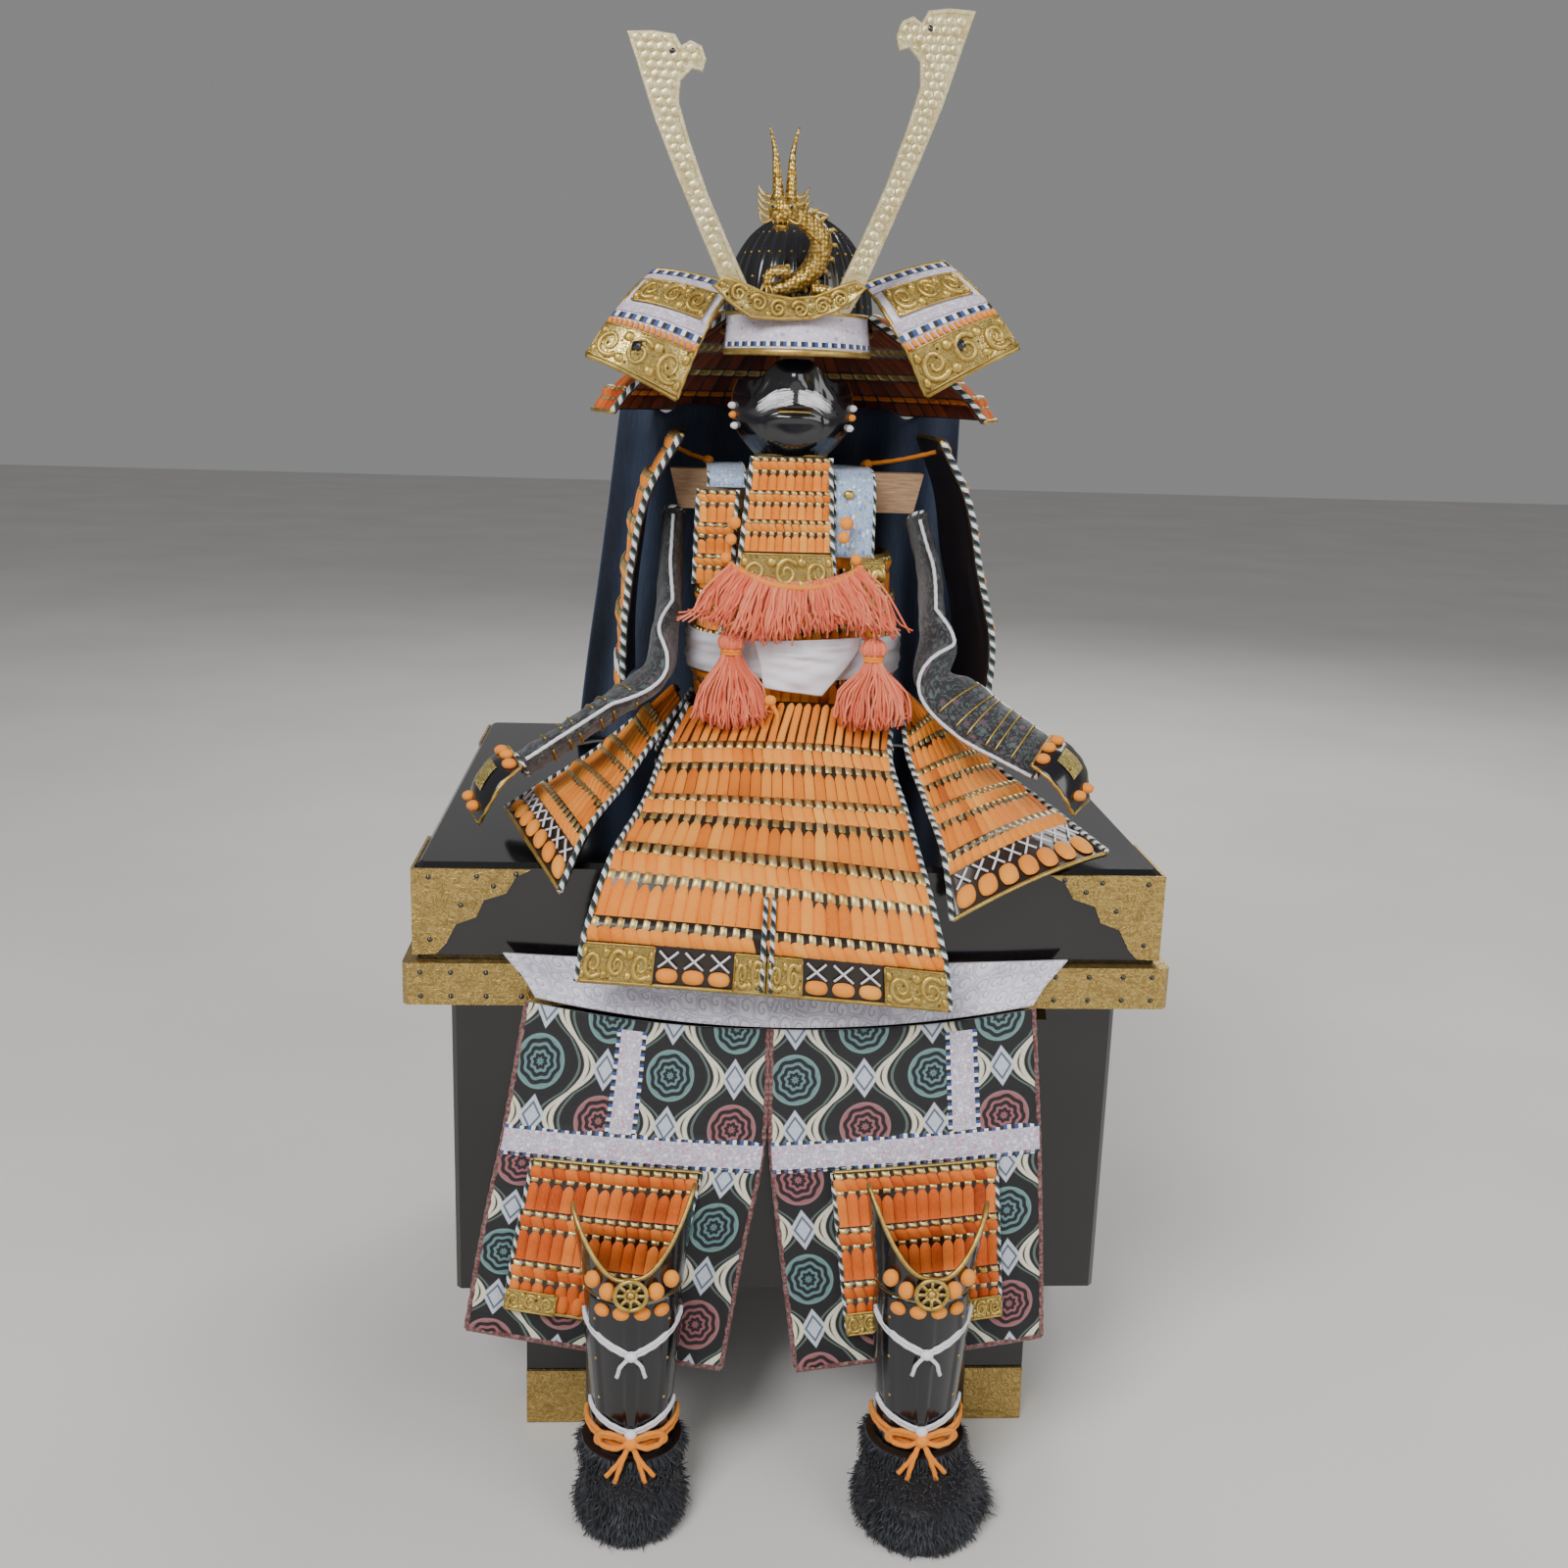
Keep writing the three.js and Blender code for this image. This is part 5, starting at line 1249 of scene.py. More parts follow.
def turn_backs():
    for side, edges, out in (("left", TURN_LEFT, (-0.2, -1, 0.35)), ("right", TURN_RIGHT, (0.2, -1, 0.35))):
        surface = sheet_surface(edges, out)
        piece = Piece(f"turn_back_{side}_dressed", LEATHER, BLACK, LAVENDER, RELIEF, RIM, ORANGE, GILT,
                      WHITE_CORD)
        wall(piece, surface, spread(24), spread(24), 1.6, 0.0, 0, 1, (36, 45))

        def band(v, height, look, low, high, count=40):
            a, b = grid_of(spread(count), np.array(v))
            lift = np.interp(b, (v[0], v[-1]), (low, high))
            piece.grid(raised(surface, a, b, np.full(a.shape, height)), look, np.stack([a * 36, lift], -1),
                       0.6)

        band((0.03, 0.08), 2.2, 2, 0.02, 0.12)
        band((0.1, 0.16), 2.0, 2, 0.2, 0.8)
        relief_plate(piece, surface, (0.1, 0.9), (0.18, 0.42), 2.6, 3, 4)
        band((0.45, 0.52), 2.0, 2, 0.2, 0.8)
        band((0.54, 0.585), 2.4, 2, 0.02, 0.12)
        count = 16
        for k in range(count):
            middle, half = (k + 0.5) / count, 0.5 / count
            pad(piece, surface, (middle - 0.7 * half, middle + 0.7 * half), (0.595, 0.66), 2.0, 1.4, 5, 0.7,
                (5, 5), 0.4 * half, 0.2)
        relief_plate(piece, surface, (0.02, 0.98), (0.67, 0.985), 2.9, 3, 4)
        at = spot(surface, 0.45, 0.78, 3.0)
        rivets(piece, [(at, normals(surface, np.array(0.45), np.array(0.78)))], 2.6, 1)
        edge_braids(piece, surface, 1.0, 4, 1.1)
        foot_rim(piece, surface, 1.0, 1.0, 4, 1.3)
        foot_rim(piece, surface, 0.0, 1.0, 4, 1.0)
        piece.build("leather", [f"turn_back_{side}"])


def inset(outline, far):
    """Outline moved inwards by a distance, corner by corner."""
    p = np.asarray(outline, float)
    before, after = np.roll(p, 1, 0), np.roll(p, -1, 0)
    a, b = p - before, after - p
    a /= np.linalg.norm(a, axis=1, keepdims=True)
    b /= np.linalg.norm(b, axis=1, keepdims=True)
    inward = np.stack([-(a + b)[:, 1], (a + b)[:, 0]], -1)
    inward /= np.maximum(np.linalg.norm(inward, axis=1, keepdims=True), 1e-9)
    bend = np.clip(np.abs(-a[:, 1] * inward[:, 0] + a[:, 0] * inward[:, 1]), 0.6, 1)
    return p + inward * (far / bend)[:, None]


def counter_clockwise(outline):
    p = np.asarray(outline, float)
    area = (p[:, 0] * np.roll(p[:, 1], -1) - np.roll(p[:, 0], -1) * p[:, 1]).sum()
    return p if area > 0 else p[::-1]


def edge_distance(points, outline):
    """Distance to the outline, negative outside it."""
    a, b = outline, np.roll(outline, -1, 0)
    p = np.asarray(points, float)[:, None]
    along = np.clip(((p - a) * (b - a)).sum(-1) / ((b - a) ** 2).sum(-1), 0, 1)
    reach = np.linalg.norm(p - a - along[..., None] * (b - a), axis=-1).min(1)
    crosses = (a[:, 1] > p[..., 1]) != (b[:, 1] > p[..., 1])
    at = a[:, 0] + (p[..., 1] - a[:, 1]) / np.where(b[:, 1] == a[:, 1], 1e-9,
                                                    b[:, 1] - a[:, 1]) * (b[:, 0] - a[:, 0])
    inside = (crosses & (p[..., 0] < at)).sum(1) % 2 == 1
    return np.where(inside, reach, -reach)


def rimmed_plate(piece, outline, front, thick, rim, rise, face, border):
    """Flat plate facing the viewer, with a raised border. The outline is in X and Z."""
    outline = counter_clockwise(outline)
    steps = ((0, front + thick), (0, front + 0.2), (0.2, front), (0.3, front - rise),
             (rim - 0.3, front - rise), (rim, front))
    rings = np.array([[(x, y, z) for x, z in inset(outline, far)] for far, y in steps])
    rows = piece.grid(rings, border, None, 0.6, wrap=True, flip=True)
    piece.cap(rows[-1][:-1], face)
    piece.cap(rows[0][:-1], border, flip=True)
    return outline


HORN = {"front": 64.9, "thick": 1.5, "base_front": 61.6, "base_thick": 3.0, "scale": 3.9}
HORN_OUTLINE = (
    (-26, 470), (-31, 478), (-40, 497), (-51, 521), (-60, 542), (-66.5, 561), (-71, 573.5), (-60, 574),
    (-52, 573), (-49.5, 569), (-46, 571), (-41.5, 569), (-39.5, 564), (-41, 559.5), (-45, 560.5),
    (-49.5, 556), (-50, 548), (-46, 535), (-38, 514), (-28, 493), (-20.5, 478), (-17, 470),
)
CREST_OUTLINE = (
    (-6, 466.2), (6, 467), (14, 470), (22, 475), (27, 480), (22, 483), (14, 480), (6, 476.5), (-4, 475.5),
    (-14, 477), (-24, 481), (-31, 483), (-36, 479), (-29, 472.5), (-20, 466.5),
)


def right_horn(outline):
    return [(-x - 5.5 + (z - 470) * 0.005, z + (z - 470) * 0.12) for x, z in outline]


def horns():
    for side, outline in (("left", HORN_OUTLINE), ("right", right_horn(HORN_OUTLINE))):
        piece = Piece(f"horn_{side}_gilt", HORN_FACE, HORN_RIM, BLACK)
        shape = rimmed_plate(piece, outline, HORN["front"], HORN["thick"], 1.9, 0.45, 0, 1)
        pitch = HORN["scale"]
        low, high = shape.min(0), shape.max(0)
        rows = np.arange(low[1], high[1], pitch * 0.866)
        columns = np.arange(low[0], high[0], pitch)
        spots = np.array([(x + (k % 2) * pitch / 2, z) for k, z in enumerate(rows) for x in columns])
        deep = edge_distance(spots, shape)
        turn = np.linspace(0, TAU, 7)[:-1] + TAU / 12
        for (x, z), far in zip(spots, deep):
            if far < 1.9 or z < 486:
                continue
            size = min(1.0, (far - 1.0) / 1.6)
            rings = [(0.5, 0.0), (0.49, 0.28), (0.36, 0.5), (0.15, 0.55)]
            points = np.array([[(x + pitch * r * size * math.cos(a), HORN["front"] - h,
                                 z + pitch * r * size * math.sin(a))
                                for a in turn] for r, h in rings])
            made = piece.grid(points, 0, None, 0.75, wrap=True, flip=True)
            piece.cap(made[-1][:-1], 0)
        eye = np.array(outline[9]) + np.array([-3.5 if side == "left" else 3.5, -2.2])
        rivets(piece, [((eye[0], HORN["front"] - 0.1, eye[1]), (0, -1, 0))], 1.3, 2)
        piece.build("gilt", [f"horn_{side}"], 35)


def spiral(cx, cz, y, start, turns, reach, sense=1, steps=26):
    t = np.linspace(0, 1, steps)
    angle = start + sense * TAU * turns * t
    far = reach * (1 - 0.86 * t)
    return np.stack([cx + far * np.cos(angle), np.full(steps, y), cz + far * np.sin(angle)], -1)


def crest():
    piece = Piece("crest_base_gilt", RELIEF, RIM)
    front = HORN["base_front"]
    rimmed_plate(piece, CREST_OUTLINE, front, HORN["base_thick"], 1.3, 0.5, 0, 1)
    for cx, cz, start, sense in (
        (-25, 476.5, 0.2, 1), (-17, 472.8, 2.8, -1), (-9, 470.8, 0.4, 1), (0, 470.6, 2.9, -1),
        (9, 472.4, 0.4, 1), (16, 475.2, 3.1, -1),
    ):
        tube(piece, spiral(cx, cz, front - 0.5, start, 1.6, 3.6, sense), np.linspace(0.85, 0.45, 26), 1, 0.8,
             7)
    studs = [((x, front - 0.1, z), (0, -1, 0)) for x,
             z in ((-31.5, 479.5), (23, 480), (-13, 468.6), (4, 468.8))]
    rivets(piece, studs, 1.5, 1)
    piece.build("gilt", ["crest_base"])

    piece = Piece("crest_dragon_gilt", DRAGON, RIM, BLACK)
    spine = curve_through([(-13, 71, 478), (-6, 72.4, 480), (2, 72, 484), (7, 70.5, 491), (7.5, 67.5, 499),
                           (2, 64.5, 505), (-4, 61.5, 508), (-8, 59, 508)], 60)
    girth = smooth(np.array([3.2, 4.6, 5.6, 6.0, 5.6, 5.0, 4.8, 5.0]), np.linspace(0, 1, 61))
    tube(piece, spine, girth, 0, 0.5, 18, flat=0.8)
    along = frames_along(spine)[0]
    for k in range(3, 56, 4):
        out = spine[k] - np.array((-4.0, 66.0, 492.0))
        out -= along[k] * out.dot(along[k])
        out /= np.linalg.norm(out)
        tip = spine[k] + out * (girth[k] + 2.2) - along[k] * 1.6
        tube(piece, np.array([spine[k] + out * (girth[k] - 1.4), spine[k] + out * (girth[k] + 0.7), tip]),
             (1.3, 0.9, 0.15), 1, 0.7, 6)
    egg(piece, np.array((-8, 59, 508.0)), (6.2, 5.8, 6.0), 0, 0.5, 16, 12)
    egg(piece, np.array((-9.6, 54.4, 505.2)), (3.9, 4.8, 2.5), 0, 0.6, 14, 10)
    egg(piece, np.array((-9.2, 55.2, 501.6)), (3.2, 4.2, 1.4), 0, 0.5, 14, 8)
    for s in (-1, 1):
        egg(piece, np.array((-9.6 + 2.0 * s, 50.9, 506.6)), (1.3, 1.2, 1.1), 1, 0.7, 10, 8)
        egg(piece, np.array((-8.6 + 3.6 * s, 54.4, 509.4)), (1.9, 1.6, 1.4), 1, 0.8, 10, 8)
        rivets(piece, [((-8.9 + 3.8 * s, 52.9, 509.2), (0, -1, 0))], 0.8, 2)
        top = curve_through([(-7.6 + 2.4 * s, 60.5, 512), (-8 + 3.0 * s, 61, 523),
                             (-8.3 + 3.6 * s, 61.3, 531), (-8.3 + 5.8 * s, 61.5, 540)], 20)
        tube(piece, top, np.linspace(2.5, 0.35, 21), 0, 0.6, 10)
        for j in range(4):
            z = 505.5 + 2.6 * j
            lock = curve_through([(-8 + 5.0 * s, 60, z), (-8 + 8.2 * s, 61.5, z + 1.2),
                                  (-8 + 10.4 * s, 62.6, z + 4.6)], 8)
            tube(piece, lock, np.linspace(1.3, 0.25, 9), 1, 0.7, 6)
        whisker = curve_through([(-9.6 + 3 * s, 52.4, 504.6), (-9.6 + 7.2 * s, 50.6, 503),
                                 (-9.6 + 8.4 * s, 51.2, 508)], 14)
        tube(piece, whisker, np.linspace(0.65, 0.25, 15), 1, 0.7, 6)
    for x in (-12.4, -10.6, -8.6, -6.8):
        tube(piece, np.array([(x, 51.6, 504.2), (x, 51.4, 502.4)]), (0.45, 0.1), 1, 0.9, 5)
    for x, z, s in ((-12, 486, -1), (12, 479, 1)):
        leg = curve_through([(x * 0.4, 68, z), (x, 66.4, z - 1), (x * 1.15, 65.8, z - 6)], 10)
        tube(piece, leg, np.linspace(2.6, 1.6, 11), 0, 0.5, 10)
        for j in (-1, 0, 1):
            claw = curve_through([(x * 1.15 + j * 1.1, 65.6, z - 6), (x * 1.15 + j * 2.2, 63.8, z - 8),
                                  (x * 1.15 + j * 2.4, 63.2, z - 10)], 6)
            tube(piece, claw, np.linspace(0.9, 0.15, 7), 1, 0.8, 6)
    piece.build("gilt", ["crest_dragon"])


MASK_LEVELS = table(LEVELS, (451, 22.5, 20), (443, 24.5, 21), (434, 24.5, 21.5), (424, 22.5, 21.5),
                    (412.5, 14.5, 17))


def mask_relief(u, v):
    across = np.abs(u - 0.5)
    nose = 4.2 * hill(across, 0, 0.075) * hill(v, 0.24, 0.2)
    wings = 1.3 * hill(across, 0.062, 0.03) * hill(v, 0.36, 0.07)
    moustache = 1.5 * hill(v, 0.47, 0.07) * hill(across, 0.1, 0.13)
    lips = 0.9 * (hill(v, 0.555, 0.03) + hill(v, 0.66, 0.035)) * hill(across, 0, 0.12)
    mouth = -1.3 * hill(v, 0.605, 0.028) * hill(across, 0, 0.13)
    chin = 1.8 * hill(v, 0.86, 0.12) * hill(across, 0, 0.15)
    cheek = 1.2 * hill(v, 0.3, 0.14) * hill(across, 0.24, 0.07)
    line = -0.7 * hill(across - 0.1 * v, 0.13, 0.012) * hill(v, 0.5, 0.25)
    return 1.6 + nose + wings + moustache + lips + mouth + chin + cheek + line


def face_mask():
    surface = ring_surface(-0.5, 92.5, MASK_LEVELS, -78, 78, lambda a: -9 * smoothstep(np.abs(a), 0.2, 0.75))
    piece = Piece("face_mask_lacquered", MASK, INNER, RIM, WHITE_HAIR, ORANGE, WHITE_CORD)
    wall(piece, surface, spread(84), spread(64), mask_relief, 0.0, 0, 1)
    us = np.linspace(0.4, 0.6, 30)
    vs = 0.605 + 0.5 * (us - 0.5) ** 2
    tube(piece, raised(surface, us, vs, mask_relief(us, vs) + 0.25), 0.42, 2, 0.6, 6)
    edge = np.linspace(0, 1, 60)
    tube(piece, raised(surface, edge, np.ones(60), np.full(60, 1.2)), 0.8, 2, 0.4, 8)
    for u in (0.0, 1.0):
        vs = np.linspace(0, 1, 40)
        tube(piece, raised(surface, np.full(40, u), vs, np.full(40, 0.9)), 0.8, 2, 0.4, 8)
    for k in range(900):
        s = 1 if rng.random() < 0.5 else -1
        far = rng.uniform(0.012, 0.13) * 0.9
        length = rng.uniform(0.07, 0.12)
        t = np.linspace(0, 1, 6)
        u = 0.5 + s * (far + length * t)
        v = (0.455 + 0.03 * rng.standard_normal() + (0.055 - 0.03 * rng.random()) * t
             - 0.1 * (far + length * t) * t)
        lift = (mask_relief(u, v) + 0.35
                + 0.9 * np.sin(math.pi * np.clip(t * 0.85 + 0.08, 0, 1)) * rng.uniform(0.3, 1.0))
        tube(piece, raised(surface, u, v, lift), 0.3 * (1 - 0.75 * t), 3, rng.uniform(0.2, 1.0), 3)
    for s in (-1, 1):
        for k in range(3):
            at = spot(surface, 0.5 + s * 0.455, 0.42 + 0.13 * k, 2.4)
            egg(piece, at, (1.9, 1.9, 1.5), (5, 4, 5)[k], 0.6, 10, 8)
    piece.build("black_plate", ["face_mask"])


CAPE = table(
    EDGES,
    (84, 166, 424, -76, 166, 424, -6), (86, 180, 382, -82, 180, 382, -1), (90, 193, 338, -88, 193, 338, 0),
    (94, 208, 296, -94, 208, 296, 0), (98, 222, 254.6, -99, 222, 254.6, 0),
)


def crease(u, v, at, slope, start, deep, wide):
    """One uneven fold running down a cloth from v = start."""
    return deep * hill(u, at + slope * v, wide) * smoothstep(v, start, start + 0.25)


def cape():
    plain = sheet_surface(CAPE, (0, 1, 0))

    def surface(u, v):
        fold = (1.2 + 3.2 * v) * np.sin(TAU * (7 * u + 0.35 * np.sin(5 * u)))
        extra = (crease(u, v, 0.12, 0.03, 0.1, 1.1, 0.018) - crease(u, v, 0.31, -0.04, 0.3, 0.9, 0.015)
                 + crease(u, v, 0.44, 0.02, 0.0, 0.8, 0.02) + crease(u, v, 0.63, -0.02, 0.2, 1.1, 0.016)
                 - crease(u, v, 0.78, 0.03, 0.1, 0.8, 0.018) + crease(u, v, 0.9, -0.01, 0.4, 0.9, 0.013))
        ripple = 0.25 * np.sin(TAU * (3.1 * v + 2.3 * u)) * np.sin(TAU * 4.7 * u)
        p = plain(u, v) + (fold + 0.6 * extra + ripple)[..., None] * np.array((0, 1.0, 0))
        under = 1 - 0.8 * hill(np.abs(p[..., 0] - CENTRE["helmet_x"]), 57, 6)
        p[..., 2] += 6 * under * np.clip(1 - 4 * v, 0, 1)
        return p

    piece = Piece("cape_cloth", NAVY, BINDING)
    wall(piece, surface, spread(196), spread(48), 1.4, 0.0, 0, size=(200, 185))
    made = piece.build("navy_cloth", ["cape"])


BELT = table(LEVELS, (334, 46.6, 41.6), (326, 46.6, 41.6), (317, 46.6, 41.6))
DRAPE = table(
    EDGES, (-15, 70.8, 334, 31, 73, 336, 4.6), (-12, 69.4, 325, 28, 72, 328, 4.2),
    (-10, 68.6, 314, 14, 68.6, 311, 2.5),
)


def sash():
    surface = ring_surface(CENTRE["torso_x"], CENTRE["body_y"], BELT)

    def folds(u, v):
        soft = 0.7 * np.abs(np.sin(TAU * (v + 0.04 * np.sin(TAU * 2 * u))))
        return (1.6 + soft + 0.25 * np.sin(TAU * (3.4 * v + 3 * u)) * np.sin(TAU * 5 * u)
                + 0.2 * np.sin(TAU * 11 * u + 9 * v))

    piece = Piece("belt_silk", SILK)
    wall(piece, surface, spread(180), spread(26), folds, 0.0, 0, size=(278, 17), wrap=True)
    made = piece.build("white_cloth", ["belt"])

    surface = sheet_surface(DRAPE, (0, -1, 0))

    def gathers(u, v):
        wave = 0.8 * np.sin(TAU * (2.2 * v + 0.9 * u)) + 0.45 * np.sin(TAU * (4.6 * v - 1.4 * u) + 0.6)
        pinch = 0.5 * hill(v, 0.3 + 0.3 * u, 0.05) + 0.5 * hill(v, 0.75 - 0.35 * u, 0.06)
        return 1.9 + (wave * 0.8 + pinch) * np.sin(math.pi * u)

    piece = Piece("belt_drape_silk", SILK)
    wall(piece, surface, spread(60), spread(44), gathers, lambda u, v: gathers(u, v) - 1.3, 0, size=(46, 25))
    made = piece.build("white_cloth", ["belt_drape"])


STRAP_PATH = ((72.9, 370), (73.5, 394), (80, 403), (97, 404.5), (115, 404.5), (132, 404), (144.6, 402.4),
              (150.2, 394), (150.4, 376))
SHORT_STRAP = ((74.4, 397.9), (76.6, 402.6), *STRAP_PATH[3:])


def straps():
    for side, x0, x1, path, ends in (("left", -36, -20, SHORT_STRAP, (-34, -51.2)),
                                     ("right", 17.5, 35, STRAP_PATH, (33, 66.5))):
        rows = [(x0, y, z, x1, y, z, 0) for y, z in reversed(path)]
        surface = sheet_surface(table(EDGES, *rows), (0, -1, 0))
        piece = Piece(f"strap_{side}_brocade", STRAP)
        trim = Piece(f"strap_{side}_trim", STRAP, BRAID, ORANGE, RIM)
        wall(piece, surface, spread(10), spread(70), lambda u,
             v: 1.4 + 0.15 * np.sin(TAU * 9 * v) * np.sin(math.pi * u), 0.0, 0,
             size=(17, 110))
        for u in (0.02, 0.98):
            side_braid(trim, surface, u, 1.2, 1, 0.75, steps=80)
        a, b = ends
        tie = curve_through([(a, 118, 406.6), (mix(a, b, 0.5), 118, 409), (b, 118, 413)], 24)
        tube(trim, tie, 1.15, 2, 0.6, 10, 3, 1.2)
        egg(trim, tie[2], (2.6, 2.4, 2.0), 2, 0.7, 12, 9)
        if side == "right":
            for v in (0.86, 0.93):
                at = spot(surface, 0.35, v, 2.0)
                egg(trim, at, (2.4, 1.7, 2.0), 2 if v > 0.9 else 3, 0.7, 12, 9)
        trim.build("blue_brocade")
        made = piece.build("blue_brocade", [f"strap_{side}"])


TUBE_COLUMNS = "x y z wide thick ax ay az"
SLEEVE_LEFT = table(
    TUBE_COLUMNS, (-50.5, 112, 383.6, 14, 3.6, 0, 1, 0), (-51.5, 106, 362, 15, 3.8, 0, 1, 0.1),
    (-52.5, 89, 339, 14, 4.2, 0, 1, 0.3),
    (-57, 67, 320, 12, 4.4, 0.3, 1, 0.4), (-77, 55, 306, 12, 4.4, 0.4, 1, 0.1),
    (-97, 48, 293, 11, 4.2, 0.4, 1, 0), (-112, 43, 284, 10, 4.2, 0.4, 1, 0),
)
SLEEVE_RIGHT = table(
    TUBE_COLUMNS, (58, 112, 383.8, 14, 3.6, 0, -1, 0), (64, 106, 362, 15, 3.8, 0, -1, -0.1),
    (65, 92, 338, 14, 4.2, 0, -1, -0.3),
    (66, 72, 319, 13, 4.4, 0.2, -1, -0.6), (79, 57, 306, 12, 4.4, -0.3, -1, -0.9),
    (95, 48, 297, 11, 4.2, -0.3, -1, -0.9), (109, 43, 289, 10, 4.2, -0.3, -1, -0.8),
)
HAND_LEFT = table(
    EDGES, (-117.8, 51.2, 288.9, -110.6, 31.2, 285.3, 1), (-125, 48, 284, -117.5, 25, 280, 3),
    (-130.5, 43, 276, -123, 23.5, 270.5, 3), (-132, 38, 267, -127, 27, 263, 1),
)
HAND_RIGHT = table(
    EDGES, (100.3, 30.4, 289.6, 111.3, 47.4, 298.6, 1), (106.3, 24.4, 285.6, 118.3, 44.4, 294.6, 3),
    (112.3, 22.4, 278.6, 124.3, 40.4, 286.6, 3), (117.3, 25.4, 270.6, 125.3, 34.4, 274.6, 1),
)


def sleeve_surface(rows):
    def path(v):
        return np.stack([smooth(rows[k], v) for k in "xyz"], -1)

    def at(u, v):
        along = path(np.minimum(v + 1e-3, 1)) - path(np.maximum(v - 1e-3, 0))
        along /= np.linalg.norm(along, axis=-1, keepdims=True)
        wide = np.stack([smooth(rows["a" + k], v) for k in "xyz"], -1)
        wide = wide - along * (wide * along).sum(-1, keepdims=True)
        wide /= np.linalg.norm(wide, axis=-1, keepdims=True)
        thick = np.cross(wide, along)
        angle = TAU * u
        return (path(v) + wide * (smooth(rows["wide"], v) * np.cos(angle))[..., None]
                + thick * (smooth(rows["thick"], v) * np.sin(angle))[..., None])

    return at


def sleeves():
    for side, rows in (("left", SLEEVE_LEFT), ("right", SLEEVE_RIGHT)):
        surface = sleeve_surface(rows)
        piece = Piece(f"sleeve_{side}_brocade", SLEEVE)
        trim = Piece(f"sleeve_{side}_trim", SLEEVE, WHITE_CORD, BRAID, RIM)

        def creased(u, v):
            bend = (0.5 * hill(v, 0.47, 0.05) * np.sin(TAU * (u + 0.1))
                    + 0.4 * hill(v, 0.4, 0.03) * np.cos(TAU * u))
            small = (0.22 * np.sin(TAU * (6 * v + u)) * np.sin(TAU * (2 * u + 0.13))
                     + 0.16 * np.sin(TAU * (13 * v + 0.2)))
            return 1.35 + bend * 0.5 + small

        wall(piece, surface, spread(60), spread(90), creased, 0.0, 0, size=(62, 125), wrap=True)
        vs = np.linspace(0.02, 0.98, 100)
        for u in (0.0, 0.5):
            path = raised(surface, np.full(100, u), vs, np.full(100, 1.7))
            tube(trim, path, 0.9, 1, 0.6, 8, 3, 1.6)
        for v in (0.0, 1.0):
            us = np.linspace(0, 1, 49)
            ring = surface(us, np.full(49, v)) + normals(surface, np.clip(us, 0.001, 0.999),
                                                         np.full(49, v)) * 0.8
            tube(trim, ring, 1.0, 2, 0.5, 8, closed=True)
        for v in (0.64, 0.74, 0.84):
            for u0, u1 in ((0.06, 0.44), (0.56, 0.94)):
                us = np.linspace(u0, u1, 16)
                for dv in (-0.032, 0.032):
                    tube(trim, raised(surface, us, np.full(16, v + dv), np.full(16, 1.7)), 0.45, 3, 0.5, 6)
        trim.build("brocade")
        made = piece.build("brocade", [f"sleeve_{side}"])
        long, area = (0.151, 0.00856) if side == "left" else (0.14, 0.00807)


def hand_guards():
    for side, rows, out in (("left", HAND_LEFT, (-0.5, -0.3, 1)), ("right", HAND_RIGHT, (0.5, -0.3, 1))):
        surface = sheet_surface(rows, out)
        piece = Piece(f"hand_guard_{side}_plate", BLACK, INNER, RIM, ORANGE, RELIEF)
        wall(piece, surface, spread(24), spread(24), lambda u,
             v: 1.5 + 0.5 * hill(u, 0.5, 0.12) * hill(v, 0.45, 0.3), 0.0, 0, 1)
        edge_braids(piece, surface, 0.8, 2, 0.95)
        for v in (0.0, 1.0):
            foot_rim(piece, surface, v, 0.8, 2, 0.95, steps=24)
        us, vs = np.meshgrid(spread(10, 0.3, 0.7), spread(10, 0.3, 0.62))
        piece.grid(raised(surface, us, vs, 2.0 + 0.5 * hill(us, 0.5, 0.12)), 4, None, 0.6)
        for k, (u, v) in enumerate(((0.2, 0.12), (0.5, 0.1), (0.8, 0.14), (0.28, 0.82), (0.66, 0.84))):
            at = spot(surface, u, v, 2.2)
            egg(piece, at, (3.1, 2.8, 2.3), 3, 0.6 + 0.1 * (k % 2), 12, 9)
        piece.build("black_plate", [f"hand_guard_{side}"])


TASSELS = (
    {"name": "tassel_left", "x": -25, "y": 63.6, "top": 334, "foot": 300, "reach": 13, "cord": -12},
    {"name": "tassel_right", "x": 36, "y": 63.6, "top": 332, "foot": 300, "reach": 14, "cord": 18},
)


def thread(piece, points, radius, look, tone_and_light, steps=9, sides=5):
    tube(piece, curve_through(points, steps), radius, look, tone_and_light, sides)


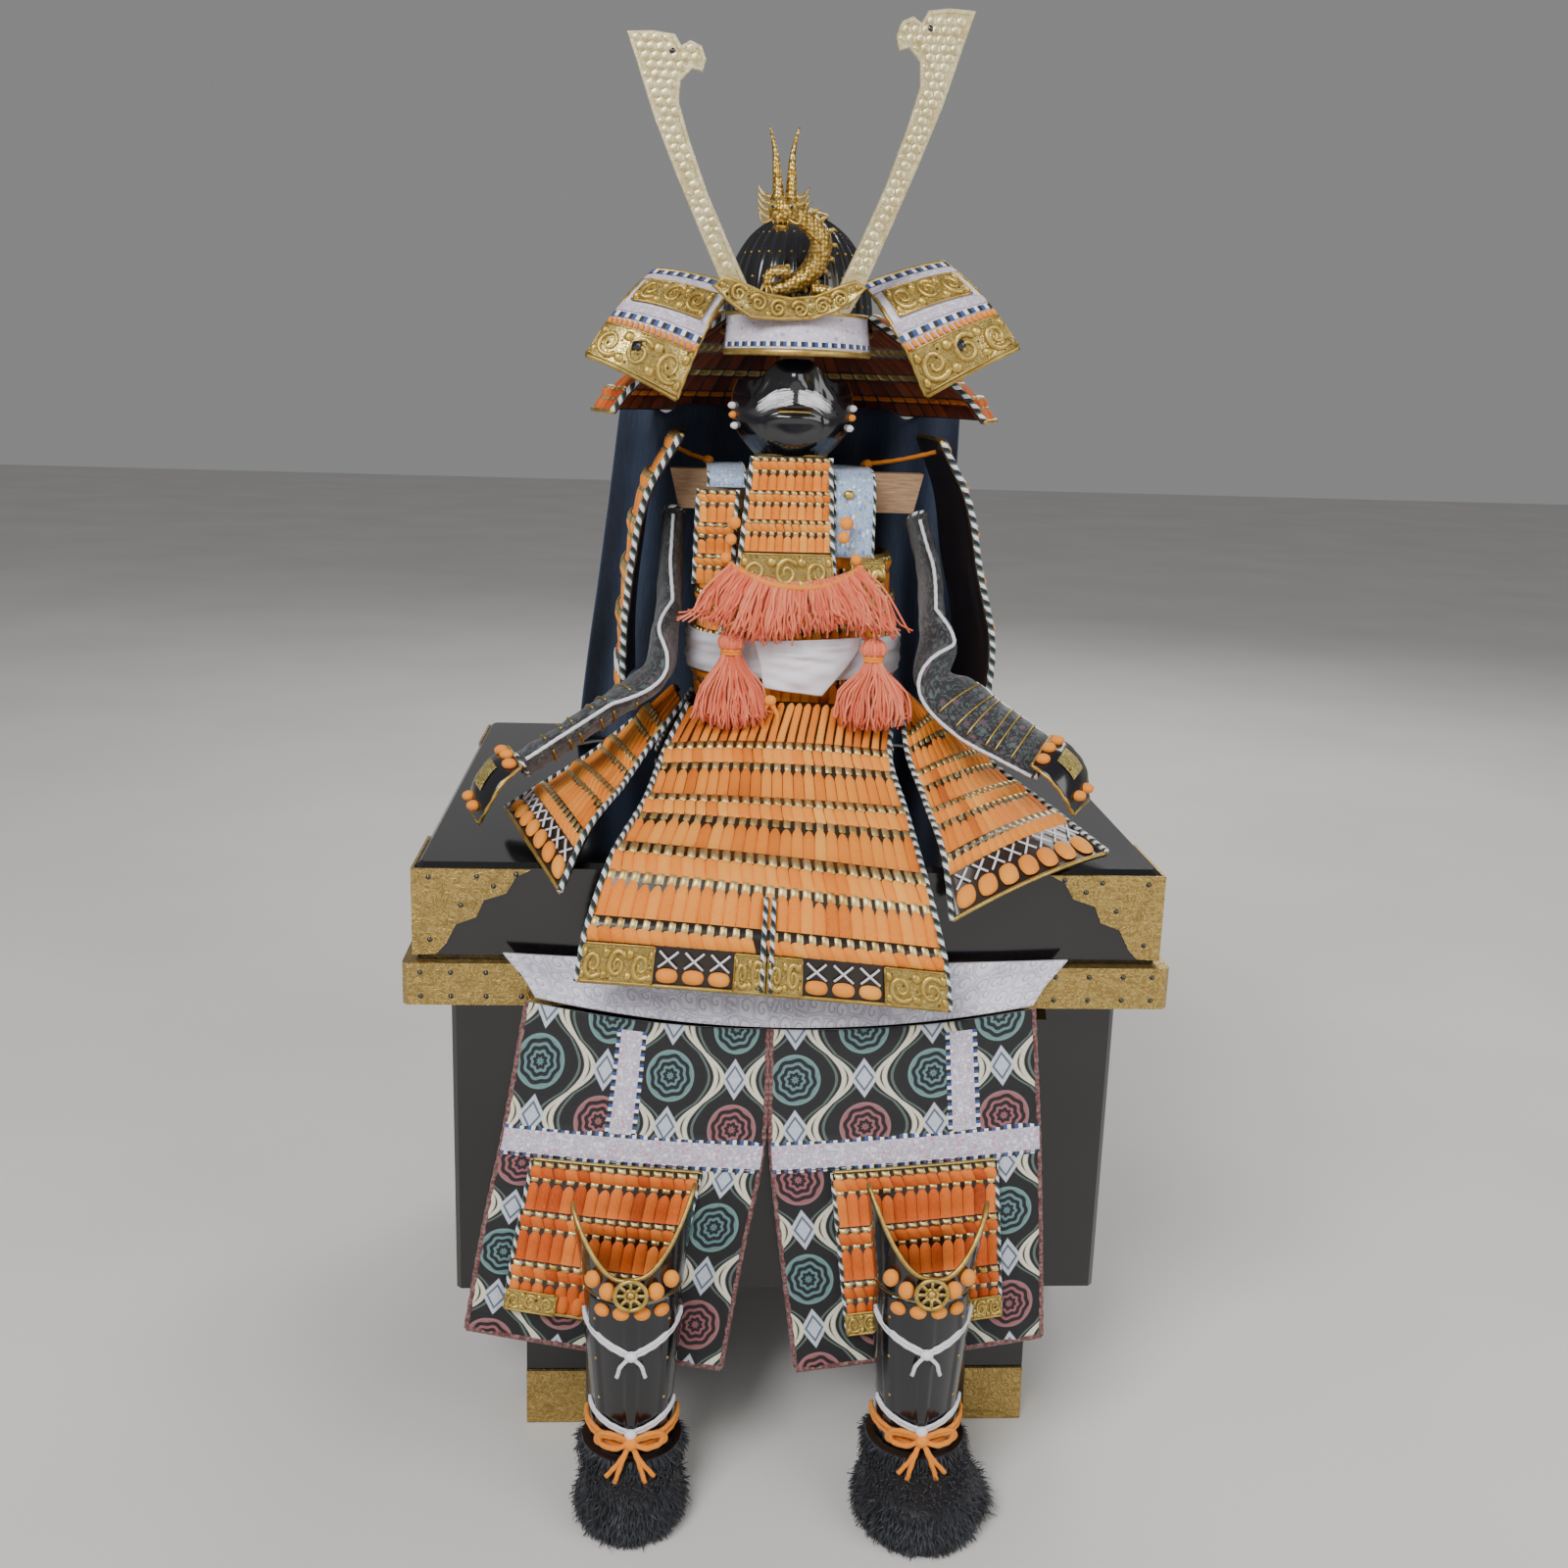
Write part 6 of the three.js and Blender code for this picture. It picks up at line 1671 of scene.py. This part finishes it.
def tassels():
    for one in TASSELS:
        piece = Piece(f"{one['name']}_silk", SALMON, ORANGE)
        x, y, top, foot = (one[k] for k in ("x", "y", "top", "foot"))
        egg(piece, np.array((x, y, top)), (5.0, 4.2, 4.6), 0, 0.6, 16, 12)
        for k in range(10):
            a = TAU * k / 10
            arc = [(x + 5.1 * math.cos(a) * c, y + 4.3 * math.sin(a) * c, top + 4.7 * s)
                   for c, s in ((0.3, 0.95), (0.85, 0.5), (1.02, 0.0), (0.85, -0.5))]
            thread(piece, arc, 0.75, 0, 0.5 + 0.3 * rng.random(), 8, 6)
        for z in (-3.4, -4.6):
            ring = [(x + 3.9 * math.cos(a), y + 3.3 * math.sin(a), top + z) for a in np.linspace(0, TAU, 25)]
            tube(piece, np.array(ring), 0.8, 1, 0.6, 8, closed=True)
        cord = curve_through([(x, y, top), (mix(x, one["cord"], 0.6), 67.6, 345), (one["cord"], 73.1, 352)],
                             24)
        tube(piece, cord, 1.15, 0, 0.6, 10, 3, 1.3)
        for k in range(150):
            side = rng.uniform(-1, 1)
            depth = rng.uniform(-1, 0.8)
            reach = one["reach"] + 1.5 + rng.normal(0, 1.2)
            wave = rng.normal(0, 0.9, 4)
            drop = foot + rng.normal(0, 2.0) + 4 * abs(side) ** 3
            points = [
                (x + side * 2.6, y + depth * 2, top - 3),
                (x + side * 5.2 + wave[0] * 0.6, y - 1 + depth * 3.2, top - 9),
                (x + side * reach * 0.8 + wave[1], y - 2.4 + depth * 3.4, mix(top, foot, 0.55)),
                (x + side * reach * 0.95 + wave[2], y - 4.2 + depth * 3.4, mix(top, foot, 0.82)),
                (x + side * reach + wave[3] * 1.3, y - 4.4 + depth * 3.6, max(drop, 297.5)),
            ]
            thread(piece, points, np.linspace(0.6, 0.42, 11), 0, rng.uniform(0.15, 1.0), 10)
        piece.build("silk", [one["name"]])
    piece = Piece("tassel_fringe_silk", SALMON, ORANGE)
    bar = curve_through([(-27, 64, 367), (-8, 61.6, 359), (14, 61.6, 359), (30, 64, 367)], 40)
    tube(piece, bar, 1.6, 1, 0.6, 10, 3, 1.4)
    for k in range(330):
        t = rng.random()
        side = 2 * t - 1
        x = mix(-26, 29, t)
        root = 359.6 + 6.6 * side * side
        wave = rng.normal(0, 1.0, 4)
        depth = rng.uniform(-1.2, 1.6)
        out = 1 + 0.25 * rng.standard_normal()
        points = [
            (x, 62 + 1.6 * side * side + depth * 0.4, root + 1),
            (x + 6 * side * out + wave[0] * 0.4, 60.5 + depth * 0.7, root - 5),
            (x + 10.5 * side * out + wave[1] * 0.8, 59.3 + depth, root - 11),
            (x + 14 * side * out + wave[2], 58.6 + depth, 346 + 2 * math.cos(9 * t)),
            (x + 17 * side * out + wave[3] * 1.6, 58.4 + depth,
             339.5 + 3 * math.cos(9 * t) + rng.normal(0, 1.6) + 3 * side * side),
        ]
        thread(piece, points, np.linspace(0.62, 0.42, 11), 0, rng.uniform(0.15, 1.0), 10)
    piece.build("silk", ["tassel_fringe"])
    knots = Piece("chest_knots", ORANGE, RIM, SALMON)
    for x, y, z, size in ((-24.5, 67.5, 384, 2.7), (-26, 67.2, 377, 2.5), (22.5, 66.0, 385, 2.9),
                          (21.5, 66.0, 379, 2.6), (-28, 65.0, 369.5, 2.4), (27, 64.5, 370, 2.4)):
        egg(knots, np.array((x, y, z)), (size, size * 0.8, size), 0, 0.65, 12, 9)
    loop = curve_through([(-8, 61.5, 309), (-11.5, 60, 303), (-9.5, 59.5, 296), (-6, 59.5, 295.5),
                          (-4.6, 60, 303), (-8, 61.5, 309)], 30)
    tube(knots, loop, 1.1, 0, 0.6, 8, 3, 1.4)
    egg(knots, np.array((-8, 61.2, 309.5)), (2.8, 2.2, 2.4), 0, 0.7, 12, 9)
    knots.build("silk")


BAND = table(EDGES, (-115, -6, 219, 112, -6, 218, 0), (-108, -6.6, 210, 105, -6.6, 208.5, 0),
             (-102, -12, 202, 98, -12, 200, 0))
PANELS = {
    "left": {"top": (0.015, 0.478), "block": (0.13, 0.77), "band": 0.38,
             "rows": ((-105, -12.4, 0, -9.2, -12.4, 0, 1), (-113, -22, 152, -10.5, -22, 144, 2),
                      (-121, -30, 112, -18.5, -30, 99, 2), (-128, -36, 71, -26, -36, 52, 1))},
    "right": {"top": (0.482, 0.985), "block": (0.22, 0.83), "band": 0.66,
              "rows": ((-7.6, -12.4, 0, 98, -12.4, 0, 1), (-7, -22, 144, 101, -22, 153, 2),
                       (-1.5, -30, 98, 103, -30, 110, 2), (5, -36, 51, 105, -36, 66, 1))},
}
BLOCK_V = (0.42, 0.9)
CLOTH, GAP = 1.4, 0.3


def band_surface(u, v):
    return sheet_surface(BAND, (0, -1, 0))(u, v) + stack(0, 0, -4 * u * (1 - u) * (3 + 8 * v))


def panel_surface(side):
    form = PANELS[side]
    low, high = form["top"]

    def edge(u):
        u = np.asarray(u, float)
        return band_surface(mix(low, high, u), np.ones_like(u))[..., 2] - GAP

    rows = [list(r) for r in form["rows"]]
    rows[0][2], rows[0][5] = float(edge(0.0)), float(edge(1.0))
    base = sheet_surface(table(EDGES, *rows), (0, -1, 0))

    def at(u, v):
        p = base(u, v)
        p[..., 2] += (edge(u) - mix(edge(0.0), edge(1.0), u)) * np.maximum(0, 1 - 3 * v)
        return p

    return at


def thigh_guard():
    piece = Piece("thigh_band_cloth", SWIRL, BINDING)

    def band_wave(u, v):
        return CLOTH + 0.22 * np.sin(TAU * (5.3 * u + 0.4 * v)) + 0.3 * crease(u, v, 0.07, 0.05, 0.0, 1, 0.01)

    wall(piece, band_surface, spread(150), spread(14), band_wave, 0.0, 0, size=(227, 20))
    made = piece.build("white_cloth", ["thigh_band"])

    for side in ("left", "right"):
        surface = panel_surface(side)
        form = PANELS[side]
        piece = Piece(f"thigh_panel_{side}_brocade", BROCADE, BINDING)
        trim = Piece(f"thigh_panel_{side}_trim", BROCADE, BINDING, LAVENDER)

        def face(u, v):
            seam = 0.7 * smoothstep(0.05 - np.abs(v - 0.37), 0, 0.012)
            soft = (0.14 * np.sin(TAU * (2.3 * u + 0.8 * v)) * np.sin(math.pi * v)
                    + 0.08 * np.sin(TAU * (5 * u - 1.2 * v)))
            hem = crease(u, v, 0.06, 0.02, 0.5, 0.3, 0.02) + crease(u, v, 0.93, -0.03, 0.55, 0.3, 0.02)
            return CLOTH + seam + (soft + hem) * (1 - smoothstep(0.05 - np.abs(v - 0.37), 0, 0.012))

        wall(piece, surface, spread(90), spread(110), face, 0.0, 0, 1, size=(104, 150))
        a, b = grid_of(spread(90), np.linspace(0.322, 0.418, 9))
        trim.grid(raised(surface, a, b, face(a, b) + 0.12), 2, np.stack([a * 104, (b - 0.322) / 0.096], -1),
                  0.5)
        u0 = form["band"]
        a, b = grid_of(spread(8, u0, u0 + 0.12), spread(40, 0.03, 0.325))
        trim.grid(raised(surface, a, b, face(a, b) + 0.14), 2, np.stack([b * 150, (a - u0) / 0.12], -1), 0.5)
        edge_braids(trim, surface, 0.7, 1, 1.25, steps=90)
        foot_rim(trim, surface, 1.0, 0.7, 1, 1.25, steps=70)
        trim.build("brocade")
        made = piece.build("brocade", [f"thigh_panel_{side}"])

        low, high = form["block"]

        def block(u, v):
            pu, pv = mix(low, high, u), mix(BLOCK_V[0], BLOCK_V[1], v)
            return surface(pu, pv) + normals(surface, pu, pv) * (CLOTH + GAP + 0.2)

        piece = laced_piece(f"thigh_plates_{side}_laced", DEEP)
        laced(piece, block, even_rows(3), (14, 14, 14), LACED, style="thigh")
        relief_plate(piece, block, (0.0, 0.3), (0.87, 1.0), 3.2, 5, 6)
        relief_plate(piece, block, (0.74, 1.0), (0.87, 1.0), 3.2, 5, 6)
        big_bumps(piece, block, (0.3, 0.74), (0.87, 0.99), 2.2, 1, 5, 1.2)
        edge_braids(piece, block, 1.8, 4, 1.0)
        foot_rim(piece, block, 1.0, 1.2, 6, 0.8)
        foot_rim(piece, block, 0.0, 1.4, 6, 0.9)
        piece.build("lacing", [f"thigh_plates_{side}"])


LEG_Y = -42.2
LEGS = {"left": {"x": -61.5, "wing": 1, "half": 21, "front": -78},
        "right": {"x": 54, "wing": -1, "half": 25, "front": -86}}
SHIN = table(LEVELS, (96, 17.5, 17), (80, 18, 17.5), (62, 16.5, 16), (44, 15, 14.5), (27.5, 15, 14.5))
KNEE = table(LEVELS, (107, 23, 19.5), (96.5, 18.2, 17.6))
SHOE_BACK, SHOE_TOP = -25, 27


def shoe_surface(form):
    x, half = form["x"], form["half"]
    middle, deep = (form["front"] + SHOE_BACK) / 2, (SHOE_BACK - form["front"]) / 2
    rows = table("z rx ry cy", (0, half * 0.9, deep * 0.9, middle), (4, half, deep, middle),
                 (10, half * 0.98, deep * 0.98, middle),
                 (17, half * 0.86, deep * 0.86, middle), (22, 20.5, 20.5, LEG_Y), (SHOE_TOP, 20, 20, LEG_Y))

    def at(u, v):
        angle = TAU * u
        return stack(x + smooth(rows["rx"], v) * np.sin(angle),
                     smooth(rows["cy"], v) - smooth(rows["ry"], v) * np.cos(angle),
                     smooth(rows["z"], v))

    return at


def fur(piece, surface, count, look, length, v=(0.0, 1.0)):
    """Short curved blades that lie forwards and down over a surface."""
    u = rng.random(count)
    w = rng.uniform(v[0], v[1], count)
    root = surface(u, w)
    e = 1e-3
    up = surface(u, np.minimum(w + e, 1)) - surface(u, np.maximum(w - e, 0))
    round_ = surface(np.minimum(u + e, 1), w) - surface(np.maximum(u - e, 0), w)
    out = np.cross(round_, up)
    out /= np.linalg.norm(out, axis=1, keepdims=True)
    flow = -up / np.linalg.norm(up, axis=1, keepdims=True) + 0.35 * rng.standard_normal((count, 3))
    flow /= np.linalg.norm(flow, axis=1, keepdims=True)
    side = np.cross(out, flow)
    long = length * rng.uniform(0.6, 1.2, count)[:, None]
    spine = [root - out * 0.3, root + out * 1.0 + flow * long * 0.35, root + out * 1.5 + flow * long * 0.75,
             root + out * 1.2 + flow * long]
    width = (0.34, 0.3, 0.2, 0.03)
    tone_and_light = rng.uniform(0, 1, count) ** 1.6
    for k in range(count):
        points = np.array([[s[k] - side[k] * w_, s[k] + side[k] * w_] for s, w_ in zip(spine, width)])
        points[..., 2] = np.maximum(points[..., 2], 0.1)
        piece.grid(points, look, None, tone_and_light[k])


def lower_legs():
    for side, form in LEGS.items():
        x = form["x"]
        surface = ring_surface(x, LEG_Y, SHIN, -100, 100)
        piece = Piece(f"shin_guard_{side}_plate", BLACK, INNER, RIM, WHITE_CORD, ORANGE, BRAID)

        def ridged(u, v):
            seam = np.minimum(np.abs(np.abs(u - 0.5) - 0.25), np.abs(u - 0.5))
            return 1.6 + 0.8 * smoothstep(0.05 - seam, 0, 0.02)

        wall(piece, surface, spread(90), spread(30), ridged, 0.0, 0, 1)
        edge_braids(piece, surface, 0.9, 2, 0.9)
        for u in (0.27, 0.73):
            for v in (0.15, 0.4, 0.65, 0.9):
                at = spot(surface, u, v, 2.3)
                rivets(piece, [(at, normals(surface, np.array(u), np.array(v)))], 0.7, 2)
        for z_top, z_low, size in ((86, 74, 1.5), (46, 38, 1.3)):
            for s in (-1, 1):
                t = np.linspace(0, 1, 24)
                angle = s * np.radians(mix(75, 2, t))
                r = 19.8 if z_top > 60 else 17.4
                z = mix(z_top, z_low, t ** 0.8)
                path = np.stack([x + r * np.sin(angle), LEG_Y - (r - 0.3) * np.cos(angle), z], -1)
                for dz in (-0.9, 0.9):
                    tube(piece, path + (0, 0, dz * size * 0.6), size * 0.62, 3, 0.6, 8, 3, 1.3,
                         across=(0, 0, 1.0))
            egg(piece, np.array((x, LEG_Y - 20.6 if z_top > 60 else LEG_Y - 18.2, z_low)), (2.6, 2.0, 2.2), 3,
                0.6, 12, 9)
            for s in (-1, 1):
                y = LEG_Y - 20.0 if z_top > 60 else LEG_Y - 17.8
                tail = curve_through([(x, y - 0.8, z_low), (x + 4 * s, y - 1.0, z_low - 4),
                                      (x + 5.5 * s, y - 0.6, z_low - 9)], 12)
                if z_top > 60:
                    tube(piece, tail, 0.9, 3, 0.6, 8, 3, 1.3)
        for k in range(4):
            angle = math.radians(-36 + 24 * k)
            egg(piece, np.array((x + 19.6 * math.sin(angle), LEG_Y - 19.2 * math.cos(angle), 91.5)),
                (3.4, 2.4, 2.6), 4, 0.7, 12, 9,
                [[math.cos(angle), -math.sin(angle), 0], [math.sin(angle), math.cos(angle), 0], [0, 0, 1]])
        piece.build("black_plate", [f"shin_guard_{side}"])

        def wings(a, wing=form["wing"]):
            return 27 * smoothstep(np.abs(np.degrees(a)), 6, 84) + 4 * wing * np.sin(a)

        surface = ring_surface(x, LEG_Y, KNEE, -84, 84, wings)
        piece = Piece(f"knee_guard_{side}_plate", BLACK, INNER, RIM, ORANGE, RELIEF)
        wall(piece, surface, spread(70), spread(16), 1.6, 0.0, 0, 1)
        foot_rim(piece, surface, 0.0, 0.9, 2, 0.95, steps=60)
        foot_rim(piece, surface, 1.0, 0.9, 2, 0.8, steps=60)
        middle = np.array((x - 0.3 * form["wing"], LEG_Y - 22.6, 101.5))
        turn = np.stack([(1, 0, 0), (0, 0, 1), (0, -1, 0)], 1)
        ring = np.linspace(0, TAU, 41)
        for radius, thick in ((6.1, 0.9), (2.3, 0.7)):
            path = middle + np.stack([radius * np.cos(ring), 0 * ring, radius * np.sin(ring)], -1)
            tube(piece, path, thick, 2, 0.7, 8, closed=True)
        for k in range(8):
            a = TAU * k / 8
            spoke = [middle + (2.3 * math.cos(a), 0, 2.3 * math.sin(a)),
                     middle + (6 * math.cos(a), 0, 6 * math.sin(a))]
            tube(piece, np.array(spoke), 0.75, 2, 0.7, 7)
        egg(piece, middle + (0, 0.4, 0), (1.7, 1.7, 1.3), 2, 0.8, 12, 8, turn)
        disc = middle + np.array([[(r * math.cos(a), 0.9, r * math.sin(a)) for a in ring[:-1]]
                                  for r in (0.1, 6.4)])
        piece.grid(disc, 0, None, 0.4, wrap=True, flip=True)
        for s in (-1, 1):
            for k in range(2):
                angle = math.radians(s * (24 + 17 * k))
                z = 102 + 3.4 * k
                egg(piece, np.array((x + 23.0 * math.sin(angle), LEG_Y - 22 * math.cos(angle), z)),
                    (3.2, 2.6, 3.6), 3, 0.7, 12, 9)
        piece.build("black_plate", [f"knee_guard_{side}"])

        surface = shoe_surface(form)
        piece = Piece(f"shoe_{side}_fur", FUR, INNER, ORANGE)

        a, b = grid_of(spread(56)[:-1], np.linspace(0, 1, 22))
        rows = piece.grid(surface(a, b), 0, None, 0.15, wrap=True, flip=True)
        piece.cap(rows[0][:-1], 0)
        inner = np.array([[(x + r * math.sin(TAU * k / 56), LEG_Y - r * math.cos(TAU * k / 56),
                            z) for k in range(56)]
                          for r, z in ((20, SHOE_TOP), (18.4, SHOE_TOP), (14.2, SHOE_TOP - 0.4), (13.2, 12),
                                       (11, 8))])
        made = piece.grid(inner, 1, None, 0.2, wrap=True, flip=True)
        piece.cap(made[-1][:-1], 1, flip=True)
        fur(piece, surface, 5200, 0, 4.2)
        if side == "right":
            far = shoe_surface({**form, "half": form["half"] + 1.0})
            fur(piece, lambda u, v: far(0.2 + 0.12 * u, 0.2 + 0.3 * v), 900, 0, 7.0)
        piece.build("fur", [f"shoe_{side}"])

        piece = Piece(f"ankle_bow_{side}_silk", ORANGE)
        y, z = LEG_Y - 17.5, 34.6
        egg(piece, np.array((x, y - 1.6, z)), (3.0, 2.6, 2.9), 0, 0.7, 14, 10)
        for s in (-1, 1):
            for spare in (0, 1):
                lift = 1.5 * spare
                loop = curve_through([(x, y - 1, z), (x + s * 6, y - 2.4 - lift * 0.4, z + 3.4 + lift),
                                      (x + s * (13 - spare), y + 0.4 - lift * 0.5, z + 2.4 + lift),
                                      (x + s * (12.6 - spare), y + 0.2 - lift * 0.5, z - 0.6),
                                      (x + s * 6, y - 2.4 - lift * 0.4, z - 1.2), (x, y - 1, z)], 36)
                tube(piece, loop, 1.15, 0, 0.6, 9, 3, 1.4)
                tail = curve_through([(x, y - 1, z), (x + s * (4 - spare), y - 4, z - 6),
                                      (x + s * (9.5 - 3.5 * spare), y - 5.4 - lift, z - 12 - 2 * spare)], 22)
                tube(piece, tail, 1.1, 0, 0.6, 9, 3, 1.4)
        t = np.linspace(0, 1, 30)
        for s in (-1, 1):
            angle = s * np.radians(mix(0, 95, t))
            for dz in (-1.2, 1.2):
                path = np.stack([x + 18.2 * np.sin(angle), LEG_Y - 18 * np.cos(angle), z - 1 + dz + 4 * t],
                                -1)
                tube(piece, path, 1.05, 0, 0.6, 8, 3, 1.4)
        piece.build("silk", [f"ankle_bow_{side}"])


make_camera()
chest()
stand()
skirt_front()
side_skirt("skirt_right_laced", SKIRT_RIGHT, (0.5, -0.5, 1), "skirt_right")
side_skirt("skirt_left_laced", SKIRT_LEFT, (-0.5, -0.5, 1), "skirt_left")
skirt_back()
body_armour()
chest_plates()
shoulder_guards()
helmet_bowl()
visor()
neck_guard()
turn_backs()
horns()
crest()
face_mask()
cape()
sash()
straps()
sleeves()
hand_guards()
tassels()
thigh_guard()
lower_legs()


# Studio

def studio():
    floor = bpy.data.meshes.new("floor")
    floor.from_pydata([(-6, -6, -0.0005), (6, -6, -0.0005), (6, 6, -0.0005), (-6, 6, -0.0005)], [],
                      [(0, 1, 2, 3)])
    made = bpy.data.objects.new("floor", floor)
    bpy.context.scene.collection.objects.link(made)
    p = Paint("pale_floor")
    at = p.vector(*p.place())
    made.data.materials.append(p.finish(p.ramp(p.noise(at, 0.004, 2), (0.3, "#d6d4d0"), (0.7, "#dedcd8")),
                                        0.8))
    world = bpy.data.worlds.new("studio")
    bpy.context.scene.world = world
    world.use_nodes = True
    world.node_tree.nodes["Background"].inputs[0].default_value = hexed("#dcdcde")
    world.node_tree.nodes["Background"].inputs[1].default_value = 0.34
    lamps = (
        ("key", (-0.7, -1.3, 1.5), 0.9, 34), ("fill", (1.2, -1.1, 0.9), 1.2, 14),
        ("back", (0.5, 1.4, 1.4), 1.0, 16),
    )
    for name, at, size, power in lamps:
        lamp = bpy.data.lights.new(name, "AREA")
        lamp.size, lamp.energy = size, power
        holder = bpy.data.objects.new(name, lamp)
        bpy.context.scene.collection.objects.link(holder)
        holder.location = at
        holder.rotation_mode = "QUATERNION"
        holder.rotation_quaternion = (Vector((0, 0, 0.28)) - Vector(at)).to_track_quat("-Z", "Y")


studio()
